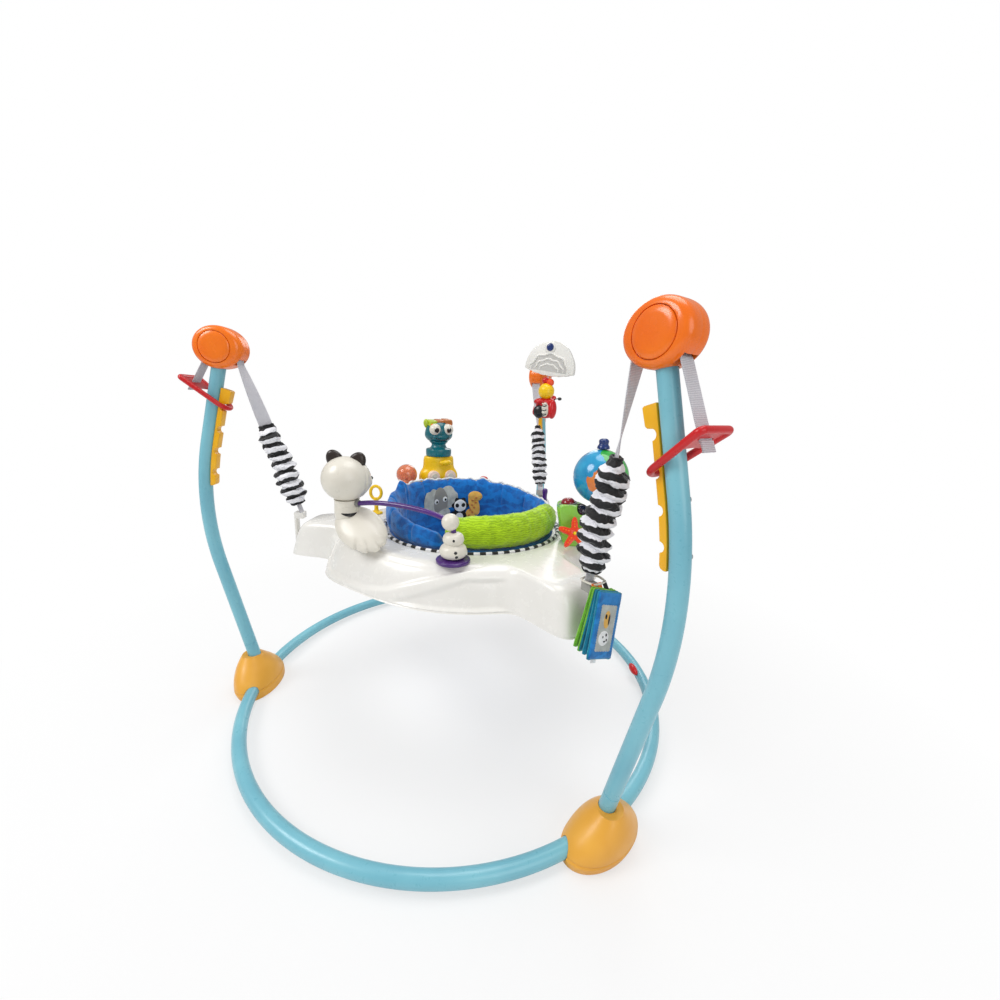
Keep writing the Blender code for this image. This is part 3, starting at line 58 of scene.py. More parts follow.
POSTS = {"left": 210.0, "right": 330.0, "rear": 90.0}
POST_ROOT_RADIUS = 0.466
POST_ROOT_HEIGHT = 0.018
POST_LOWER_SLOPE = 0.22
POST_UPPER_SLOPE = -0.25
POST_LOWER_LENGTH = 0.27
POST_BEND_RADIUS = 0.6
POST_TOP_HEIGHT = 0.712
SEAM_HEIGHT = 0.088
GAP = 0.0003
RUNNING_GAP = 0.0008
FOOT_HALF_LENGTH = 0.073
FOOT_HALF_WIDTH = 0.045
FOOT_HEIGHT = 0.079
FOOT_SHIFT = 0.004
SOCKET_DEPTH = 0.057
HOUSING_RADIUS = 0.4765
HOUSING_HEIGHT = 0.738
HOUSING_OUTER = 0.045
HOUSING_INNER = 0.049
HOUSING_UP = 0.041
HOUSING_DOWN = 0.04
HOUSING_HALF_WIDTH = 0.0235
CAP_RADIUS = 0.029
CAP_DEPTH = 0.003
ROLLER_RADIUS = 0.014
ROLLER_INSET = 0.02
ROLLER_RISE = 0.006
STRAP_WIDTH = 0.025
STRAP_THICKNESS = 0.0018
STRAP_TWIST = {"left": 75.0, "right": -55.0, "rear": 75.0}
NOTCH_PITCH = 0.0465
NOTCH_COUNT = 4
NOTCH_RADIUS = 0.0072
RACK_TOP_HEIGHT = 0.665
RACK_BLOCK = 0.03
RACK_BLOCK_DEPTH = 0.021
RACK_DEPTH = 0.0105
RACK_HALF_WIDTH = 0.008
RACK_TAIL = 0.03
HOOP_ROD = 0.0048
HOOP_BEND = 0.019
HOOP_REACH = 0.057
HOOP_FLARE = 0.03
HOOP_CORNER = 0.0065
HOOP_TILT = 40.0
HOOP_PLATE_START = 0.022
HOOP_SLOT_AT = 0.042
HOOP_NOTCH = {"left": 0, "right": 1, "rear": 0}
HOOP_CLEARANCE = 0.0022
COVER_TOP_HEIGHT = 0.59
COVER_BOTTOM_HEIGHT = 0.421
SPRING_RADIUS = 0.011
SPRING_WIRE = 0.0014
SPRING_TURNS = 9
LINK_HALF_WIDTH = 0.0136
LINK_LENGTH = 0.014
COVER_OVERLAP = 0.014
TRAY_SHIFT = (0.03, 0.004)
TRAY_TURN = -3.7
TRAY_RADIUS = 0.285
ARM_REACH = 0.383
ARM_HALF_WIDTH = 0.056
ARM_SOFTNESS = 8.0
DECK_HEIGHT = 0.388
RIM_HEIGHT = 0.318
APRON_WIDTH = 0.036
TRAY_WALL = 0.003
SCOOP_DEPTH = 0.0052
HOLE_RADIUS = 0.187
LIP_DROP = 0.026
SEAT_RECESS = 0.008
RECESS_MARGIN = 0.0025
BRACKET_WIDTH = 0.018
BRACKET_THICKNESS = 0.004
BRACKET_EYE_HEIGHT = 0.402
SEAT_RING_RADIUS = 0.184
SEAT_RING_WALL = 0.004
SEAT_FLANGE = 0.195
SEAT_FLANGE_THICKNESS = 0.003
PAD_OUTER = 0.186
PAD_THICKNESS = 0.022
PAD_BACK_HEIGHT = 0.458
PAD_FRONT_HEIGHT = 0.387
PAD_HIGH_ANGLE = 155.0
PAD_FALL = 0.052
PAD_CORNER_ANGLE = 192.0
PAD_CORNER_RISE = 0.016
PAD_BOTTOM = 0.3
SEAT_FRONT_ANGLE = 337.0
ROLL_HALF_ANGLE = 52.0
ROLL_RADIUS = 0.0265
ROLL_HALF_HEIGHT = 0.0315
SLING_LOW = 0.232
SLING_HALF_WIDTH = 0.058
SLING_THICKNESS = 0.006
BEAD_SPOT = (0.234, 295)
PANDA_SPOT = (0.24, 238)
LOOP_SPOT = (0.236, 196)
RATTLE_SPOT = (0.236, 168.5)
BOBBLE_SPOT = (0.234, 146)
PEG_SPOT = (0.24, 71)
STATION_SPOT = (0.232, 1.5)
TOY_TURN = 29.0
PANDA_SLOPE = 50.0
PANDA_COLLAR = 0.032
PANDA_COLLAR_RADIUS = 0.0225
GLOBE_RADIUS = 0.052
GLOBE_OFFSET = (0.045, -0.006, 0.136)
PIN_RADIUS = 0.003
BAR_RADIUS = 0.0045
BOBBLE_TOP = 0.122
STATION_BUTTONS = {"red_button": ((-0.012, 0.002, 0.0795), (0, -8, 0), 0.0135),
        "purple_button": ((0.012, -0.013, 0.069), (50, 8, 0), 0.011)}
STAR_TILT = 60.0
STAR_BOSS = Vector((-0.004, -0.0225, 0.0185))
STAR_STANDOFF = 0.024
STAR_THICKNESS = 0.0084
CLOUD_AT = Vector((0.372, -0.068, 0.782))
CLOUD_TILT = 8.0
PANDA_NECK = Vector((-0.01, -0.042, 0.052))
SOCKET_RADIUS = TUBE_RADIUS + 0.0006
THREAD_PITCH = 0.0006
STRAP_BEND = ROLLER_RADIUS + GAP + STRAP_THICKNESS / 2


def ring_middle():
    """The middle of the base ring, worked out from the three strap rollers."""
    middle = Vector()
    for side in POSTS:
        low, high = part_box("strap_roller_" + side)
        middle += (low + high) / 6
    middle.z -= HOUSING_HEIGHT + ROLLER_RISE
    return middle


def spin(angle, axis="Z"):
    """A turn about an axis, in degrees."""
    return Matrix.Rotation(radians(angle), 4, axis)


MIDDLE = Matrix.Translation(ring_middle())
TRAY = MIDDLE @ Matrix.Translation((*TRAY_SHIFT, 0)) @ spin(TRAY_TURN)


def post_frame(side):
    """The frame at the ring's middle whose X points out at a post."""
    return MIDDLE @ spin(POSTS[side])


def linked(name, data):
    """A new object in the scene."""
    obj = bpy.data.objects.new(name, data)
    bpy.context.scene.collection.objects.link(obj)
    return obj


# Camera at the photograph's place

def place_camera():
    camera = linked("camera", bpy.data.cameras.new("camera"))
    camera.data.sensor_width = 36.0
    camera.data.lens = 14.875
    camera.data.clip_start = 0.01
    camera.data.clip_end = 50.0
    right = Vector((0.9027, 0.4285, 0.0389))
    forward = Vector((-0.4095, 0.8834, -0.2279))
    turn = Matrix((right, right.cross(forward), -forward)).transposed().to_4x4()
    camera.matrix_world = Matrix.Translation(ring_middle() + Vector((0.46077, -0.78046, 0.65338))) @ turn
    bpy.context.scene.camera = camera


place_camera()


# Finishes

def shade(code):
    """An sRGB hex colour as linear light."""
    out = []
    for k in (1, 3, 5):
        c = int(code[k:k + 2], 16) / 255
        out.append(c / 12.92 if c <= 0.04045 else ((c + 0.055) / 1.055) ** 2.4)
    return (*out, 1)


def node(tree, kind, inputs=(), out=0, into=None, **settings):
    """Add one node with its settings, and give back one of its outputs, linked on into a socket if one is
    named. Inputs are values, hex colours or sockets, in order or by name or number."""
    made = tree.nodes.new(kind)
    for key, value in settings.items():
        setattr(made, key, value)
    for key, value in inputs.items() if isinstance(inputs, dict) else enumerate(inputs):
        if isinstance(value, bpy.types.NodeSocket):
            tree.links.new(value, made.inputs[key])
        else:
            made.inputs[key].default_value = shade(value) if str(value).startswith("#") else value
    if into:
        tree.links.new(made.outputs[out], into)
    return made.outputs[out] if made.outputs else None


def finish(name, **sockets):
    """A new material, its tree, and its Principled shader's sockets with these values set."""
    made = bpy.data.materials.new(name)
    made.use_nodes = True
    shader = made.node_tree.nodes["Principled BSDF"].inputs
    for key, value in sockets.items():
        shader[key.replace("_", " ")].default_value = value
    return made, made.node_tree, shader


def moulded(name, dark, light, roughness=0.28, coat=0.15):
    """Injection-moulded ABS or PP: even colour with faint flow clouding and a soft orange-peel gloss."""
    made, tree, shader = finish(name, Roughness=roughness, IOR=1.49, Coat_Weight=coat, Coat_Roughness=0.12)
    place = node(tree, "ShaderNodeTexCoord", out="Object")
    # flow clouding about 60 mm across
    cloud = node(tree, "ShaderNodeTexNoise", {"Vector": place, "Scale": 16.0, "Detail": 2.0})
    cloud = node(tree, "ShaderNodeMapRange", [cloud, 0.3, 0.7])
    node(tree, "ShaderNodeMix", {0: cloud, 6: dark, 7: light}, 2, shader["Base Color"], data_type="RGBA")
    # handling smudges about 15 mm across change the gloss
    smudge = node(tree, "ShaderNodeTexNoise", {"Vector": place, "Scale": 65.0, "Detail": 4.0})
    node(tree, "ShaderNodeMapRange", [smudge, 0.3, 0.75, roughness * 0.85, roughness * 1.3],
            into=shader["Roughness"])
    # orange peel drawn 2.5 mm across, coarser than real so that it shows
    peel = node(tree, "ShaderNodeTexNoise", {"Vector": place, "Scale": 400.0, "Detail": 1.0})
    node(tree, "ShaderNodeBump", {"Height": peel, "Strength": 0.35, "Distance": 0.00004},
            into=shader["Normal"])
    return made


def woven(name, dark, light, figure=None):
    """Plain-woven cloth: crossed threads with painted shade in their gaps, crumpling and a soft sheen, with
    an optional two-tone figure.
    """
    made, tree, shader = finish(name, Roughness=0.88, Sheen_Weight=0.35, Sheen_Roughness=0.5,
            Specular_IOR_Level=0.25)
    place = node(tree, "ShaderNodeTexCoord", out="Object")
    tone = node(tree, "ShaderNodeTexNoise", {"Vector": place, "Scale": 55.0, "Detail": 5.0,
            "Roughness": 0.6})
    factor = node(tree, "ShaderNodeMapRange", [tone, 0.35, 0.68])
    if figure:
        factor = node(tree, "ShaderNodeMath", [factor, figure(tree, place)], operation="ADD",
                use_clamp=True)
    # threads 0.6 mm apart, drawn at twice that pitch so that they show
    threads = None
    for turn in ((0, 0, 0), (0, radians(90), 0), (radians(45), 0, radians(90))):
        laid = node(tree, "ShaderNodeMapping", {"Vector": place, "Rotation": turn})
        wave = node(tree, "ShaderNodeTexWave", {"Vector": laid, "Scale": 0.314 / (2 * THREAD_PITCH),
                "Distortion": 0.6, "Detail": 1.0}, "Fac")
        threads = node(tree, "ShaderNodeMath", [threads, wave], operation="MAXIMUM") if threads else wave
    # painted shade: the colour darkens by up to 18 per cent in the gaps between threads
    groove = node(tree, "ShaderNodeMapRange", [threads, 0, 1, 0.82, 1])
    factor = node(tree, "ShaderNodeMath", [factor, groove], operation="MULTIPLY")
    node(tree, "ShaderNodeMix", {0: factor, 6: dark, 7: light}, 2, shader["Base Color"], data_type="RGBA")
    fold = node(tree, "ShaderNodeTexNoise", {"Vector": place, "Scale": 90.0, "Detail": 5.0,
            "Roughness": 0.62})
    fold = node(tree, "ShaderNodeBump", {"Height": fold, "Strength": 0.7, "Distance": 0.001})
    node(tree, "ShaderNodeBump", {"Height": threads, "Strength": 0.5, "Distance": 0.00025, "Normal": fold},
            into=shader["Normal"])
    return made


def powder_coat():
    """Powder-coated steel tube: an even satin paint with fine orange peel and a few pale rub marks."""
    made, tree, shader = finish("powder_coated_tube", Roughness=0.3, IOR=1.5, Coat_Weight=0.25,
            Coat_Roughness=0.18)
    place = node(tree, "ShaderNodeTexCoord", out="Object")
    cloud = node(tree, "ShaderNodeTexNoise", {"Vector": place, "Scale": 9.0, "Detail": 3.0})
    cloud = node(tree, "ShaderNodeMapRange", [cloud, 0.3, 0.7])
    paint = node(tree, "ShaderNodeMix", {0: cloud, 6: "#6FB2C4", 7: "#82C4D2"}, 2, data_type="RGBA")
    # rub marks a few millimetres long
    rub = node(tree, "ShaderNodeTexNoise", {"Vector": place, "Scale": 130.0, "Detail": 6.0,
            "Roughness": 0.7})
    mark = node(tree, "ShaderNodeMapRange", [rub, 0.7, 0.76])
    node(tree, "ShaderNodeMix", {0: mark, 6: paint, 7: "#B9DDE4"}, 2, shader["Base Color"],
            data_type="RGBA")
    node(tree, "ShaderNodeMapRange", [rub, 0.3, 0.75, 0.24, 0.42], into=shader["Roughness"])
    # orange peel drawn 2 mm across
    peel = node(tree, "ShaderNodeTexNoise", {"Vector": place, "Scale": 500.0, "Detail": 1.0})
    node(tree, "ShaderNodeBump", {"Height": peel, "Strength": 0.3, "Distance": 0.00005},
            into=shader["Normal"])
    return made


def webbing():
    """Woven polyester webbing: cross ribs and warp threads, read from the strap's own map in metres, with
    painted shade in the troughs between ribs.
    """
    made, tree, shader = finish("polyester_webbing", Roughness=0.8, Sheen_Weight=0.3, Sheen_Roughness=0.4)
    run = node(tree, "ShaderNodeUVMap", uv_map="run")
    apart = node(tree, "ShaderNodeSeparateXYZ", [run]).node.outputs
    waves = []
    # cross ribs 2.1 mm apart, and threads 1.2 mm apart across the strap
    for along, pitch in ((apart[1], 0.0021), (apart[0], 0.0012)):
        turn = node(tree, "ShaderNodeMath", [along, 2 * pi / pitch], operation="MULTIPLY")
        waves.append(node(tree, "ShaderNodeMath", [turn], operation="SINE"))
    both = node(tree, "ShaderNodeMath", waves, operation="ADD")
    factor = node(tree, "ShaderNodeMapRange", [both, -1.4, 1.2])
    # painted shade: the colour runs from a shaded grey in the troughs between ribs to a lit grey on their
    # crests, following the same waves as the bump
    node(tree, "ShaderNodeMix", {0: factor, 6: "#B4B2BD", 7: "#EFEFF3"}, 2, shader["Base Color"],
            data_type="RGBA")
    node(tree, "ShaderNodeBump", {"Height": both, "Strength": 0.6, "Distance": 0.0003},
            into=shader["Normal"])
    return made


def striped_cloth():
    """Stretch satin printed with uneven black bands about 10 mm wide, which follow the cover's gathers."""
    made, tree, shader = finish("striped_satin", Roughness=0.72, Sheen_Weight=0.35, Sheen_Roughness=0.4)
    run = node(tree, "ShaderNodeUVMap", uv_map="run")
    along = node(tree, "ShaderNodeSeparateXYZ", [run], 1)
    place = node(tree, "ShaderNodeTexCoord", out="Object")
    drift = node(tree, "ShaderNodeTexNoise", {"Vector": place, "Scale": 34.0, "Detail": 2.0})
    sway = node(tree, "ShaderNodeMapRange", [drift, 0.25, 0.75, -0.0042, 0.0042])
    along = node(tree, "ShaderNodeMath", [along, sway], operation="ADD")
    # a black and a white band together take 19.2 mm
    turn = node(tree, "ShaderNodeMath", [along, 2 * pi / 0.0192], operation="MULTIPLY")
    band = node(tree, "ShaderNodeMath", [turn], operation="SINE")
    ink = node(tree, "ShaderNodeMapRange", [band, -0.04, 0.06])
    node(tree, "ShaderNodeMix", {0: ink, 6: "#EDEDF2", 7: "#0E0E12"}, 2, shader["Base Color"],
            data_type="RGBA")
    fold = node(tree, "ShaderNodeTexNoise", {"Vector": place, "Scale": 120.0, "Detail": 4.0})
    fold = node(tree, "ShaderNodeBump", {"Height": fold, "Strength": 0.6, "Distance": 0.0011})
    # threads about 0.6 mm apart
    thread = node(tree, "ShaderNodeTexNoise", {"Vector": place, "Scale": 1600.0, "Detail": 1.0})
    node(tree, "ShaderNodeBump", {"Height": thread, "Strength": 0.3, "Distance": 0.0001, "Normal": fold},
            into=shader["Normal"])
    return made


def water_figure(tree, place):
    """A tone-on-tone print of soft ripples about 25 mm across."""
    wave = node(tree, "ShaderNodeTexWave", {"Vector": place, "Scale": 12.5, "Distortion": 9.0,
            "Detail": 3.0, "Detail Scale": 2.0}, "Fac", bands_direction="Z")
    return node(tree, "ShaderNodeMapRange", [wave, 0.62, 0.82, 0, 0.55])


def reed_figure(tree, place):
    """Fine wavy lines about 4 mm apart, printed lighter and darker."""
    wave = node(tree, "ShaderNodeTexWave", {"Vector": place, "Scale": 78.0, "Distortion": 7.0,
            "Detail": 3.0, "Detail Scale": 1.4}, "Fac", bands_direction="Z")
    return node(tree, "ShaderNodeMapRange", [wave, 0.25, 0.75, -0.35, 0.45])


def dashed_piping():
    """Black and white piping: 54 pairs of dashes 11 mm long, counted round the seat's middle."""
    made, tree, shader = finish("dashed_piping", Roughness=0.75, Sheen_Weight=0.3)
    centre = TRAY.translation
    place = node(tree, "ShaderNodeTexCoord", out="Object")
    centred = node(tree, "ShaderNodeMapping", {"Vector": place, "Location": (-centre.x, -centre.y, 0)})
    bearing = node(tree, "ShaderNodeTexGradient", [centred], "Fac", gradient_type="RADIAL")
    turn = node(tree, "ShaderNodeMath", [bearing, 54], operation="MULTIPLY")
    part = node(tree, "ShaderNodeMath", [turn], operation="FRACT")
    ink = node(tree, "ShaderNodeMath", [part, 0.5], operation="GREATER_THAN")
    node(tree, "ShaderNodeMix", {0: ink, 6: "#E9E9EA", 7: "#101013"}, 2, shader["Base Color"],
            data_type="RGBA")
    grain = node(tree, "ShaderNodeTexNoise", {"Vector": place, "Scale": 700.0})
    node(tree, "ShaderNodeBump", {"Height": grain, "Strength": 0.4, "Distance": 0.0003},
            into=shader["Normal"])
    return made


def globe_print(middle):
    """Gloss blue plastic with raised-look patches in green and orange, all made-up shapes."""
    made, tree, shader = finish("printed_globe", Roughness=0.16, IOR=1.49, Coat_Weight=0.4,
            Coat_Roughness=0.06)
    place = node(tree, "ShaderNodeTexCoord", out="Object")
    centred = node(tree, "ShaderNodeMapping", {"Vector": place, "Location": tuple(-c for c in middle)})
    edge = node(tree, "ShaderNodeTexNoise", {"Vector": centred, "Scale": 42.0, "Detail": 3.0,
            "Roughness": 0.5})
    edge = node(tree, "ShaderNodeMapRange", [edge, 0.2, 0.8, -0.014, 0.014])
    tone = node(tree, "ShaderNodeMapRange", [edge, -0.01, 0.01])
    ground = node(tree, "ShaderNodeMix", {0: tone, 6: "#1487BC", 7: "#2FA3D0"}, 2, data_type="RGBA")
    tone = node(tree, "ShaderNodeMapRange", [edge, -0.008, 0.008])
    green = node(tree, "ShaderNodeMix", {0: tone, 6: "#1F9A2E", 7: "#3CBF4A"}, 2, data_type="RGBA")
    amber = node(tree, "ShaderNodeMix", {0: tone, 6: "#D9772B", 7: "#EE9444"}, 2, data_type="RGBA")
    # five made-up lands, each a ragged disc 40 to 60 mm wide
    land = None
    for spot, wide, tint in (((0.03, -0.012, 0.041), 0.031, green), ((0.05, -0.004, 0.013), 0.022, green),
            ((0.012, -0.05, -0.004), 0.02, amber), ((-0.035, 0.02, 0.03), 0.024, green),
            ((0.02, 0.04, -0.026), 0.026, amber)):
        near = node(tree, "ShaderNodeVectorMath", [centred, spot], "Value", operation="DISTANCE")
        near = node(tree, "ShaderNodeMath", [near, edge], operation="ADD")
        inside = node(tree, "ShaderNodeMapRange", [near, wide + 0.0006, wide - 0.0006])
        ground = node(tree, "ShaderNodeMix", {0: inside, 6: ground, 7: tint}, 2, data_type="RGBA")
        land = node(tree, "ShaderNodeMath", [land, inside], operation="MAXIMUM") if land else inside
    tree.links.new(ground, shader["Base Color"])
    node(tree, "ShaderNodeBump", {"Height": land, "Strength": 0.4, "Distance": 0.0004},
            into=shader["Normal"])
    return made


def clear_tinted(name, code, roughness):
    """Tinted translucent plastic, as on a rattle or a lamp dome, with a soft swirl from the mould."""
    made, tree, shader = finish(name, Roughness=roughness, IOR=1.49, Transmission_Weight=0.45,
            Base_Color=shade(code), Coat_Weight=0.6, Coat_Roughness=0.05)
    place = node(tree, "ShaderNodeTexCoord", out="Object")
    swirl = node(tree, "ShaderNodeTexNoise", {"Vector": place, "Scale": 90.0, "Detail": 3.0})
    node(tree, "ShaderNodeBump", {"Height": swirl, "Strength": 0.25, "Distance": 0.0004},
            into=shader["Normal"])
    return made


def plated(name, code, roughness):
    """Zinc-plated steel with fine wire-drawing marks."""
    made, tree, shader = finish(name, Roughness=roughness, Metallic=1.0, Base_Color=shade(code))
    place = node(tree, "ShaderNodeTexCoord", out="Object")
    mark = node(tree, "ShaderNodeTexNoise", {"Vector": place, "Scale": 500.0, "Detail": 3.0})
    node(tree, "ShaderNodeMapRange", [mark, 0.3, 0.7, roughness * 0.7, roughness * 1.5],
            into=shader["Roughness"])
    return made


PAINT = powder_coat()
AMBER = moulded("amber_polypropylene", "#E6A437", "#F1B246", 0.34, 0.1)
ORANGE = moulded("orange_abs", "#F26A02", "#FA7A08", 0.24, 0.2)
YELLOW = moulded("yellow_abs", "#F7C604", "#FDD10C", 0.28, 0.15)
RACK_YELLOW = moulded("yellow_nylon", "#EFAE06", "#F7BA0E", 0.34, 0.1)
RED = moulded("red_abs", "#C00A12", "#D0131A", 0.3, 0.08)
WHITE = moulded("white_gloss_abs", "#E9E7E1", "#ECEAE5", 0.24, 0.25)
TOY_WHITE = moulded("white_toy_abs", "#DDD8CB", "#E4DFD3", 0.3, 0.15)
GREY = moulded("pale_grey_nylon", "#BFBDB8", "#CBC9C5", 0.4, 0.05)
STEEL_GREY = moulded("grey_bracket_nylon", "#9B9995", "#A8A6A1", 0.42, 0.0)
SHADE_GREY = moulded("grey_nylon", "#7E7D7A", "#8B8A86", 0.45, 0.0)
DARK = moulded("dark_brown_abs", "#221814", "#31241E", 0.35, 0.1)
BLACK = moulded("black_abs", "#0D0D10", "#17171B", 0.25, 0.2)
PURPLE = moulded("purple_abs", "#3F1768", "#52227F", 0.24, 0.3)
TEAL = moulded("teal_abs", "#07606C", "#0C7480", 0.26, 0.2)
STATION_GREEN = moulded("green_abs", "#86C944", "#97D655", 0.26, 0.2)
AQUA = moulded("aqua_abs", "#12868C", "#1C9DA0", 0.26, 0.2)
NAVY = moulded("navy_abs", "#0A2560", "#123478", 0.2, 0.4)
CORAL = moulded("coral_abs", "#E02A12", "#F4501C", 0.26, 0.2)
TAN = moulded("tan_abs", "#B5692C", "#C97B3A", 0.3, 0.1)
LIME_TOY = moulded("lime_abs", "#A9BE2A", "#BFD23C", 0.28, 0.1)
PINK = moulded("pale_pink_abs", "#F3D3C4", "#FBE3D8", 0.28, 0.1)
STEEL = plated("zinc_plated_steel", "#B4B6B8", 0.3)
WEB = webbing()
STRIPES = striped_cloth()
BLUE_CLOTH = woven("blue_plain_weave", "#04509C", "#0A78CC", figure=water_figure)
GREEN_CLOTH = woven("green_plain_weave", "#8DB406", "#B6DE1E", figure=reed_figure)
WHITE_CLOTH = woven("white_binding", "#DCDCDD", "#F4F4F2")
GREY_CLOTH = woven("grey_felt", "#A3A6A2", "#C8CAC3")
BLACK_CLOTH = woven("black_felt", "#0E0F12", "#1D1E22")
TAN_CLOTH = woven("tan_felt", "#D9A349", "#EDBE63")
TEAL_CLOTH = woven("teal_cloth", "#0C6E8C", "#1795AE")
LIME_CLOTH = woven("lime_cloth", "#5FA92A", "#86C83C")
BOOK_BLUE = woven("blue_book_cloth", "#0F63A4", "#2485CC", figure=water_figure)
ORANGE_CLOTH = woven("orange_cloth", "#E0661A", "#F98A2F")
PIPING = dashed_piping()
RATTLE_CLEAR = clear_tinted("orange_clear", "#F28E62", 0.14)
RED_CLEAR = clear_tinted("red_clear", "#B4202A", 0.08)
PLUM_CLEAR = clear_tinted("plum_clear", "#2C1838", 0.08)


# Mesh making

def turns(count):
    """Angles evenly apart once round."""
    return [2 * pi * k / count for k in range(count)]


def skin(rings, loop=False, flat_ends=True, uv_step=None):
    """Join rings of points into a skin, closed round each ring, with flat ends or end to end."""
    mesh = bmesh.new()
    made = [[mesh.verts.new(p) for p in ring] for ring in rings]
    layer = mesh.loops.layers.uv.new("run") if uv_step else None
    count = len(made)
    for i in range(count if loop else count - 1):
        a = made[i]
        b = made[(i + 1) % count]
        n = max(len(a), len(b))
        if len(a) == 1 and len(b) == 1:
            continue
        for k in range(n):
            m = (k + 1) % n
            if len(a) == 1:
                mesh.faces.new((a[0], b[k], b[m]))
            elif len(b) == 1:
                mesh.faces.new((a[k], b[0], a[m]))
            else:
                face = mesh.faces.new((a[k], b[k], b[m], a[m]))
                if layer:
                    for corner, (u, v) in zip(face.loops, ((k, i), (k, i + 1), (k + 1, i + 1), (k + 1, i))):
                        corner[layer].uv = (u * uv_step[0], v * uv_step[1])
    if not loop and flat_ends:
        for ring in (made[0], made[-1]):
            if len(ring) > 1:
                mesh.faces.new(ring)
    return mesh


def turned(profile, sides=48, loop=False):
    """Turn a profile of (radius, height) points about Z."""
    rings = []
    for radius, height in profile:
        angles = turns(sides) if radius >= 1e-6 else (0,)
        rings.append([Vector((radius * cos(a), radius * sin(a), height)) for a in angles])
    return skin(rings, loop)


def ball(radius=1.0, sides=40, rows=22):
    rise = [-pi / 2 + pi * k / rows for k in range(rows + 1)]
    return turned([(radius * cos(a), radius * sin(a)) for a in rise], sides)


def smooth_line(points, steps=6, loop=False):
    """A rounded line through points of any dimension, closer than the points themselves."""
    points = [Vector(p) for p in points]
    count = len(points)
    out = []
    for i in range(count if loop else count - 1):
        near = [i + k for k in (-1, 0, 1, 2)]
        a, b, c, d = (points[k % count if loop else max(0, min(count - 1, k))] for k in near)
        for s in range(steps):
            t = s / steps
            out.append(0.5 * ((2 * b) + (c - a) * t + (2 * a - 5 * b + 4 * c - d) * t * t
                    + (3 * b - a - 3 * c + d) * t ** 3))
    if not loop:
        out.append(points[-1])
    return out


def squared(way, run):
    """A way turned square to a run."""
    return (way - run * way.dot(run)).normalized()


def rod(points, radius, sides=24):
    """A round bar along a line of points, whose radius may change point by point."""
    points = [Vector(p) for p in points]
    count = len(points)
    radii = radius if isinstance(radius, list) else [radius] * count
    side = Vector((1, 0, 0))
    first = (points[1] - points[0]).normalized().cross(Vector((0, 0, 1)))
    if first.length > 0.1:
        side = first
    rings = []
    for i, (point, r) in enumerate(zip(points, radii)):
        head = (points[min(i + 1, count - 1)] - points[max(i - 1, 0)]).normalized()
        side = squared(side, head)
        over = head.cross(side)
        rings.append([point + side * (r * cos(a)) + over * (r * sin(a)) for a in turns(sides)])
    return skin(rings)


def slab(outline, half_width):
    """A flat outline in X and Z, given thickness both ways along Y."""
    return skin([[Vector((x, y, z)) for x, z in outline] for y in (-half_width, half_width)])


def plate(outline, low, high):
    """A flat outline in X and Y, standing between two heights."""
    return skin([[Vector((x, y, z)) for x, y in outline] for z in (low, high)])


def oblong(x0, x1, y0, y1):
    """The outline of a rectangle."""
    return [(x0, y0), (x1, y0), (x1, y1), (x0, y1)]


def arc(centre, radius, start, stop, steps):
    """Points along part of a circle, between two angles in degrees."""
    angles = [radians(start + (stop - start) * k / steps) for k in range(steps + 1)]
    return [(centre[0] + radius * cos(a), centre[1] + radius * sin(a)) for a in angles]


def moved(mesh, at=(0, 0, 0), turn=(0, 0, 0), size=(1, 1, 1)):
    """Scale, turn and shift a bmesh."""
    matrix = Matrix.Translation(Vector(at))
    for angle, axis in zip(reversed(turn), "ZYX"):
        matrix = matrix @ spin(angle, axis)
    return carried(mesh, matrix @ Matrix.Diagonal((*size, 1)))


def carried(mesh, matrix):
    """Carry a bmesh by a frame."""
    bmesh.ops.transform(mesh, matrix=matrix, verts=mesh.verts)
    return mesh


def facing(spot, way):
    """A frame at a spot whose Z points along a way."""
    return Matrix.Translation(spot) @ way.to_track_quat("Z", "Y").to_matrix().to_4x4()


def plain_mesh(obj):
    """A new mesh of an object as its modifiers leave it."""
    return bpy.data.meshes.new_from_object(obj.evaluated_get(bpy.context.evaluated_depsgraph_get()))


def worked(mesh, operation, *tools):
    """Cut a body with tools, or join them to it."""
    objects = []
    for body in (mesh, *tools):
        bmesh.ops.recalc_face_normals(body, faces=body.faces)
        data = bpy.data.meshes.new("work")
        body.to_mesh(data)
        body.free()
        objects.append(linked("work", data))
    for tool in objects[1:]:
        step = objects[0].modifiers.new("step", "BOOLEAN")
        step.operation = operation
        step.solver = "EXACT"
        step.object = tool
    done = plain_mesh(objects[0])
    result = bmesh.new()
    result.from_mesh(done)
    for data in (done, *[obj.data for obj in objects]):
        bpy.data.meshes.remove(data)
    return result


def smoothed(obj, sharp):
    """Work an object's modifiers into its mesh, and shade it smooth except at sharp edges."""
    if obj.modifiers:
        rough = obj.data
        obj.data = plain_mesh(obj)
        obj.modifiers.clear()
        bpy.data.meshes.remove(rough)
        obj.data.name = obj.name
    obj.data.shade_smooth()
    obj.data.set_sharp_from_angle(angle=radians(sharp))
    return obj


def dressed(name, mesh, material, body, place=None, stands_for=(), sharp=40.0, bevel=0.0, wall=0.0):
    """Finish a bmesh as a smooth piece at the origin that rides on a body."""
    if place is not None:
        carried(mesh, place)
    bmesh.ops.remove_doubles(mesh, verts=mesh.verts, dist=1e-6)
    bmesh.ops.recalc_face_normals(mesh, faces=mesh.faces)
    data = bpy.data.meshes.new(name)
    mesh.to_mesh(data)
    mesh.free()
    obj = linked(name, data)
    data.materials.append(material)
    if wall:
        step = obj.modifiers.new("wall", "SOLIDIFY")
        step.thickness = wall
        step.offset = 0.0
    if bevel:
        step = obj.modifiers.new("soft_edge", "BEVEL")
        step.width = bevel
        step.segments = 3
        step.limit_method = "ANGLE"
        step.angle_limit = radians(35)
    return settle(smoothed(obj, sharp), body, stands_for)


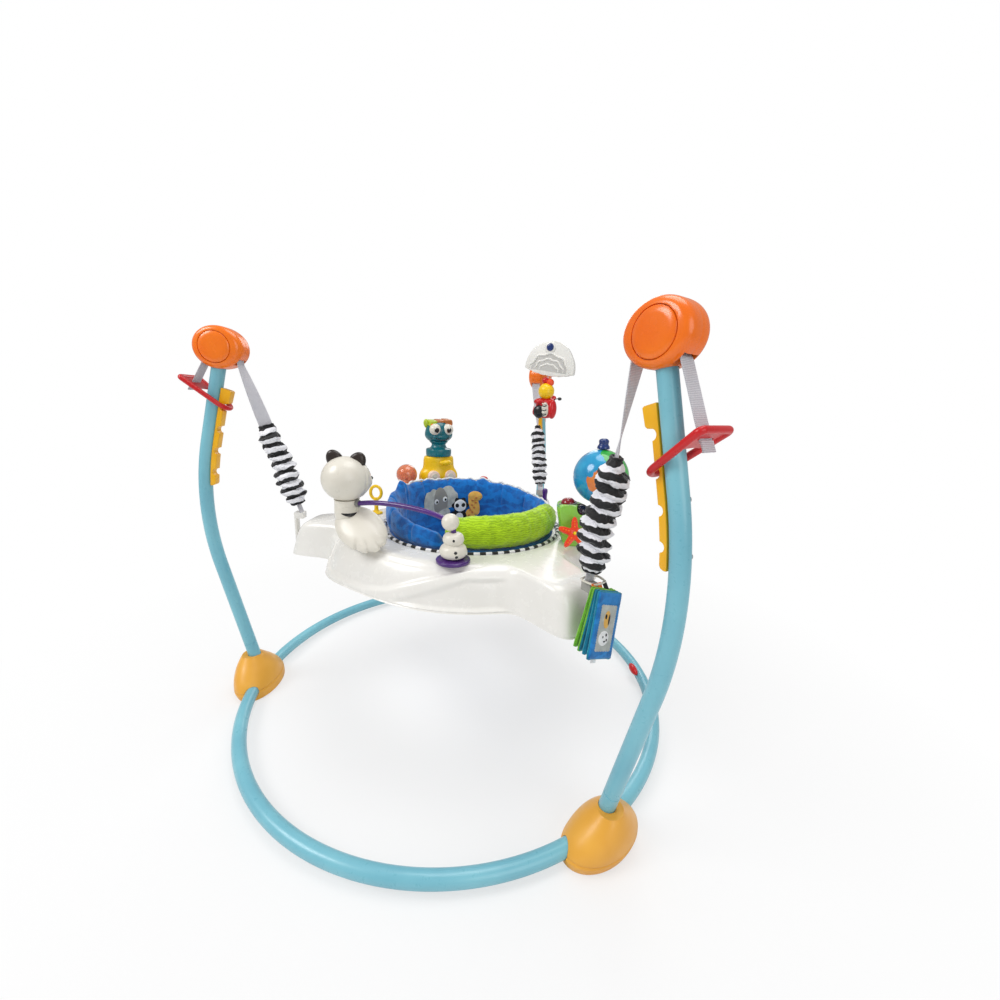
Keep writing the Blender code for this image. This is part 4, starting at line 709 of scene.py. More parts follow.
def settle(obj, body, stands_for=()):
    """Tie a piece to its body, or, for a piece between two bodies, bake its place into its mesh, and let it
    stand for CAD nodes.
    """
    if isinstance(body, str):
        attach(obj, body)
    elif body:
        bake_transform(obj)
    if stands_for:
        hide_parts(*stands_for)
    return obj


# Trees that make what follows a line or repeats

def new_tree(name, **inputs):
    """A geometry tree with named inputs: a number, a whole number, or a material."""
    tree = bpy.data.node_groups.new(name, "GeometryNodeTree")
    tree.interface.new_socket("Geometry", in_out="INPUT", socket_type="NodeSocketGeometry")
    for key, value in inputs.items():
        kind = {float: "NodeSocketFloat", int: "NodeSocketInt", str: "NodeSocketMaterial"}[type(value)]
        socket = tree.interface.new_socket(key, in_out="INPUT", socket_type=kind)
        if kind != "NodeSocketMaterial":
            socket.default_value = value
    tree.interface.new_socket("Geometry", in_out="OUTPUT", socket_type="NodeSocketGeometry")
    return tree, node(tree, "NodeGroupInput").node.outputs


def end_tree(tree, geometry, given):
    """Close a tree: real meshes only, in one finish."""
    real = node(tree, "GeometryNodeRealizeInstances", [geometry])
    painted = node(tree, "GeometryNodeSetMaterial", {"Geometry": real, "Material": given["Finish"]})
    node(tree, "NodeGroupOutput", [painted])
    return tree


def swept_bar_tree():
    """A round bar swept along the given line."""
    tree, given = new_tree("swept_bar", Radius=0.01, Sides=32, Finish="")
    line = node(tree, "GeometryNodeMeshToCurve", [given["Geometry"]])
    circle = node(tree, "GeometryNodeCurvePrimitiveCircle", {"Resolution": given["Sides"],
            "Radius": given["Radius"]})
    bar = node(tree, "GeometryNodeCurveToMesh", {"Curve": line, "Profile Curve": circle, "Fill Caps": True})
    return end_tree(tree, bar, given)


def stitch_tree():
    """A row of thread stitches laid along the given line."""
    tree, given = new_tree("stitch_row", Pitch=0.004, Length=0.0026, Thickness=0.0005, Finish="")
    line = node(tree, "GeometryNodeMeshToCurve", [given["Geometry"]])
    marks = node(tree, "GeometryNodeCurveToPoints", {"Curve": line, "Length": given["Pitch"]},
            mode="LENGTH")
    thread = node(tree, "GeometryNodeMeshCylinder", {"Vertices": 6, "Radius": given["Thickness"],
            "Depth": given["Length"]})
    laid = node(tree, "GeometryNodeInstanceOnPoints", {"Points": marks, "Instance": thread,
            "Rotation": marks.node.outputs["Rotation"]})
    return end_tree(tree, laid, given)


def screw_tree():
    """A pan-head screw with a cross recess at each given point, standing along the point's own normal."""
    tree, given = new_tree("screw_set", Head=0.0034, Finish="")
    head = node(tree, "GeometryNodeMeshUVSphere", {"Segments": 20, "Rings": 10, "Radius": given["Head"]})
    flat = node(tree, "GeometryNodeTransform", {"Geometry": head, "Scale": (1, 1, 0.42)})
    cross = node(tree, "GeometryNodeJoinGeometry")
    for size in ((0.0042, 0.0008, 0.0012), (0.0008, 0.0042, 0.0012)):
        bar = node(tree, "GeometryNodeMeshCube", {"Size": size})
        node(tree, "GeometryNodeTransform", {"Geometry": bar, "Translation": (0, 0, 0.0016)},
                into=cross.node.inputs[0])
    cut = node(tree, "GeometryNodeMeshBoolean", [flat, cross], operation="DIFFERENCE")
    stands = node(tree, "GeometryNodeInputNamedAttribute", {"Name": "stands"}, data_type="FLOAT_VECTOR")
    turn = node(tree, "FunctionNodeAlignRotationToVector", {"Vector": stands}, axis="Z")
    laid = node(tree, "GeometryNodeInstanceOnPoints", {"Points": given["Geometry"], "Instance": cut,
            "Rotation": turn})
    return end_tree(tree, laid, given)


def grown(name, tree, points, body, stands_for=(), closed=False, normals=None, **inputs):
    """Run a tree on a line or a set of points, and settle its plain mesh on a body."""
    edges = [(i, i + 1) for i in range(len(points) - 1)]
    if closed:
        edges.append((len(points) - 1, 0))
    data = bpy.data.meshes.new(name)
    data.from_pydata(points, [] if normals else edges, [])
    if normals:
        stands = data.attributes.new("stands", "FLOAT_VECTOR", "POINT")
        for spot, normal in zip(stands.data, normals):
            spot.vector = normal
    obj = linked(name, data)
    step = obj.modifiers.new("grow", "NODES")
    step.node_group = tree
    for item in tree.interface.items_tree:
        if item.item_type == "SOCKET" and item.in_out == "INPUT" and item.name in inputs:
            step[item.identifier] = inputs[item.name]
    obj.update_tag()
    return settle(smoothed(obj, 40), body, stands_for)


BAR = swept_bar_tree()
STITCH = stitch_tree()
SCREW = screw_tree()


def all_at(place, points):
    """Carry points by a frame."""
    return [place @ Vector(p) for p in points]


def polar(distance, bearing, height=0.0):
    """The point at a distance and a bearing in degrees from the middle."""
    a = radians(bearing)
    return Vector((distance * cos(a), distance * sin(a), height))


def ease(x):
    """A soft step from 0 to 1."""
    x = min(1.0, max(0.0, x))
    return x * x * (3 - 2 * x)


def bell(x, width):
    """A bump of height 1 that fades away on both sides of nought."""
    return exp(-(x / width) ** 2)


def turn_between(bearing, other):
    """The angle from one bearing to another, between -180 and 180 degrees."""
    return (bearing - other + 180) % 360 - 180


# Bowed centre line of a post

LOW_LEAN = atan(POST_LOWER_SLOPE)
HIGH_LEAN = atan(POST_UPPER_SLOPE)
BEND_START = POST_LOWER_LENGTH
BEND_LENGTH = POST_BEND_RADIUS * (LOW_LEAN - HIGH_LEAN)


def post_at(s):
    """Radius, height and outward lean at a distance along the post."""
    r = POST_ROOT_RADIUS + min(s, BEND_START) * sin(LOW_LEAN)
    h = POST_ROOT_HEIGHT + min(s, BEND_START) * cos(LOW_LEAN)
    lean = LOW_LEAN
    if s > BEND_START:
        lean = LOW_LEAN - (min(s, BEND_START + BEND_LENGTH) - BEND_START) / POST_BEND_RADIUS
        r += POST_BEND_RADIUS * (cos(lean) - cos(LOW_LEAN))
        h += POST_BEND_RADIUS * (sin(LOW_LEAN) - sin(lean))
    if s > BEND_START + BEND_LENGTH:
        rest = s - BEND_START - BEND_LENGTH
        r += rest * sin(HIGH_LEAN)
        h += rest * cos(HIGH_LEAN)
    return r, h, lean


def post_distance(height):
    """The distance along the post at which it reaches a height."""
    low, high = -0.1, 2
    for _ in range(50):
        mid = (low + high) / 2
        if post_at(mid)[1] < height:
            low = mid
        else:
            high = mid
    return (low + high) / 2


def beside_post(s, inward, across=0.0):
    """A point beside the post: so far inward from its centre line and so far across."""
    r, h, lean = post_at(s)
    return Vector((r - inward * cos(lean), across, h + inward * sin(lean)))


SEAM_S = post_distance(SEAM_HEIGHT)
TOP_S = post_distance(POST_TOP_HEIGHT)


def ring_line(start, steps):
    """The centre line of one bent tube of the base ring."""
    inset = degrees((FOOT_HALF_LENGTH - SOCKET_DEPTH) / RING_RADIUS)
    return [polar(RING_RADIUS, start + inset + (120.0 - 2 * inset) * k / steps) for k in range(steps + 1)]


# Base ring, feet, posts

def make_ring():
    for side, name in (("left", "front"), ("right", "right"), ("rear", "left")):
        line = all_at(MIDDLE, ring_line(POSTS[side], 96))
        grown("dressed_ring_" + name, BAR, line, "frame", ["ring_tube_" + name], Radius=TUBE_RADIUS,
                Sides=48, Finish=PAINT)


def foot_shell():
    """A tent-shaped foot with a parting groove low down, not yet cut for its three sockets."""
    shares = [(0, 0.92, 0.9), (0.05, 0.97, 0.98), (0.25, 1, 1), (0.46, 0.87, 0.95), (0.67, 0.66, 0.82),
            (0.86, 0.44, 0.62), (1, 0.29, 0.43)]
    rings = []
    for level, along, out in smooth_line(shares, 14):
        z = -RING_HEIGHT + FOOT_HEIGHT * max(0.0, level)
        groove = 0.0016 * bell(level - 0.255, 0.017)
        skirt = 0.0009 if level < 0.255 else 0.0
        lean = (z + RING_HEIGHT) * POST_LOWER_SLOPE
        ring = []
        for a in turns(72):
            x = RING_RADIUS + FOOT_SHIFT + lean + (FOOT_HALF_WIDTH * out - groove + skirt * 0.5
                    - 0.0004) * cos(a)
            y = (FOOT_HALF_LENGTH * along - groove + skirt - 0.0004) * sin(a)
            ring.append(Vector((x, y, z)))
        rings.append(ring)
    top = rings[-1]
    middle = sum(top, Vector()) / len(top)
    rings.append([p + (middle - p) * 0.12 + Vector((0, 0, -0.0004)) for p in top])
    return skin(rings)


def make_feet():
    for side in POSTS:
        lines = [[beside_post(s, 0.0) for s in (0, 0.12)], ring_line(0.0, 96)[:16],
                ring_line(-120.0, 96)[-16:]]
        shell = worked(foot_shell(), "DIFFERENCE", *[rod(line, SOCKET_RADIUS, 48) for line in lines])
        dressed("dressed_foot_" + side, shell, AMBER, "frame", post_frame(side), ["foot_" + side], sharp=50)
        low = -RING_HEIGHT
        for n, y in enumerate((-0.034, 0.034)):
            pad = turned([(0, low), (0.0085, low), (0.0085, low + 0.0016), (0, low + 0.0016)], 32)
            pad = moved(pad, at=(RING_RADIUS + FOOT_SHIFT, y, 0))
            dressed("foot_pad_%s_%d" % (side, n + 1), pad, SHADE_GREY, "frame", post_frame(side))


def make_posts():
    """Two lengths of tube with a crimped joint above the foot, and the screws that hold the rack."""
    for side in POSTS:
        offsets = (-0.002, -0.0012, -0.0007, 0.0007, 0.0012, 0.002)
        dips = (0, 0, 0.0009, 0.0009, 0, 0)
        marks = [(0, 0)] + [(SEAM_S + d, dip) for d, dip in zip(offsets, dips)]
        start = SEAM_S + 0.004
        marks += [(start + (TOP_S - start) * k / 90, 0) for k in range(91)]
        line = [beside_post(s, 0.0) for s, _ in marks]
        radii = [TUBE_RADIUS - dip for _, dip in marks]
        dressed("dressed_post_" + side, rod(line, radii, 48), PAINT, "frame", post_frame(side),
                ["post_" + side])
        spots = []
        normals = []
        first = post_distance(RACK_TOP_HEIGHT)
        lean_out = radians(38 if side != "left" else -38)
        for s in (first - 0.052, first - 0.118, first - 0.185):
            lean = post_at(s)[2]
            out = Vector((cos(lean) * cos(lean_out), sin(lean_out), -sin(lean) * cos(lean_out)))
            spots.append(post_frame(side) @ (beside_post(s, 0.0) + out * (TUBE_RADIUS - 0.0001)))
            normals.append(post_frame(side).to_3x3() @ out)
        grown("rack_screws_" + side, SCREW, spots, "frame", normals=normals, Head=0.003, Finish=STEEL)


# Strap housings

def housing_edge(a):
    """The housing's edge at an angle: four quarter ellipses."""
    return (cos(a) * (HOUSING_OUTER if cos(a) > 0 else HOUSING_INNER),
            sin(a) * (HOUSING_UP if sin(a) > 0 else HOUSING_DOWN))


def housing_mouths():
    """The hollow that lets the strap in past the hoop side, over the roller and out."""
    run = ROLLER_RADIUS + STRAP_THICKNESS + 0.005
    x = -ROLLER_INSET
    z = ROLLER_RISE
    inner_wall = x - run
    outer_wall = HOUSING_OUTER - 0.009
    deep = -HOUSING_DOWN - 0.01
    post_head = POST_TOP_HEIGHT - HOUSING_HEIGHT
    socket_wall = TUBE_RADIUS + 0.0095
    outline = [(inner_wall, deep)]
    outline += arc((x, z), run, 180, 90, 10)
    outline += [(HOUSING_OUTER * 0.35, z + run * 0.6), (outer_wall, -0.006), (outer_wall, deep)]
    outline += [(socket_wall, deep), (socket_wall, post_head + 0.0035)]
    outline += [(x + run, post_head + 0.014), (x + run - 0.004, z - run * 0.75)]
    outline += [(inner_wall + 0.012, z - run * 0.95), (inner_wall + 0.012, deep)]
    return slab(outline, STRAP_WIDTH / 2 + 0.001)


def make_housings():
    """Two moulded halves round the roller, a thin parting line, and a domed round cap on each side."""
    shift = Vector((HOUSING_RADIUS, 0, HOUSING_HEIGHT))
    for side in POSTS:
        rings = []
        for k in range(25):
            level = -1 + 2 * k / 24
            share = 0.8 + 0.2 * (1 - abs(level) ** 5.0)
            if abs(level) > 0.999:
                share = 0.795
            groove = 0.01 if k == 12 else 0.0
            edge = [housing_edge(a) for a in turns(96)]
            rings.append([Vector((x * (share - groove), HOUSING_HALF_WIDTH * level, z * (share - groove)))
                    for x, z in edge])
        socket = rod([beside_post(s, 0.0) - shift for s in (TOP_S - 0.08, TOP_S)], SOCKET_RADIUS, 48)
        recesses = []
        for way in (1, -1):
            floor = HOUSING_HALF_WIDTH - CAP_DEPTH - GAP
            disc = turned([(0, floor), (CAP_RADIUS + 0.0012, floor), (CAP_RADIUS + 0.0012, 0.06),
                    (0, 0.06)], 96)
            recesses.append(moved(disc, turn=(-90 * way, 0, 0)))
        shell = worked(skin(rings), "DIFFERENCE", housing_mouths(), socket, *recesses)
        place = post_frame(side) @ Matrix.Translation(shift)
        dressed("dressed_housing_" + side, shell, ORANGE, "frame", place, ["housing_" + side], sharp=38)
        for way, name in ((1, "left"), (-1, "right")):
            floor = HOUSING_HALF_WIDTH - CAP_DEPTH
            face = HOUSING_HALF_WIDTH + 0.0012
            profile = [(0, floor), (CAP_RADIUS, floor), (CAP_RADIUS, face - 0.0012),
                    (CAP_RADIUS - 0.0004, face - 0.0006), (CAP_RADIUS * 0.965, face),
                    (CAP_RADIUS * 0.7, face + 0.0007), (CAP_RADIUS * 0.35, face + 0.0011),
                    (0, face + 0.0012)]
            cap = moved(turned(profile, 96), turn=(-90 * way, 0, 0))
            stands = ["axle_cap_" + side] if way < 0 else ()
            dressed("housing_cap_%s_%s" % (side, name), cap, ORANGE, "frame", place, stands)


# Height racks and hoops

def notch_distances():
    first = post_distance(RACK_TOP_HEIGHT) - RACK_BLOCK - NOTCH_RADIUS
    return [first - NOTCH_PITCH * k for k in range(NOTCH_COUNT)]


def make_racks():
    top = post_distance(RACK_TOP_HEIGHT)
    notches = notch_distances()
    foot = notches[-1] - RACK_TAIL
    surface = TUBE_RADIUS + GAP
    crest = TUBE_RADIUS + RACK_DEPTH
    outline = [(top, surface), (top - 0.001, TUBE_RADIUS + RACK_BLOCK_DEPTH - 0.003),
            (top - 0.003, TUBE_RADIUS + RACK_BLOCK_DEPTH - 0.0005), (top - RACK_BLOCK + 0.004, TUBE_RADIUS
            + RACK_BLOCK_DEPTH - 0.002), (top - RACK_BLOCK + 0.001, TUBE_RADIUS + RACK_BLOCK_DEPTH
            - 0.005), (top - RACK_BLOCK, crest)]
    for s in notches:
        for k in range(13):
            a = radians(180 * k / 12)
            outline.append((s + NOTCH_RADIUS * cos(a), crest - NOTCH_RADIUS * 0.85 * sin(a)))
    outline += [(foot + 0.006, crest), (foot + 0.002, crest - 0.002), (foot, crest - 0.006),
            (foot, surface)]
    for k in range(1, 12):
        outline.append((foot + (top - foot) * k / 12, surface))
    for side in POSTS:
        near = [beside_post(s, d, -RACK_HALF_WIDTH) for s, d in outline]
        far = [beside_post(s, d, RACK_HALF_WIDTH) for s, d in outline]
        dressed("dressed_rack_" + side, skin([near, far]), RACK_YELLOW, "frame", post_frame(side),
                ["height_rack_" + side], bevel=0.0009)


HOOP_ALONG = cos(radians(90 - HOOP_TILT) - HIGH_LEAN)
HOOP_ACROSS = sin(radians(90 - HOOP_TILT) - HIGH_LEAN)
HOOP_INNER = (TUBE_RADIUS + RACK_DEPTH + HOOP_CLEARANCE + HOOP_ROD) / HOOP_ACROSS


def hoop_distance(side):
    return notch_distances()[HOOP_NOTCH[side]] + HOOP_INNER * HOOP_ALONG


def hoop_outline():
    """The hoop seen along the post: a round bend about the tube that flares to two corners."""
    corner = HOOP_CORNER
    return (arc((-HOOP_INNER + HOOP_BEND, 0), HOOP_BEND, 100, 260, 24)
            + arc((HOOP_REACH - corner, -HOOP_FLARE + corner), corner, 280, 350, 9)
            + arc((HOOP_REACH - corner, HOOP_FLARE - corner), corner, 10, 80, 9))


def make_hoops():
    """A thick moulded hoop with a slotted plate that thickens towards its rim."""
    for side in POSTS:
        line = [Vector((x, y, 0)) for x, y in hoop_outline()]
        count = len(line)
        rings = []
        for i in range(count):
            head = (line[(i + 1) % count] - line[i - 1]).normalized()
            over = head.cross(Vector((0, 0, 1)))
            rings.append([line[i] + over * (HOOP_ROD * cos(a)) + Vector((0, 0, HOOP_ROD * sin(a)))
                    for a in turns(20)])
        share = (HOOP_PLATE_START + HOOP_INNER - HOOP_BEND) / (HOOP_REACH - HOOP_INNER + HOOP_BEND)
        half = HOOP_BEND + (HOOP_FLARE - HOOP_BEND) * max(0.0, share)
        outer = [(x, y) for x, y in hoop_outline() if x > HOOP_PLATE_START]
        start = [(HOOP_PLATE_START + 0.002, half * 0.5), (HOOP_PLATE_START + 0.0035, 0),
                (HOOP_PLATE_START + 0.002, -half * 0.5)]
        web = plate([(HOOP_PLATE_START, -half)] + outer + [(HOOP_PLATE_START, half)] + start, -0.002, 0.002)
        slot_half = STRAP_WIDTH / 2 + 0.001
        slot = plate(oblong(HOOP_SLOT_AT - 0.0022, HOOP_SLOT_AT + 0.0022, -slot_half, slot_half), -0.02,
                0.02)
        hub = Matrix.Translation(beside_post(hoop_distance(side), 0.0))
        place = post_frame(side) @ hub @ spin(-HOOP_TILT, "Y")
        dressed("dressed_hoop_" + side, skin(rings, loop=True), RED, "hoop_" + side, place,
                ["height_hoop_" + side])
        web = worked(web, "DIFFERENCE", slot)
        dressed("hoop_plate_" + side, web, RED, "hoop_" + side, place, sharp=45)


# Straps, springs and their covers

ROLLER_AT = Vector((HOUSING_RADIUS - ROLLER_INSET, 0, HOUSING_HEIGHT + ROLLER_RISE))
INNER_EXIT = Vector((ROLLER_AT.x - STRAP_BEND, 0, HOUSING_HEIGHT - HOUSING_DOWN * 0.76))
OUTER_EXIT = Vector((HOUSING_RADIUS + HOUSING_OUTER - 0.0145, 0, HOUSING_HEIGHT - HOUSING_DOWN * 0.68))
LINK_TOP = COVER_TOP_HEIGHT - COVER_OVERLAP
LINK_BOTTOM = COVER_BOTTOM_HEIGHT + COVER_OVERLAP


def hang_line(side):
    """A strap's straight fall in its post's frame: from the housing's mouth to the tray arm's eye."""
    eye = polar(ARM_REACH - 0.004, POSTS[side], BRACKET_EYE_HEIGHT + 0.004)
    eye = spin(TRAY_TURN) @ eye + Vector((*TRAY_SHIFT, 0))
    return INNER_EXIT.copy(), spin(-POSTS[side]) @ eye


def hang_at(side, height):
    """The point at a height on a strap's straight fall."""
    top, eye = hang_line(side)
    return top + (eye - top) * ((top.z - height) / (top.z - eye.z))


def ribbon(points, across, width, thickness):
    """Flat webbing with rounded edges and a map in metres along it."""
    rings = []
    count = len(points)
    shape = [(-1, -1), (-0.6, -1), (-0.2, -1), (0.2, -1), (0.6, -1), (1, -1), (1.03, 0), (1, 1), (0.6, 1),
            (0.2, 1), (-0.2, 1), (-0.6, 1), (-1, 1), (-1.03, 0)]
    for i, (point, side) in enumerate(zip(points, across)):
        head = (points[min(i + 1, count - 1)] - points[max(i - 1, 0)]).normalized()
        side = squared(side, head)
        face = head.cross(side)
        rings.append([point + side * (width / 2 * a * 0.985) + face * (thickness / 2 * b) for a,
                b in shape])
    step = sum((points[i + 1] - points[i]).length for i in range(count - 1)) / (count - 1)
    return skin(rings, uv_step=(width / 5, step))


def even(points, spacing=0.004):
    """The same line with points evenly apart."""
    length = [0]
    for a, b in zip(points, points[1:]):
        length.append(length[-1] + (b - a).length)
    count = max(2, int(length[-1] / spacing))
    out = []
    i = 0
    for k in range(count + 1):
        s = length[-1] * k / count
        while i < len(points) - 2 and length[i + 1] < s:
            i += 1
        t = (s - length[i]) / max(1e-9, length[i + 1] - length[i])
        out.append(points[i] + (points[i + 1] - points[i]) * min(1.0, max(0.0, t)))
    return out


def make_straps():
    for side in POSTS:
        place = post_frame(side)
        middle = beside_post(hoop_distance(side), 0.0)
        tilt = radians(HOOP_TILT)
        slot = middle + Vector((HOOP_SLOT_AT * cos(tilt), 0, HOOP_SLOT_AT * sin(tilt)))
        run = (slot - OUTER_EXIT).normalized()
        tail = slot + run * 0.006
        out = OUTER_EXIT - ROLLER_AT
        meet = atan2(out.z, out.x) + acos(STRAP_BEND / hypot(out.x, out.z))
        outer = [tail, slot, OUTER_EXIT]
        over = [ROLLER_AT + Vector((STRAP_BEND * cos(meet + (pi - meet) * k / 20), 0,
                STRAP_BEND * sin(meet + (pi - meet) * k / 20))) for k in range(21)]
        half = len(over) // 2
        outer = even(outer + over[:half + 1], 0.003)
        inner = over[half:]
        falls = 40
        across = [Vector((0, 1, 0))] * len(inner)
        for k in range(falls + 1):
            inner.append(hang_at(side, INNER_EXIT.z + (LINK_TOP - INNER_EXIT.z) * k / falls))
            a = radians(STRAP_TWIST[side]) * k / falls
            across.append(Vector((sin(a), cos(a), 0)))
        flat = [Vector((0, 1, 0))] * len(outer)
        seam = place @ over[half]
        first = ribbon(outer, flat, STRAP_WIDTH, STRAP_THICKNESS)
        dressed("webbing_outer_" + side, first, WEB, ("frame", "hoop_" + side, seam, place @ slot), place)
        second = ribbon(inner, across, STRAP_WIDTH, STRAP_THICKNESS)
        dressed("webbing_inner_" + side, second, WEB, ("frame", "suspension", seam, place @ inner[-1]),
                place, ["strap_" + side])
        # the folded tail under the hoop, sewn with two rows of thread
        tail_line = [slot + run * (0.0035 + 0.001 * k) + Vector((0.0012, 0, 0)) for k in range(14)]
        dressed("webbing_tail_" + side, ribbon(tail_line, [Vector((0, 1, 0))] * 14, STRAP_WIDTH,
                STRAP_THICKNESS), WEB, "hoop_" + side, place)


def fall_frame(side, twist):
    """A strap's way down, the way across its face at a twist, and the way out of its face."""
    top, eye = hang_line(side)
    down = (eye - top).normalized()
    a = radians(twist)
    across = squared(Vector((sin(a), cos(a), 0)), down)
    return down, across, down.cross(across)


def make_springs():
    """Steel springs wound from one wire, with a wire link at each end."""
    for side in POSTS:
        down, across, out = fall_frame(side, STRAP_TWIST[side])
        top = hang_at(side, LINK_TOP) + down * (SPRING_WIRE + GAP)
        bottom = hang_at(side, LINK_BOTTOM) - down * (SPRING_WIRE + GAP)
        first = top + down * LINK_LENGTH
        last = bottom - down * LINK_LENGTH
        low = fall_frame(side, -TRAY_TURN)[1]
        near = SPRING_WIRE * 1.6
        points = smooth_line([first - across * near, top - across * LINK_HALF_WIDTH], 1)
        points += [top - across * LINK_HALF_WIDTH * 0.99 + down * 0.0005, top + across * LINK_HALF_WIDTH,
                first + across * near]
        count = SPRING_TURNS * 24
        start = first + down * 0.004
        stop = last - down * 0.004
        for k in range(count + 1):
            a = 2 * pi * k / 24
            points.append(start + (stop - start) * (k / count) + (across * cos(a)
                    + out * sin(a)) * SPRING_RADIUS)
        points += [last + low * near, bottom + low * LINK_HALF_WIDTH, bottom - low * LINK_HALF_WIDTH, last
                - low * near]
        place = post_frame(side)
        ends = ("suspension", "tray", place @ hang_at(side, LINK_TOP), place @ hang_at(side, LINK_BOTTOM))
        grown("dressed_spring_" + side, BAR, all_at(place, points), ends, ["spring_" + side],
                Radius=SPRING_WIRE, Sides=10, Finish=STEEL)


def make_covers():
    """Striped satin sleeves, cut long, gathered over the springs and drawn in to a dark knot at each end."""
    for n, side in enumerate(POSTS):
        top = hang_at(side, COVER_TOP_HEIGHT)
        bottom = hang_at(side, COVER_BOTTOM_HEIGHT)
        down, across, out = fall_frame(side, STRAP_TWIST[side])
        steps = 300
        sides = 96
        slim = {"left": 0.62, "right": 0.95, "rear": 0.55}[side]
        fuller = {"left": 0.5, "right": 0.1, "rear": 0.25}[side]
        rings = []
        for k in range(steps + 1):
            t = k / steps
            ends = ease(t / 0.17) * ease((1 - t) / 0.13)
            reach = 0.013 + 0.0028 * ease(t / 0.07) * ease((1 - t) / 0.07)
            flat = 0.5 + 0.5 * ease(t / 0.16)
            full = slim + fuller * ease((t - 0.3) / 0.3)
            bend = 0.0 if side != "right" else 0.0075 * sin(2 * pi * (t
                    - 0.05) / 0.72) * exp(-1.2 * t) - 0.0025 * ease(t / 0.3)
            ring = []
            for a in turns(sides):
                seed = Vector((cos(a) * 1.1, sin(a) * 1.1, t * 7.0 + 11.3 * n))
                slant = 1.3 * sin(a + 2.1 * n + 2.0 * t) + 1.1 * noise.noise(seed * 0.9)
                gather = sin(2 * pi * (t * 8.5) + slant * 1.5 + 1.6 * noise.noise(Vector((t * 4.0, 3.1 * n,
                        cos(a)))))
                ridge = (0.5 + 0.5 * gather) ** 0.6
                crumple = noise.noise(seed * 2.4) * 0.0024 + noise.noise(seed * 5.5
                        + Vector((0, 0, t * 30))) * 0.0013
                crumple -= 0.0016 * abs(noise.noise(seed * 3.7 + Vector((5, 0, t * 14)))) ** 0.5
                r = reach + (0.0086 * ridge * full + crumple) * ends
                r += 0.0009 * sin(9 * a + n) * (1 - ends)
                sway = Vector((noise.noise(Vector((t * 3.3, n, 0))), noise.noise(Vector((t * 3.3, n, 9))),
                        0)) * 0.0045 * ends
                shift = across * (r * cos(a) + sway.x) + out * (r * flat * sin(a) + sway.y + bend * ends)
                ring.append(top + (bottom - top) * t + shift)
            rings.append(ring)
        mesh = skin(rings, flat_ends=False, uv_step=(0.15 / sides, (top - bottom).length / steps))
        place = post_frame(side)
        body = ("suspension", "tray", place @ top, place @ bottom)
        cover = dressed("cloth_cover_" + side, mesh, STRIPES, None, place, sharp=180, wall=0.0008)
        settle(cover, body, ["spring_cover_" + side])
        for middle, deep, name in ((top + down * 0.002, 0.0068, "upper"),
                (bottom - down * 0.002, 0.013, "lower")):
            line = [middle + across * (0.013 * cos(a)) + out * (deep * sin(a))
                    + down * (0.0006 * sin(5 * a)) for a in turns(40)]
            grown("cover_knot_%s_%s" % (name, side), BAR, all_at(place, line), "suspension"
                    if name == "upper" else "tray", closed=True, Radius=0.0024, Sides=14,
                    Finish=BLACK_CLOTH)


# Tray

def tray_edge(bearing):
    """How far out the tray reaches at a bearing: a round that runs out into three arms."""
    d = radians(min((turn_between(bearing, a) for a in POSTS.values()), key=abs))
    arm = 0.0
    if abs(d) < radians(80):
        arm = ((cos(d) / ARM_REACH) ** 6 + (abs(sin(d)) / ARM_HALF_WIDTH) ** 6) ** (-1 / 6)
    return (TRAY_RADIUS ** ARM_SOFTNESS + arm ** ARM_SOFTNESS) ** (1 / ARM_SOFTNESS)


def left_swell(bearing):
    """The extra breadth of the apron beside the left arm."""
    return 0.024 * bell(turn_between(bearing, 237.0), 15.0)


def tray_bearings(count):
    """Bearings round the tray, closer together at its arms."""
    bearings = []
    for a in sorted(POSTS.values()):
        for k in range(count):
            share = -1 + 2 * (k + 0.5) / count
            bearings.append(a + 60 * (1 if share > 0 else -1) * abs(share) ** 1.4)
    return bearings


def polar_body(section, bearings):
    """A closed body from its section at each bearing."""
    return skin([[polar(d, bearing, z) for d, z in section(bearing)] for bearing in bearings], loop=True)


def skirt_points(edge, inset):
    """The apron's fall from the deck to the rim, so far inside its outer face."""
    deck = edge - APRON_WIDTH
    fall = DECK_HEIGHT - RIM_HEIGHT
    return [(deck - inset * 0.3, DECK_HEIGHT - inset), (deck + APRON_WIDTH * 0.32 - inset * 0.7, DECK_HEIGHT
            - fall * 0.09 - inset * 0.9), (deck + APRON_WIDTH * 0.62 - inset * 0.95, DECK_HEIGHT
            - fall * 0.34 - inset * 0.5), (deck + APRON_WIDTH * 0.84 - inset, DECK_HEIGHT - fall * 0.7),
            (edge - inset, RIM_HEIGHT)]


def apron_dip(bearing, share):
    """How far the two moulded scoops and the rim line sink into the apron at a share of its fall."""
    turn = (bearing - 210.0) % 120.0
    marks = [(10, 0.4), (20, 0.74), (30, 0.88), (50, 0.9), (60, 0.8), (70, 0.63), (80, 0.45), (90, 0.27),
            (98, 0.05), (120, -0.6)]
    edge = -0.6
    for (a, low), (b, high) in zip(marks, marks[1:]):
        if a <= turn <= b:
            edge = low + (high - low) * (turn - a) / (b - a)
    first = ease((turn - 8.0) / 12.0) * ease((edge - share) / 0.1) * ease((share + 0.1) / 0.3)
    top = max(0.38, edge + 0.13)
    second = ease((turn - 58.0) / 12.0) * ease((107.0 - turn) / 6.0) * ease((share - top) / 0.1)
    dip = SCOOP_DEPTH * first + SCOOP_DEPTH * 0.75 * second * ease((0.94 - share) / 0.08)
    return dip + 0.0012 * bell(share - 0.962, 0.012)


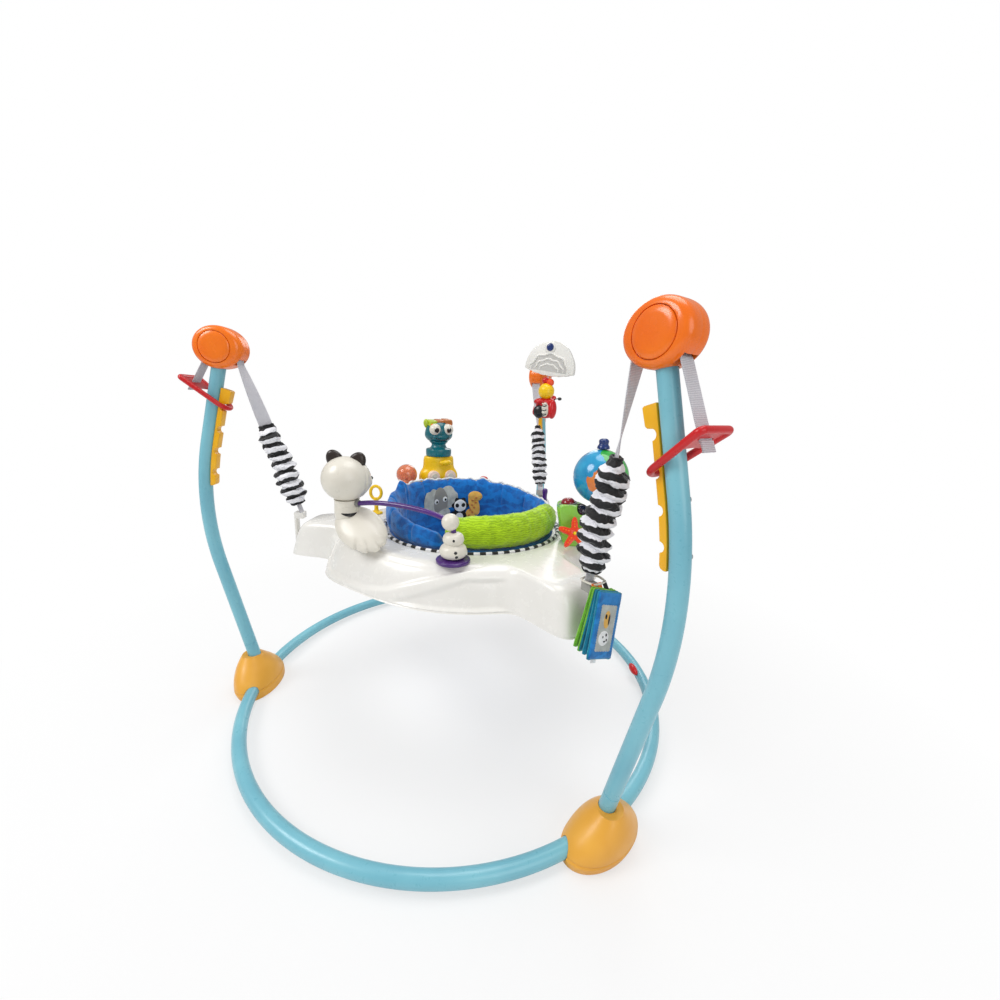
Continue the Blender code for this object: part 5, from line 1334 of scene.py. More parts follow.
def apron_line(bearing, inset):
    """The apron's fall with its scoops, so far inside its outer face."""
    line = smooth_line(skirt_points(tray_edge(bearing) + left_swell(bearing), inset), 12)
    count = len(line)
    out = []
    for i, p in enumerate(line):
        way = (line[min(count - 1, i + 1)] - line[max(0, i - 1)]).normalized()
        dip = apron_dip(bearing, i / (count - 1))
        out.append((p.x + way.y * dip, p.y - way.x * dip))
    return out


def tray_section(bearing):
    lip = DECK_HEIGHT - LIP_DROP
    sill = DECK_HEIGHT - SEAT_RECESS
    step = SEAT_FLANGE + RECESS_MARGIN
    deck = tray_edge(bearing) + left_swell(bearing) - APRON_WIDTH
    outer = [(HOLE_RADIUS, lip), (HOLE_RADIUS, sill - 0.003), (HOLE_RADIUS + 0.0009, sill - 0.0009),
            (HOLE_RADIUS + 0.003, sill), (step - 0.0012, sill), (step - 0.0003, sill + 0.0006),
            (step, sill + 0.002), (step, DECK_HEIGHT - 0.0024), (step + 0.0007, DECK_HEIGHT - 0.0007),
            (step + 0.0024, DECK_HEIGHT)]
    for k in range(1, 6):
        outer.append((step + 0.0024 + (deck - 0.004 - step) * k / 6, DECK_HEIGHT))
    under = list(reversed(apron_line(bearing, TRAY_WALL)))
    under += [(step + TRAY_WALL, DECK_HEIGHT - TRAY_WALL), (HOLE_RADIUS + TRAY_WALL, sill - TRAY_WALL),
            (HOLE_RADIUS + TRAY_WALL, lip)]
    return outer + apron_line(bearing, 0.0) + under


def tray_base_section(bearing):
    edge = tray_edge(bearing)
    inner = HOLE_RADIUS + TRAY_WALL + GAP
    low = RIM_HEIGHT + 0.004
    top = DECK_HEIGHT - SEAT_RECESS - TRAY_WALL - GAP * 2
    out = edge - TRAY_WALL - 0.0035
    points = [(inner, low), (inner, top), (inner + TRAY_WALL, top), (inner + TRAY_WALL, low + TRAY_WALL)]
    points += [(out, low + TRAY_WALL), (out + 0.0012, low)]
    return points + [(inner + (out - inner) * s, low + 0.0012 * (k % 2)) for k,
            s in enumerate((0.8, 0.78, 0.3, 0.28))]


def make_tray():
    dressed("dressed_tray", polar_body(tray_section, tray_bearings(170)), WHITE, "tray", TRAY, ["tray_top"],
            sharp=60)
    dressed("dressed_tray_base", polar_body(tray_base_section, tray_bearings(90)), WHITE, "tray", TRAY,
            ["tray_base"])
    spots = [TRAY @ polar(0.262, bearing, RIM_HEIGHT + 0.0042) for bearing in range(30, 390, 40)]
    grown("tray_screws", SCREW, spots, "tray", normals=[Vector((0, 0, -1))] * len(spots), Finish=STEEL)
    for side in POSTS:
        x = tray_edge(POSTS[side]) + GAP
        t = BRACKET_THICKNESS
        foot = RIM_HEIGHT - GAP
        outline = [(x, DECK_HEIGHT + GAP), (x, foot), (x - 0.03, foot), (x - 0.034, foot - t),
                (x + t, foot - t), (x + t, BRACKET_EYE_HEIGHT), (x - 0.016, BRACKET_EYE_HEIGHT),
                (x - 0.016, DECK_HEIGHT + GAP)]
        body = slab(outline, BRACKET_WIDTH / 2)
        place = TRAY @ spin(POSTS[side])
        dressed("arm_bracket_" + side, body, WHITE if side == "left" else STEEL_GREY, "tray", place,
                ["tray_hanger_" + side], bevel=0.0008)
        top = hang_at(side, LINK_BOTTOM)
        eye = hang_line(side)[1]
        end = eye + (eye - top).normalized() * 0.009
        line = [top + (end - top) * k / 12 for k in range(13)]
        web = ribbon(line, [fall_frame(side, -TRAY_TURN)[1]] * 13, BRACKET_WIDTH * 0.94, STRAP_THICKNESS)
        dressed("webbing_lower_" + side, web, WEB, "tray", post_frame(side))


# Seat

SEAT_FLOOR = DECK_HEIGHT - SEAT_RECESS + GAP + SEAT_FLANGE_THICKNESS + GAP


def front_share(bearing):
    """1 under the front roll and 0 away from it."""
    return ease((ROLL_HALF_ANGLE + 5 - abs(turn_between(bearing, SEAT_FRONT_ANGLE))) / 8)


def pad_top(bearing):
    """The collar's rim: low under the front roll, high and softly waved at the back, with raised corners."""
    share = front_share(bearing)
    high = PAD_BACK_HEIGHT - PAD_FALL * (0.5 - 0.5 * cos(radians(bearing - PAD_HIGH_ANGLE))) ** 1.2
    wave = 0.0014 * sin(radians(bearing) * 9) + 0.0008 * sin(radians(bearing) * 23)
    for corner, rise, width in ((PAD_CORNER_ANGLE + 1.0, PAD_CORNER_RISE, 5), (113, 0.006, 4),
            (131, -0.003, 5)):
        wave += rise * bell(turn_between(bearing, corner), width)
    return high + (PAD_FRONT_HEIGHT - high) * share + wave * (1 - share)


def pad_section(bearing):
    share = front_share(bearing)
    top = pad_top(bearing)
    floor = SEAT_FLOOR
    rise = top - floor
    out = PAD_OUTER - 0.008 * share
    inside = SEAT_RING_RADIUS - SEAT_RING_WALL - GAP * 3
    return [(out - 0.01, floor), (out - 0.002, floor + rise * 0.25), (out, floor + rise * 0.6),
            (out - 0.004, top - rise * 0.1), (out - PAD_THICKNESS * 0.42, top),
            (out - PAD_THICKNESS * 0.85, top - rise * 0.12), (out - PAD_THICKNESS * 1.15, floor
            + rise * 0.45), (inside - 0.014, floor - 0.03), (inside - 0.02, PAD_BOTTOM),
            (inside - 0.014, PAD_BOTTOM), (inside - 0.003, floor - 0.03), (inside, floor)]


def puckered(point, way, bearing, height, free):
    """Move a cloth point along its outward way: soft crumples, and channels where threads pull it in."""
    crumple = noise.noise(point * 38.0) * 0.0022 + noise.noise(point * 95.0) * 0.0009
    seam = 0.0
    for line in range(0, 360, 24):
        seam -= 0.003 * bell(turn_between(bearing, line) * 0.0032, 0.0028)
    tuck = 0.0012 * sin(height * 260 + bearing * 0.12) * (1 - exp(-abs(seam) * 600))
    return point + way * ((crumple + seam + tuck) * free)


def make_collar():
    columns = []
    count = 400
    for k in range(count):
        bearing = 360.0 * k / count
        line = smooth_line(pad_section(bearing), 5, loop=True)
        ring = []
        n = len(line)
        for i, p in enumerate(line):
            run = (line[(i + 1) % n] - line[i - 1]).normalized()
            way = Vector((run.y, -run.x, 0))
            out = polar(way.x, bearing, way.y)
            free = ease((p.y - SEAT_FLOOR - 0.002) / 0.012) * (1 - 0.75 * front_share(bearing))
            ring.append(puckered(polar(p.x, bearing, p.y), out, bearing, p.y, free))
        columns.append(ring)
    collar = dressed("quilted_collar", skin(columns, loop=True), BLUE_CLOTH, "seat", TRAY, ["seat_pad"],
            sharp=180)
    back = []
    for k in range(count):
        bearing = 39.0 + 154.0 * k / (count - 1)
        ruffle = 0.0011 * sin(radians(bearing) * 41) + 0.0008 * sin(radians(bearing) * 67)
        back.append(polar(PAD_OUTER - PAD_THICKNESS * 0.26, bearing, pad_top(bearing) + 0.0004 + ruffle))
    grown("white_binding", BAR, all_at(TRAY, back), "seat", Radius=0.0026, Sides=12, Finish=WHITE_CLOTH)
    stitches = [p + Vector((0, 0, -0.0066)) + Vector((p.x, p.y, 0)).normalized() * 0.0036
            for p in back[::2]]
    grown("binding_stitches", STITCH, all_at(TRAY, stitches), "seat", Finish=WHITE_CLOTH, Pitch=0.0045)
    circle = [TRAY @ polar(0.1912, k, SEAT_FLOOR + 0.003) for k in range(0, 360, 2)]
    grown("dashed_piping", BAR, circle, "seat", closed=True, Radius=0.0036, Sides=16, Finish=PIPING)


def make_roll():
    """The green bolster at the front: stuffed, ribbed by fine quilting, with tucked ends and creases."""
    middle = PAD_OUTER - ROLL_RADIUS * 0.9
    height = PAD_FRONT_HEIGHT + GAP + ROLL_HALF_HEIGHT * 0.985
    rings = []
    steps = 220
    for k in range(steps + 1):
        t = -1 + 2 * k / steps
        bearing = SEAT_FRONT_ANGLE + ROLL_HALF_ANGLE * t
        full = max(0.0, 1 - abs(t) ** 7) ** 0.5
        if full < 0.05:
            rings.append([polar(middle, bearing, height)])
            continue
        ring = []
        crease = 0.0
        for spot, deep in ((-0.78, 0.0026), (-0.42, 0.0012), (0.05, 0.001), (0.48, 0.002), (0.83, 0.0034)):
            crease += deep * bell(t - spot, 0.03)
        for b in turns(56):
            ripple = 0.00055 * sin(b * 17 + 3.5 * sin(t * 13) + 1.6 * sin(t * 31 + 2))
            seed = Vector((t * 5.0, cos(b) * 1.2, sin(b) * 1.2))
            crumple = 0.0016 * noise.noise(seed * 2.2) + 0.0008 * noise.noise(seed * 6.0)
            seam = 0.0014 * bell(b - 5.5, 0.09)
            r = ripple + crumple - crease * (0.6 + 0.4 * cos(b - 1.2)) - seam
            d = middle + (ROLL_RADIUS + r) * full * cos(b)
            ring.append(polar(d, bearing, height + (ROLL_HALF_HEIGHT + r) * full * sin(b)))
        rings.append(ring)
    roll = dressed("green_bolster", skin(rings), GREEN_CLOTH, "seat", TRAY, ["seat_roll"], sharp=180)


def make_sling():
    inside = SEAT_RING_RADIUS - SEAT_RING_WALL - GAP * 3 - 0.021
    rings = []
    for k in range(61):
        t = -1 + 2 * k / 60
        reach = (inside - 0.001) * t
        drop = PAD_BOTTOM - 0.004 - (PAD_BOTTOM - 0.004 - SLING_LOW) * sqrt(max(0.0, 1 - t ** 4))
        half = SLING_HALF_WIDTH * (0.72 + 0.55 * t * t)
        ring = []
        for side, across in ((0, range(-8, 9)), (1, range(8, -9, -1))):
            for j in across:
                pucker = 0.0008 * noise.noise(Vector((reach * 40, half * j * 6, side)))
                hem = 0.0008 if abs(j) > 6 else 0.0
                z = drop + 0.006 * (j / 8) ** 2 - (SLING_THICKNESS if side else 0.0) + (pucker + hem) * (1
                        - 2 * side)
                ring.append(Vector((reach, half * j / 8, z)))
        rings.append(ring)
    place = TRAY @ spin(SEAT_FRONT_ANGLE)
    sling = dressed("cloth_saddle", skin(rings), BLUE_CLOTH, "seat", place, ["seat_sling"], sharp=50)


def wall_point(bearing, height, lift):
    """A point on the collar's inner face, set in from it by a lift."""
    inner = pad_section(bearing)[5:9]
    d = inner[0][0]
    for (high_d, high), (low_d, low) in zip(inner, inner[1:]):
        if low <= height <= high:
            d = low_d + (high_d - low_d) * (height - low) / (high - low)
    if height < inner[-1][1]:
        d = inner[-1][0]
    return polar(d - lift, bearing, height)


def patch(name, material, bearing, height, wide, tall, lift=0.002, petals=0, lean=0.0):
    """A felt shape sewn to the collar's inner face: an oval, or an oval with petals round it."""
    rings = [[wall_point(bearing, height, lift + 0.0008)]]
    for share, up in ((0.35, 0.0008), (0.7, 0.0007), (0.92, 0.0003), (1, -0.0006), (0.9, -0.0016),
            (0.4, -0.0016)):
        ring = []
        for a in turns(60):
            r = share * (1 + (0.14 * cos(petals * a) if petals else 0.0))
            x = wide * r * cos(a)
            z = tall * r * sin(a)
            x, z = x * cos(lean) - z * sin(lean), x * sin(lean) + z * cos(lean)
            ring.append(wall_point(bearing - degrees(x / 0.163), height + z, lift + up))
        rings.append(ring)
    rings.append([wall_point(bearing, height, lift - 0.0016)])
    dressed(name, skin(rings), material, "seat", TRAY, sharp=60)


def make_patches():
    """Plain felt shapes for the printed figures: a grey cloud, a black and white flower, a tan leaf."""
    patch("cloud_patch_left", GREY_CLOTH, 161.0, 0.404, 0.027, 0.033)
    patch("cloud_patch_right", GREY_CLOTH, 145.0, 0.413, 0.025, 0.029)
    patch("cloud_patch_middle", SHADE_GREY, 153.0, 0.402, 0.021, 0.037, 0.003)
    patch("cloud_patch_foot", GREY_CLOTH, 150.0, 0.372, 0.019, 0.016, 0.003)
    for n, (b, z) in enumerate(((157.5, 0.404), (149, 0.409))):
        patch("cloud_ring_%d" % (n + 1), WHITE_CLOTH, b, z, 0.0062, 0.0068, 0.0042)
        patch("cloud_dot_%d" % (n + 1), BLACK_CLOTH, b - 0.4, z - 0.001, 0.0032, 0.0036, 0.005)
    patch("flower_patch_low", BLACK_CLOTH, 134.5, 0.36, 0.0235, 0.017, 0.0026, petals=5)
    patch("flower_patch_back", BLACK_CLOTH, 134.0, 0.39, 0.0205, 0.0205, 0.0034, petals=6)
    patch("flower_patch_front", WHITE_CLOTH, 134.0, 0.3895, 0.0165, 0.0165, 0.0044)
    patch("flower_patch_middle", WHITE_CLOTH, 134.5, 0.359, 0.0105, 0.011, 0.0036)
    for n, (b, z) in enumerate(((136.9, 0.39), (131.1, 0.391))):
        patch("flower_spot_%d" % (n + 1), BLACK_CLOTH, b, z, 0.0052, 0.006, 0.0052, lean=0.5 - n)
    patch("leaf_patch", TAN_CLOTH, 121.0, 0.393, 0.0135, 0.03, 0.0032, lean=0.3)
    patch("leaf_stalk", TAN_CLOTH, 124.0, 0.36, 0.012, 0.02, 0.0028, lean=0.3)
    patch("leaf_tip", TAN_CLOTH, 120.0, 0.415, 0.019, 0.013, 0.004)
    spots = ((119, 0.411), (122.5, 0.404), (119.5, 0.398), (123, 0.391), (121, 0.384), (124.5, 0.378),
            (122.5, 0.371), (125.5, 0.363), (122, 0.357))
    for n, (b, z) in enumerate(spots):
        patch("leaf_spot_%d" % (n + 1), TAN, b, z, 0.0034, 0.0028, 0.0052)
    patch("floor_patch", WHITE_CLOTH, 108.0, 0.355, 0.024, 0.008, 0.003, petals=5)


def make_seat():
    low = DECK_HEIGHT - LIP_DROP - 0.006
    rest = DECK_HEIGHT - SEAT_RECESS + GAP
    high = rest + SEAT_FLANGE_THICKNESS
    inner = SEAT_RING_RADIUS - SEAT_RING_WALL
    profile = [(inner, low), (inner, high), (SEAT_FLANGE - 0.0015, high),
            (SEAT_FLANGE - 0.0004, high - 0.0004), (SEAT_FLANGE, high - 0.0015), (SEAT_FLANGE, rest),
            (SEAT_RING_RADIUS, rest), (SEAT_RING_RADIUS, low)]
    dressed("dressed_seat_ring", turned(profile, 180, loop=True), WHITE, "seat", TRAY, ["seat_ring"])
    make_collar()
    make_roll()
    make_sling()
    make_patches()


# Toys

def toy_place(spot, turn=None):
    """A toy's frame on the tray's deck, which looks outward unless it has a turn of its own."""
    distance, bearing = spot
    at = Matrix.Translation(polar(distance, bearing, DECK_HEIGHT + GAP))
    return TRAY @ at @ spin(bearing if turn is None else turn)


def oval(size, at=(0, 0, 0), turn=(0, 0, 0), sides=44, rows=24):
    return moved(ball(1.0, sides, rows), at, turn, size)


def shaped(mesh, change):
    """Move every point of a bmesh by a rule."""
    for v in mesh.verts:
        v.co = change(v.co.copy())
    return mesh


def lathed(points, sides=56, steps=5):
    """Turn a profile after rounding it, with its two ends kept."""
    return turned([(max(0.0, p.x), p.y) for p in smooth_line(points, steps)], sides)


def make_panda():
    place = toy_place(PANDA_SPOT, TOY_TURN)
    neck = PANDA_NECK

    def knuckles(p):
        """Blunt finger steps along the body's right edge, flat on top like folded petals."""
        a = degrees(atan2(p.z, p.x))
        near = ease((hypot(p.x, p.z) - 0.5) / 0.35) * ease((52 - abs(a + 18)) / 14)
        cut = 0.0
        for mark in (-58, -30, 2, 30):
            cut = max(cut, bell(a - mark, 3.4), 0.55 * bell(a - mark - 5.0, 6.0))
        cut *= 0.085 * near
        return Vector((p.x * (1 - cut), p.y * (1 - cut * 1.2), p.z * (1 - cut)))

    body = moved(shaped(ball(1.0, 140, 64), knuckles), turn=(0, 42, 0), size=(0.059, 0.017, 0.039))
    body = moved(moved(body, at=(0.031, 0, -0.027)), at=neck, turn=(-PANDA_SLOPE, 0, 0))
    dressed("panda_paw_body", body, TOY_WHITE, "tray", place, ["panda_body"], sharp=70)
    wide = PANDA_COLLAR_RADIUS
    collar = lathed([(0, -0.018), (0.012, -0.018), (0.019, -0.0155), (0.0208, -0.008),
            (wide - 0.0004, 0.006), (wide, 0.01), (wide - 0.0006, 0.019), (wide - 0.0011, 0.0205),
            (wide - 0.0007, 0.022), (0.0214, PANDA_COLLAR - 0.0012), (0.0206, PANDA_COLLAR),
            (0, PANDA_COLLAR)], 64, 6)
    dressed("panda_collar", moved(collar, at=neck), TOY_WHITE, "tray", place)
    arc_line = [(0.0218 * cos(radians(a)), 0.0218 * sin(radians(a)), 0.01
            - 0.003 * sin(radians((a - 262) * 2))) for a in range(262, 353, 5)]
    sizes = [0.001 + 0.0024 * sin(pi * k / (len(arc_line) - 1)) for k in range(len(arc_line))]
    dressed("panda_dark_mark", moved(rod(arc_line, sizes, 16), at=neck), BLACK, "tray", place)
    strut = rod(smooth_line([(0, 0, 0.004), (-0.001, -0.006, 0.028), (-0.006, -0.03, 0.05)], 8), 0.006, 28)
    dressed("panda_strut", strut, SHADE_GREY, "tray", place)
    foot = lathed([(0, 0), (0.0158, 0), (0.016, 0.003), (0.012, 0.006), (0.007, 0.0066), (0, 0.0066)])
    dressed("panda_foot_disc", foot, SHADE_GREY, "tray", place)
    place = place @ Matrix.Translation(neck)
    lift = PANDA_COLLAR + RUNNING_GAP
    centre = lift + 0.0365

    def brow(p):
        """A shallow groove that parts the face from the back of the head, with soft lumps beside it."""
        side = p.x * 0.62 + p.y * 0.78
        groove = 0.045 * bell(side - 0.42, 0.035)
        lump = 0.034 * ease((side - 0.44) / 0.1) * abs(sin(atan2(p.z, p.x - p.y) * 4.0)) ** 1.5
        return p * (1 - groove + lump)

    head = moved(shaped(ball(1.0, 110, 56), brow), at=(0, 0, centre), size=(0.0426, 0.0406, 0.0408))
    flat = moved(plate(oblong(-0.1, 0.1, -0.1, 0.1), -0.1, 0), at=(0, 0, lift))
    dressed("panda_face", worked(head, "DIFFERENCE", flat), TOY_WHITE, "panda", place, ["panda_head"],
            sharp=60)
    snout = oval((0.0205, 0.0185, 0.0195), (0.018, 0.027, centre - 0.008))
    dressed("panda_snout", snout, TOY_WHITE, "panda", place)
    dressed("panda_nose", oval((0.006, 0.006, 0.0042), (0.031, 0.0395, centre - 0.004)), BLACK, "panda",
            place)
    for n, (x, z) in enumerate(((-0.02, 0.035), (0.021, 0.0325))):
        turn = (0, degrees(atan2(x, z)), 0)
        ear = shaped(ball(1.0, 56, 28), lambda p: Vector((p.x * (1 - 0.1 * p.z), p.y
                + 0.3 * exp(-(p.x ** 2 + p.z ** 2) * 2.2), p.z)))
        ear = moved(ear, at=(x, 0.003, centre + z), turn=turn, size=(0.0148, 0.0096, 0.0175))
        dressed("panda_ear_%d" % (n + 1), ear, DARK, "panda", place)
        eye = (0.01 + 0.018 * (n == 1), 0.0335 - 0.012 * (n == 1), centre + 0.011)
        dressed("panda_eye_%d" % (n + 1), oval((0.0075, 0.0075, 0.0085), eye), BLACK, "panda", place)


def dots(name, centre, radius, places, body, place, size=0.0024):
    """Small round black dots pressed into a ball at bearings and heights."""
    for n, (bearing, rise) in enumerate(places):
        way = Vector((cos(radians(bearing)) * cos(radians(rise)),
                sin(radians(bearing)) * cos(radians(rise)), sin(radians(rise))))
        disc = lathed([(0, -0.001), (size, -0.001), (size * 0.9, 0.0002), (0, 0.0005)], 20, 2)
        disc = carried(disc, facing(Vector(centre) + way * radius, way))
        dressed("%s_%d" % (name, n + 1), disc, BLACK, body, place)


def make_beads():
    place = toy_place(BEAD_SPOT)
    disc = lathed([(0, 0), (0.026, 0), (0.029, 0.002), (0.0284, 0.0058), (0.02, 0.0074), (0, 0.008)])
    dressed("bead_foot", disc, PURPLE, "tray", place, ["bead_rod"])
    turn = spin(-BEAD_SPOT[1])
    there = spin(TOY_TURN) @ PANDA_NECK + polar(*PANDA_SPOT)
    along = turn @ (there - polar(*BEAD_SPOT))
    along.z = 0
    reach = along.length - PANDA_COLLAR_RADIUS - 0.001
    way = along.normalized()
    points = [Vector((0, 0, 0.004)), Vector((0, 0, 0.055)), Vector((0, 0, 0.063)) + way * 0.002]
    for share, height in ((0.05, 0.07), (0.14, 0.0765), (0.3, 0.082), (0.55, 0.0855), (0.8, 0.0842),
            (1, 0.0785)):
        points.append(way * (reach * share) + Vector((0, 0, height)))
    dressed("bead_bar", rod(smooth_line(points, 8), BAR_RADIUS, 32), PURPLE, "tray", place)
    collar = lathed([(0, -0.003), (0.0062, -0.003), (0.0066, 0), (0.0062, 0.003), (0, 0.003)], 32, 3)
    collar = carried(collar, facing(points[-1] - way * 0.0008, way))
    dressed("bead_bar_ferrule", collar, SHADE_GREY, "tray", place)
    top = Vector((0, 0, 0.069)) + way * 0.006
    dressed("bead_top", oval((0.0149, 0.0149, 0.0146), top, sides=56, rows=30), TOY_WHITE, "tray", place)
    low = 0.008 + RUNNING_GAP
    bore = BAR_RADIUS + RUNNING_GAP
    profile = [(bore, low), (0.0155, low), (0.0208, low + 0.0032), (0.0237, low + 0.0105),
            (0.0212, low + 0.0182), (0.0163, low + 0.0228), (0.015, low + 0.0243), (0.0163, low + 0.0258),
            (0.0182, low + 0.0315), (0.0164, low + 0.0378), (0.0125, low + 0.0415), (bore, low + 0.0434)]
    body = turned([(p.x, p.y) for p in smooth_line(profile, 5)], 64, loop=True)
    dressed("two_lobed_bead", body, TOY_WHITE, "bead", place, ["bead_figure"], sharp=50)
    dots("bead_dot", (0, 0, low + 0.011), 0.0234, ((20, 9), (24, -9), (100, 8), (190, 5), (250, 4)), "bead",
            place, 0.0027)
    dots("bead_upper_dot", (0, 0, low + 0.0318), 0.018, ((12, 6), (100, 6), (200, 5), (276, 3)), "bead",
            place, 0.0022)


def make_loop_and_rattle():
    place = toy_place(LOOP_SPOT, TOY_TURN)
    foot = lathed([(0, 0), (0.013, 0), (0.0132, 0.0035), (0.0075, 0.0066), (0.0048, 0.0105),
            (0.0044, 0.036), (0, 0.0372)])
    dressed("loop_foot", foot, YELLOW, "loop", place, ["loop_knob"])
    line = [place @ Vector((0.0125 * cos(radians(a)), 0, 0.05 + 0.0155 * sin(radians(a))))
            for a in range(0, 360, 5)]
    grown("loop_ring", BAR, line, "loop", closed=True, Radius=0.0036, Sides=28, Finish=YELLOW)
    place = toy_place(RATTLE_SPOT)
    foot = lathed([(0, 0), (0.016, 0), (0.0162, 0.0038), (0.0095, 0.0066), (0.0064, 0.0105),
            (0.006, 0.0555), (0, 0.056)])
    dressed("rattle_foot", foot, ORANGE, "rattle", place)
    shell = shaped(ball(0.026, 72, 40), lambda p: p * (1 - 0.018 * (1 - min(1.0, abs(p.z) / 0.0012))))
    dressed("rattle_shell", moved(shell, at=(0, 0, 0.078)), RATTLE_CLEAR, "rattle", place, ["rattle_ball"])
    for n in range(9):
        at = Vector((0.013 * cos(n * 2.4), 0.013 * sin(n * 2.4), 0.07 + 0.0017 * n))
        finish_of = (CORAL, ORANGE, PINK)[n % 3]
        dressed("rattle_bead_%d" % (n + 1), moved(ball(0.0042, 20, 12), at=at), finish_of, "rattle", place)


def make_bobble():
    """A yellow block with round pink wheels, and on it a nodding teal head with big eyes and a tan cap."""
    place = toy_place(BOBBLE_SPOT)
    shares = smooth_line(((0, 0.04, 0.026), (0.012, 0.048, 0.03), (0.06, 0.053, 0.032),
            (0.078, 0.0505, 0.031), (0.092, 0.0425, 0.029), (0.112, 0.0405, 0.028), (0.119, 0.039, 0.027),
            (BOBBLE_TOP, 0.036, 0.025)), 6)
    rings = []
    for z, wide, deep in shares:
        rings.append([Vector((deep * cos(a), wide * sin(a), z)) for a in turns(88)])
    dressed("yellow_body", skin(rings), YELLOW, "tray", place, ["bobble_base"], sharp=50)
    for n, y in enumerate((-0.022, 0.022)):
        for back in (0, 1):
            disc = lathed([(0, 0.02), (0.014, 0.02), (0.0144, 0.0328), (0.0125, 0.035), (0, 0.0358)])
            hub = lathed([(0, 0.02), (0.0075, 0.02), (0.0078, 0.036), (0.0062, 0.0372), (0, 0.0376)])
            for part, tint, name in ((disc, PINK, "pink_wheel"), (hub, TOY_WHITE, "wheel_hub")):
                part = moved(part, at=(0, y, 0.072), turn=(0, -90 + 180 * back, 0))
                dressed("%s_%d" % (name, 2 * n + back + 1), part, tint, "tray", place)
    dressed("side_knob", oval((0.0088, 0.0165, 0.0077), (-0.029, -0.01, 0.107)), YELLOW, "tray", place)
    pivot = lathed([(0, -0.002), (0.006, -0.002), (0.006, 0.007), (0.005, 0.008), (0, 0.008)])
    dressed("bobble_pivot_pin", moved(pivot, at=(0, 0, BOBBLE_TOP)), GREY, "tray", place)
    place = place @ Matrix.Translation((0, 0, BOBBLE_TOP))
    lift = RUNNING_GAP
    base = lathed([(0.0075, lift), (0.029, lift), (0.0326, lift + 0.0022), (0.033, lift + 0.016),
            (0.0302, lift + 0.019), (0.0225, lift + 0.0212), (0.0182, lift + 0.03),
            (0.0235, lift + 0.0385), (0, lift + 0.04)], 72, 4)
    dressed("teal_collar", base, TEAL, "figure", place, ["bobble_figure"])
    middle = lift + 0.063

    def cheeks(p):
        low = ease((0.25 - p.z) / 0.9)
        return Vector((p.x, p.y * (1 + 0.16 * low), p.z))

    head = moved(shaped(ball(1.0, 88, 48), cheeks), at=(0, 0, middle), size=(0.0318, 0.0345, 0.0308))
    dressed("teal_head", head, TEAL, "figure", place)
    muzzle = oval((0.013, 0.024, 0.0115), (-0.02, 0, middle - 0.0125))
    dressed("teal_muzzle", muzzle, TEAL, "figure", place)
    smile = smooth_line([(-0.0305, -0.018, middle - 0.0135), (-0.0335, -0.009, middle - 0.0185),
            (-0.0341, 0, middle - 0.0195), (-0.0335, 0.009, middle - 0.0185),
            (-0.0305, 0.018, middle - 0.0135)], 6)
    dressed("dark_smile", rod(smile, 0.0011, 12), BLACK, "figure", place)
    for n, (y, tint) in enumerate(((-0.0195, TAN), (0, TAN), (0.019, LIME_TOY))):
        block = plate(oblong(-0.018, 0.015, y - 0.0098, y + 0.0098), 0.0, 0.0185 - 0.0015 * n)
        block = moved(block, at=(0, 0, lift + 0.0775), turn=(0, -5, 0))
        dressed("cap_block_%d" % (n + 1), block, tint, "figure", place, bevel=0.0024)
    band = plate(oblong(-0.0215, 0.014, -0.027, 0.027), 0.0, 0.007)
    band = moved(band, at=(0, 0, lift + 0.0785), turn=(0, -5, 0))
    dressed("cap_band", band, ORANGE, "figure", place, bevel=0.0022)
    for n, y in enumerate((-0.0168, 0.0168)):
        way = Vector((-0.95, 0.1 * (1 if y > 0 else -1), 0.02)).normalized()
        at = Vector((-0.0215, y, lift + 0.07))
        dressed("white_eye_%d" % (n + 1), moved(ball(0.0148, 52, 28), at=at), TOY_WHITE, "figure", place)
        squint = Vector((0, 0.0012 * (-1 if n else 1), -0.001))
        iris = moved(ball(0.0088, 40, 22), at=at + way * 0.0072 + squint)
        dressed("amber_iris_%d" % (n + 1), iris, TAN, "figure", place)
        pupil = moved(ball(0.0076, 36, 20), at=at + way * 0.0092 + squint)
        dressed("black_pupil_%d" % (n + 1), pupil, BLACK, "figure", place)
        glint = at + way * 0.0158 + Vector((0, 0.003, 0.0034))
        dressed("eye_glint_%d" % (n + 1), moved(ball(0.0021, 16, 8), at=glint), TOY_WHITE, "figure", place)
        ear = oval((0.0055, 0.0085, 0.0125), (0.004, y * 1.85, lift + 0.083), (y * -900, 0, 0))
        dressed("side_tuft_%d" % (n + 1), ear, LIME_TOY if n else TAN, "figure", place)


def make_peg():
    place = toy_place(PEG_SPOT)
    profile = [(0, 0), (0.0165, 0), (0.017, 0.0026), (0.0105, 0.0064), (0.0074, 0.012), (0.0062, 0.024),
            (0.006, 0.036), (0.0071, 0.0455), (0.006, 0.0515), (0.0028, 0.0538), (0, 0.054)]
    dressed("smooth_peg", lathed(profile), PURPLE, "peg", place, ["peg"])


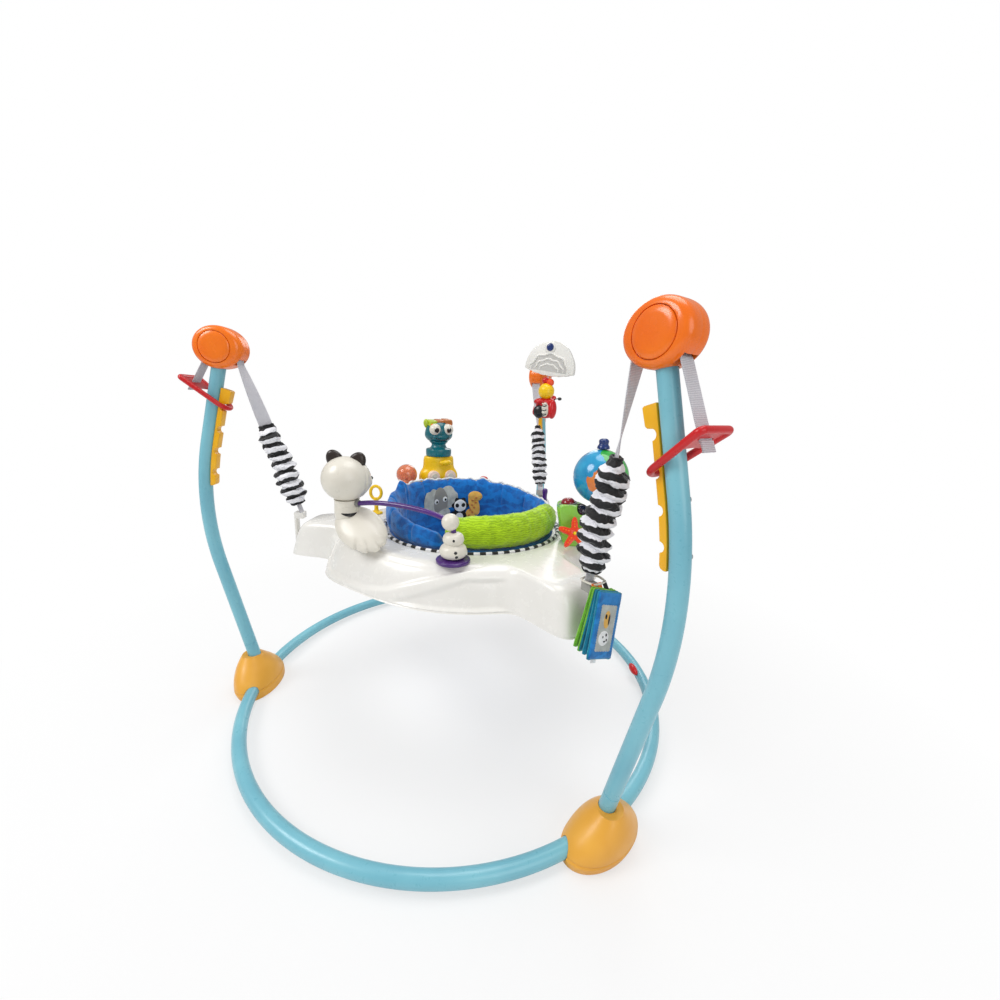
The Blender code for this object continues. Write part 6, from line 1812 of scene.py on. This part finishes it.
def make_station():
    place = toy_place(STATION_SPOT, TOY_TURN)
    outline = smooth_line([(-0.016, 0), (0.034, 0), (0.037, 0.03), (0.03, 0.062), (0.02, 0.075),
            (-0.002, 0.0802), (-0.025, 0.0792), (-0.0305, 0.069), (-0.025, 0.038)], 3, loop=True)
    outline = [(p.x, max(0.0, p.y)) for p in outline]
    wells = []
    for at, turn, radius in STATION_BUTTONS.values():
        well = turned([(radius + RUNNING_GAP, -0.01), (radius + RUNNING_GAP, 0.03)], 48)
        wells.append(moved(well, at=at, turn=turn))
    body = worked(slab(outline, 0.0238), "DIFFERENCE", *wells)
    dressed("green_station", body, STATION_GREEN, "tray", place, ["station"], bevel=0.0022)
    way = Vector((0, -sin(radians(STAR_TILT)), cos(radians(STAR_TILT))))
    boss = [(0, -0.006), (0.0085, -0.006), (0.0085, STAR_STANDOFF), (PIN_RADIUS, STAR_STANDOFF),
            (PIN_RADIUS, STAR_STANDOFF + STAR_THICKNESS + 0.001), (0, STAR_STANDOFF + STAR_THICKNESS
            + 0.002)]
    dressed("star_boss", moved(turned(boss, 40), at=STAR_BOSS, turn=(STAR_TILT, 0, 0)), YELLOW, "tray",
            place)
    for n, a in enumerate(range(0, 360, 72)):
        at = (0.027 + 0.009 * cos(radians(a)), -0.026, 0.051 + 0.009 * sin(radians(a)))
        dressed("aqua_petal_%d" % (n + 1), oval((0.0066, 0.005, 0.0066), at), AQUA, "tray", place)
    dressed("flower_eye", oval((0.0045, 0.003, 0.0045), (0.027, -0.029, 0.051)), RED, "tray", place)
    gx, gy, gz = GLOBE_OFFSET
    top = gz - GLOBE_RADIUS - RUNNING_GAP
    arm = rod(smooth_line([(0.02, 0.004, 0.04), (0.032, 0.002, 0.056), (gx, gy, top - 0.014),
            (gx, gy, top)], 8), [0.009 - 0.0015 * min(1.0, k / 12) for k in range(25)], 32)
    dressed("globe_arm", arm, STATION_GREEN, "tray", place)
    for name, (at, turn, radius) in STATION_BUTTONS.items():
        low = -0.01 + GAP + 0.004
        dome = lathed([(0, low), (radius - 0.0003, low), (radius, low + 0.001), (radius, 0.002),
                (radius * 0.93, 0.0052), (radius * 0.7, 0.0087), (radius * 0.36, 0.0106), (0, 0.011)])
        tint = RED_CLEAR if name == "red_button" else PLUM_CLEAR
        dressed("dome_" + name, moved(dome, at=at, turn=turn), tint, name, place, [name])
        rim = smooth_line([(radius + 0.001, -0.0012), (radius + 0.0042, -0.0012), (radius + 0.0038, 0.0014),
                (radius + 0.0016, 0.0016)], 3, loop=True)
        rim = turned([(q.x, q.y) for q in rim], 56, loop=True)
        tint = DARK if name == "purple_button" else SHADE_GREY
        dressed("rim_" + name, moved(rim, at=at, turn=turn), tint, "tray", place)
    at = STAR_BOSS + way * (STAR_STANDOFF + RUNNING_GAP + STAR_THICKNESS / 2)
    place_star = place @ Matrix.Translation(at) @ spin(STAR_TILT - 90, "X")
    outline = []
    for k in range(100):
        a = radians(90 + 3.6 * k)
        r = 0.0125 + 0.0195 * (0.5 + 0.5 * cos(5 * (a - pi / 2))) ** 1.6
        outline.append((r * cos(a), r * sin(a)))
    bore = moved(turned([(PIN_RADIUS + RUNNING_GAP, -0.02), (PIN_RADIUS + RUNNING_GAP, 0.02)], 40),
            turn=(90, 0, 0))
    body = worked(slab(outline, STAR_THICKNESS / 2 - 0.0003), "DIFFERENCE", bore)
    dressed("coral_star", body, CORAL, "star", place_star, ["star"], bevel=0.0018)
    for n in range(5):
        for m, reach in enumerate((0.012, 0.0175, 0.0225)):
            a = radians(90 + 72 * n)
            at = (reach * cos(a), -STAR_THICKNESS / 2, reach * sin(a))
            stud = oval((0.0017, 0.0012, 0.0017), at, sides=20, rows=10)
            dressed("star_bump_%d" % (3 * n + m + 1), stud, ORANGE, "star", place_star)
    place_globe = place @ Matrix.Translation(GLOBE_OFFSET)
    seam = shaped(ball(GLOBE_RADIUS, 96, 60), lambda p: p * (1 - 0.01 * bell(p.z, 0.0009)))
    dressed("printed_globe", seam, GLOBE, "globe", place_globe, ["globe"], sharp=60)
    top = GLOBE_RADIUS + RUNNING_GAP
    knob = lathed([(0, top), (0.0108, top), (0.0112, top + 0.0045), (0.0088, top + 0.0088),
            (0.0092, top + 0.0125), (0.009, top + 0.016), (0.0055, top + 0.0192), (0, top + 0.02)])
    dressed("navy_knob", knob, NAVY, "tray", place_globe, ["globe_pin"])
    pin = turned([(0, -top - 0.01), (PIN_RADIUS, -top - 0.01), (PIN_RADIUS, -GLOBE_RADIUS + 0.001),
            (0, -GLOBE_RADIUS + 0.001)], 24)
    dressed("globe_stub", pin, STEEL, "tray", place_globe)
    for n, spot in enumerate(((0.3, -0.8, 0.5), (-0.6, -0.7, 0.2), (0.5, -0.8, -0.3), (-0.4, 0.9, 0.1))):
        way = Vector(spot).normalized()
        raised = lathed([(0, -0.001), (0.005, -0.001), (0.0044, 0.0007), (0, 0.001)], 28, 3)
        raised = carried(raised, facing(way * GLOBE_RADIUS, way))
        dressed("globe_bump_%d" % (n + 1), raised, GLOBE, "globe", place_globe)


BOOK_ROLL = -16.0


def make_book():
    """The soft cloth book: four stuffed leaves, its loops and the white link on the hanger's webbing."""
    hang = Vector((tray_edge(POSTS["right"]) + 0.0125, 0, BRACKET_EYE_HEIGHT + 0.0055))
    wire = 0.0017
    reach = hang.x - ARM_REACH + 0.004 + STRAP_THICKNESS / 2 + wire + 0.0001
    place = TRAY @ spin(POSTS["right"]) @ Matrix.Translation(hang)
    corners = smooth_line([(-reach, -0.0135, 0), (-reach, 0.0135, 0), (-0.004, 0.0135, 0),
            (0, 0.008, -0.001), (0, -0.008, -0.001), (-0.004, -0.0135, 0)], 3, loop=True)
    grown("white_link", BAR, all_at(place, corners), "book", closed=True, Radius=wire, Sides=20,
            Finish=TOY_WHITE)
    for n, (y, tint) in enumerate(((-0.011, ORANGE_CLOTH), (-0.001, ORANGE_CLOTH), (0.009, BLACK_CLOTH))):
        path = smooth_line([(-0.001, y, 0.001), (0.004, y * 1.1, -0.007), (0.01, y * 1.4, -0.02)], 8)
        tape = ribbon(path, [Vector((0, 1, 0))] * len(path), 0.007, 0.0018)
        dressed("book_loop_%d" % (n + 1), tape, tint, "book", place)
    cloths = (LIME_CLOTH, TEAL_CLOTH, TEAL_CLOTH, BOOK_BLUE)
    for k, (lean, size) in enumerate(((0, 0.95), (3, 0.97), (6, 0.97), (9, 1))):
        half = 0.0235 * size
        low = -0.09 * size
        rings = []
        count = 44
        for i in range(count + 1):
            z = 0.004 + (low - 0.004) * i / count
            ring = []
            for face, run in ((1, range(-14, 15)), (-1, range(14, -15, -1))):
                for j in run:
                    y = half * j / 14 * (1 + 0.03 * (i % 2) * (abs(j) > 12))
                    edge = min(1.0, min(i, count - i) / 4, (14 - abs(j)) / 2.5)
                    puff = sqrt(max(0.0, edge * (2 - edge)))
                    wrinkle = 0.0006 * noise.noise(Vector((y * 90, z * 60, k * 7 + face)))
                    ring.append(Vector((face * (0.0004 + 0.0027 * puff + wrinkle * puff),
                            y * (1 - 0.02 * noise.noise(Vector((z * 70, k, face)))), z)))
            rings.append(ring)
        hang_leaf = (Matrix.Translation((0.004 + 0.0052 * k, 0.002, -0.01)) @ spin(BOOK_ROLL, "X")
                @ spin(-lean, "Y"))
        leaf = carried(skin(rings), hang_leaf)
        stands = ["soft_book"] if k == 0 else []
        dressed("book_leaf_%d" % (k + 1), leaf, cloths[k], "book", place, stands, sharp=70)
        corners = [Vector((0, y * half * 0.985, 0.003 + (low - 0.002) * z)) for y,
                z in ((-1, 0), (1, 0), (1, 1), (-1, 1))]
        edge = smooth_line([a.lerp(b, s / 6) for a, b in zip(corners, corners[1:] + corners[:1])
                for s in range(6)], 2, loop=True)
        grown("book_edge_%d" % (k + 1), BAR, all_at(place @ hang_leaf, edge), "book", closed=True,
                Radius=0.0013, Sides=10, Finish=(LIME_CLOTH, LIME_CLOTH, TEAL_CLOTH, TEAL_CLOTH)[k])
    # a pinked felt panel on the front leaf, with plain shapes sewn on
    teeth = []
    sides = (((-1, 1), (1, 1), 12), ((1, 1), (1, -1), 36), ((1, -1), (-1, -1), 12), ((-1, -1), (-1, 1), 36))
    for (y0, z0), (y1, z1), steps in sides:
        for s in range(steps):
            y = y0 + (y1 - y0) * s / steps
            z = z0 + (z1 - z0) * s / steps
            out = 1 + 0.09 * (s % 2)
            teeth.append((0.0148 * y * (out if y0 == y1 else 1), 0.0315 * z * (1 + 0.04 * (s % 2)
                    if z0 == z1 else 1)))
    face = hang_leaf @ Matrix.Translation((0.003, 0, low / 2 - 0.001))
    panel = moved(slab(teeth, 0.0007), turn=(0, 0, 90))
    dressed("book_panel", panel, GREY_CLOTH, "book", place @ face)
    shapes = ((-0.001, 0.012, 0.0062, 0.0125, TAN_CLOTH), (0.002, 0.012, 0.0028, 0.009, BLACK_CLOTH),
            (-0.004, 0.016, 0.0022, 0.0042, BLACK_CLOTH), (-0.002, -0.014, 0.01, 0.0105, WHITE_CLOTH),
            (-0.005, -0.012, 0.002, 0.003, BLACK_CLOTH), (0.003, -0.016, 0.0022, 0.0026, BLACK_CLOTH),
            (-0.001, -0.018, 0.003, 0.0018, BLACK_CLOTH), (0.001, -0.009, 0.0018, 0.0026, BLACK_CLOTH))
    for n, (y, z, wide, tall, tint) in enumerate(shapes):
        shape = oval((0.001 + 0.0002 * n, wide, tall), (0.0006, y, z), sides=28, rows=14)
        dressed("book_shape_%d" % (n + 1), shape, tint, "book", place @ face)
    tag = slab(oblong(-0.005, 0.005, 0.0, -0.013), 0.0005)
    at = hang_leaf @ Matrix.Translation((-0.004, -0.006, low + 0.006))
    dressed("book_tag", moved(tag, turn=(0, 0, 90)), WHITE_CLOTH, "book", place @ at)


def cloud_outline():
    """The cloud's edge: shallow scallops over the top, pointed corners and a sagging foot."""
    points = []
    for k in range(161):
        a = pi * k / 160
        r = 1.0 + 0.045 * abs(sin(2.5 * a)) * sin(a)
        points.append((0.072 * r * cos(a), 0.077 * r * sin(a) - 0.0355))
    for k in range(-10, 11):
        x = 0.0069 * k
        points.append((x, -0.0365 - 0.0125 * (1 - (x / 0.072) ** 2) + 0.0008 * sin(k * 1.9)))
    return points


def make_cloud():
    """The cloud mirror's back: a white shell, a grey arch, three raised wave ridges and a navy button."""
    place = post_frame("rear")
    face = place @ Matrix.Translation(CLOUD_AT) @ spin(CLOUD_TILT, "X")
    shell = moved(slab(cloud_outline(), 0.0088), turn=(0, 0, 90))
    dressed("white_cloud", shell, WHITE, "frame", face, ["cloud_toy"], bevel=0.004)
    arch = []
    for k in range(61):
        a = radians(180 * k / 60)
        arch.append((0.053 * cos(a), 0.044 * sin(a) - 0.0375))
    arch = moved(slab(arch, 0.0093), turn=(0, 0, 90))
    dressed("cloud_grey_arch", arch, GREY, "frame", face, bevel=0.0009)
    for n, (wide, tall, thick) in enumerate(((0.057, 0.0475, 0.0034), (0.0425, 0.033, 0.0028),
            (0.029, 0.02, 0.0024))):
        ridge = []
        for k in range(91):
            a = radians(4 + 172 * k / 90)
            wave = 1 + 0.045 * sin(a * 9 + n * 1.3)
            ridge.append(Vector((-0.009, wide * wave * cos(a), tall * wave * sin(a) - 0.0385)))
        sizes = [thick * (0.35 + 0.65 * min(1.0, 6 * min(k, 90 - k) / 90)) for k in range(91)]
        dressed("cloud_ridge_%d" % (n + 1), rod(ridge, sizes, 18), WHITE, "frame", face)
    seat = lathed([(0, 0.002), (0.015, 0.002), (0.0152, 0.0086), (0.012, 0.012), (0, 0.0122)])
    button = lathed([(0, 0.008), (0.0098, 0.008), (0.01, 0.0132), (0.0082, 0.015), (0.004, 0.0158),
            (0, 0.016)])
    for name, part, tint in (("button_seat", seat, WHITE), ("navy_button", button, NAVY)):
        dressed(name, moved(part, at=(0, 0.006, 0.026), turn=(0, -90, 0)), tint, "frame", face)
    centre = Vector((HOUSING_RADIUS, 0, HOUSING_HEIGHT))
    inside = []
    outside = []
    for k in range(41):
        a = radians(25 + 130 * k / 40)
        x, z = housing_edge(a)
        way = Vector((x, z)).normalized()
        inside.append((x + way.x * 0.0006, z + way.y * 0.0006))
        outside.append((x + way.x * 0.004, z + way.y * 0.004))
    saddle = moved(slab(inside + outside[::-1], 0.007), at=centre + Vector((0, -0.014, 0)))
    dressed("cloud_clip", saddle, TOY_WHITE, "frame", place, bevel=0.0006)
    x, z = outside[-1]
    start = centre + Vector((x + 0.002, -0.014, z))
    end = CLOUD_AT + Vector((0.005, 0.02, -0.006))
    arm = smooth_line([start, start + Vector((-0.012, -0.01, 0.004)), end], 10)
    dressed("cloud_arm", rod(arm, 0.0045, 28), TOY_WHITE, "frame", place)


def make_string():
    """The hanging toys: a real cord through a red and an orange bead, a yellow ball and a red beetle."""
    place = post_frame("rear") @ Matrix.Translation(CLOUD_AT + Vector((0, 0.008, -0.0465)))
    line = all_at(place, [(0.0003 * sin(k * 0.7), 0.0004 * sin(k * 0.43), -0.13 * k / 40)
            for k in range(41)])
    cord = grown("toy_cord", BAR, line, "string", ["toy_string"], Radius=0.0016, Sides=16,
            Finish=WHITE_CLOTH)

    def hang(name, mesh, tint):
        dressed(name, mesh, tint, "string", place)

    for name, radius, y, z, tint in (("small_red_bead", 0.0098, 0.006, -0.015, RED),
            ("orange_bead", 0.0108, -0.008, -0.02, CORAL), ("yellow_ball", 0.0225, 0.002, -0.044, YELLOW)):
        groove = shaped(ball(radius, 64, 34), lambda p: p * (1 - 0.03 * bell(p.z, 0.0011)))
        hang(name, moved(groove, at=(0, y, z)), tint)

    def hood(p):
        """A blocky shell with square shoulders and a slit down its face."""
        square = (abs(p.x) ** 4 + abs(p.y) ** 4 + abs(p.z) ** 4) ** 0.25
        return p * (0.55 + 0.45 / max(1e-6, square)) * 0.93

    hang("beetle_shell", moved(shaped(ball(1.0, 80, 44), hood), at=(0.002, 0.001, -0.0905),
            size=(0.0205, 0.0325, 0.031)), RED)
    hang("beetle_shoulder", oval((0.015, 0.019, 0.01), (-0.006, 0.016, -0.0735)), RED)
    hang("beetle_face", oval((0.009, 0.017, 0.0185), (-0.015, 0.015, -0.101)), BLACK)
    hang("beetle_wing_case", oval((0.0165, 0.012, 0.027), (-0.0055, -0.0205, -0.093)), RED)
    for n, z in enumerate((-0.08, -0.086, -0.092, -0.098, -0.104, -0.11)):
        stripe = rod([(-0.0225, -0.0095, z + 0.003), (-0.0232, -0.003, z), (-0.0222, 0.0045, z + 0.002)],
                0.0014, 10)
        hang("beetle_stripe_%d" % (n + 1), stripe, BLACK if n % 2 else TOY_WHITE)
    hang("beetle_white_panel", oval((0.006, 0.011, 0.02), (-0.0172, -0.003, -0.095)), TOY_WHITE)
    feeler = smooth_line([(-0.004, -0.024, -0.066), (-0.004, -0.032, -0.064), (-0.004, -0.037, -0.064)], 6)
    hang("beetle_feeler", rod(feeler, 0.0012, 12), BLACK)
    hang("beetle_feeler_knob", oval((0.0048, 0.0058, 0.0045), (-0.004, -0.04, -0.064)), BLACK)


def make_small_extras():
    """Two small bits of the photograph: a red knob behind the seat's back, a dark red tag on the ring."""
    knob = lathed([(0, 0), (0.009, 0), (0.0095, 0.003), (0.0062, 0.0075), (0.0055, 0.018), (0.0092, 0.024),
            (0.009, 0.031), (0.005, 0.0345), (0, 0.035)])
    knob = moved(knob, size=(1.35, 1.35, 1.95))
    dressed("small_red_knob", knob, RED, "tray", toy_place((0.226, 115)))
    bearing = POSTS["right"] + 58.0
    spot = polar(RING_RADIUS - 0.015, bearing, TUBE_RADIUS * 0.82)
    tag = oval((0.0085, 0.022, 0.0085), turn=(0, 0, bearing), sides=32, rows=18)
    dressed("ring_tag", moved(tag, at=spot), RED, "frame", MIDDLE)


GLOBE = globe_print(toy_place(STATION_SPOT, TOY_TURN) @ Vector(GLOBE_OFFSET))


# Floor, lights and world

def make_stage():
    """A white floor that keeps a soft shadow by the object and fades into the room, and four soft lamps."""
    floor_mesh = bpy.data.meshes.new("floor")
    size = 14.0
    floor_mesh.from_pydata([(-size, -size, 0), (size, -size, 0), (size, size, 0), (-size, size, 0)], [],
            [(0, 1, 2, 3)])
    floor = linked("floor", floor_mesh)
    floor.location.z = -0.0006
    made, tree, _ = finish("pale_floor", Base_Color=shade("#EDEDED"), Roughness=0.95,
            Specular_IOR_Level=0.1)
    place = node(tree, "ShaderNodeTexCoord", out="Object")
    away = node(tree, "ShaderNodeVectorMath", [place], "Value", operation="LENGTH")
    # from 0.35 m out the floor begins to fade, and from 1.15 m out it is as white as the room
    fade = node(tree, "ShaderNodeMapRange", [away, 0.35, 1.15, 0.55, 1])
    ray = node(tree, "ShaderNodeLightPath").node.outputs
    seen = node(tree, "ShaderNodeMath", [ray["Is Camera Ray"], ray["Is Transmission Ray"]],
            operation="MAXIMUM")
    share = node(tree, "ShaderNodeMath", [fade, seen], operation="MULTIPLY")
    glow = node(tree, "ShaderNodeEmission", {"Color": "#FFFFFF", "Strength": 1.0})
    node(tree, "ShaderNodeMixShader", [share, tree.nodes["Principled BSDF"].outputs[0], glow],
            into=tree.nodes["Material Output"].inputs["Surface"])
    floor_mesh.materials.append(made)
    # each lamp's place, its width in metres and its power in watts
    for name, spot, size, power in (("key_light", (-1.7, -2, 2.6), 1.6, 50),
            ("fill_light", (2.4, -1.8, 1.5), 2, 20), ("top_light", (0.3, 0.2, 3.2), 2, 34),
            ("rim_light", (-0.8, 2.6, 2), 1.6, 16)):
        data = bpy.data.lights.new(name, "AREA")
        data.shape = "DISK"
        data.size = size
        data.energy = power
        lamp = linked(name, data)
        lamp.location = spot
        aim = Vector((0, 0, 0.4)) - Vector(spot)
        lamp.rotation_euler = aim.to_track_quat("-Z", "Y").to_euler()
    world = bpy.data.worlds.new("soft_room")
    world.use_nodes = True
    bpy.context.scene.world = world
    tree = world.node_tree
    tree.nodes.clear()
    ray = node(tree, "ShaderNodeLightPath").node.outputs
    seen = node(tree, "ShaderNodeMath", [ray["Is Camera Ray"], ray["Is Transmission Ray"]],
            operation="MAXIMUM")
    room = node(tree, "ShaderNodeBackground", {"Color": "#FFFFFF", "Strength": 0.42})
    white = node(tree, "ShaderNodeBackground", {"Color": "#FFFFFF", "Strength": 1.0})
    mix = node(tree, "ShaderNodeMixShader", [seen, room, white])
    node(tree, "ShaderNodeOutputWorld", {"Surface": mix})
    bpy.context.scene.view_settings.view_transform = "Standard"


make_ring()
make_feet()
make_posts()
make_housings()
make_racks()
make_hoops()
make_straps()
make_springs()
make_covers()
make_tray()
make_seat()
make_panda()
make_beads()
make_loop_and_rattle()
make_bobble()
make_peg()
make_station()
make_book()
make_cloud()
make_string()
make_small_extras()
make_stage()
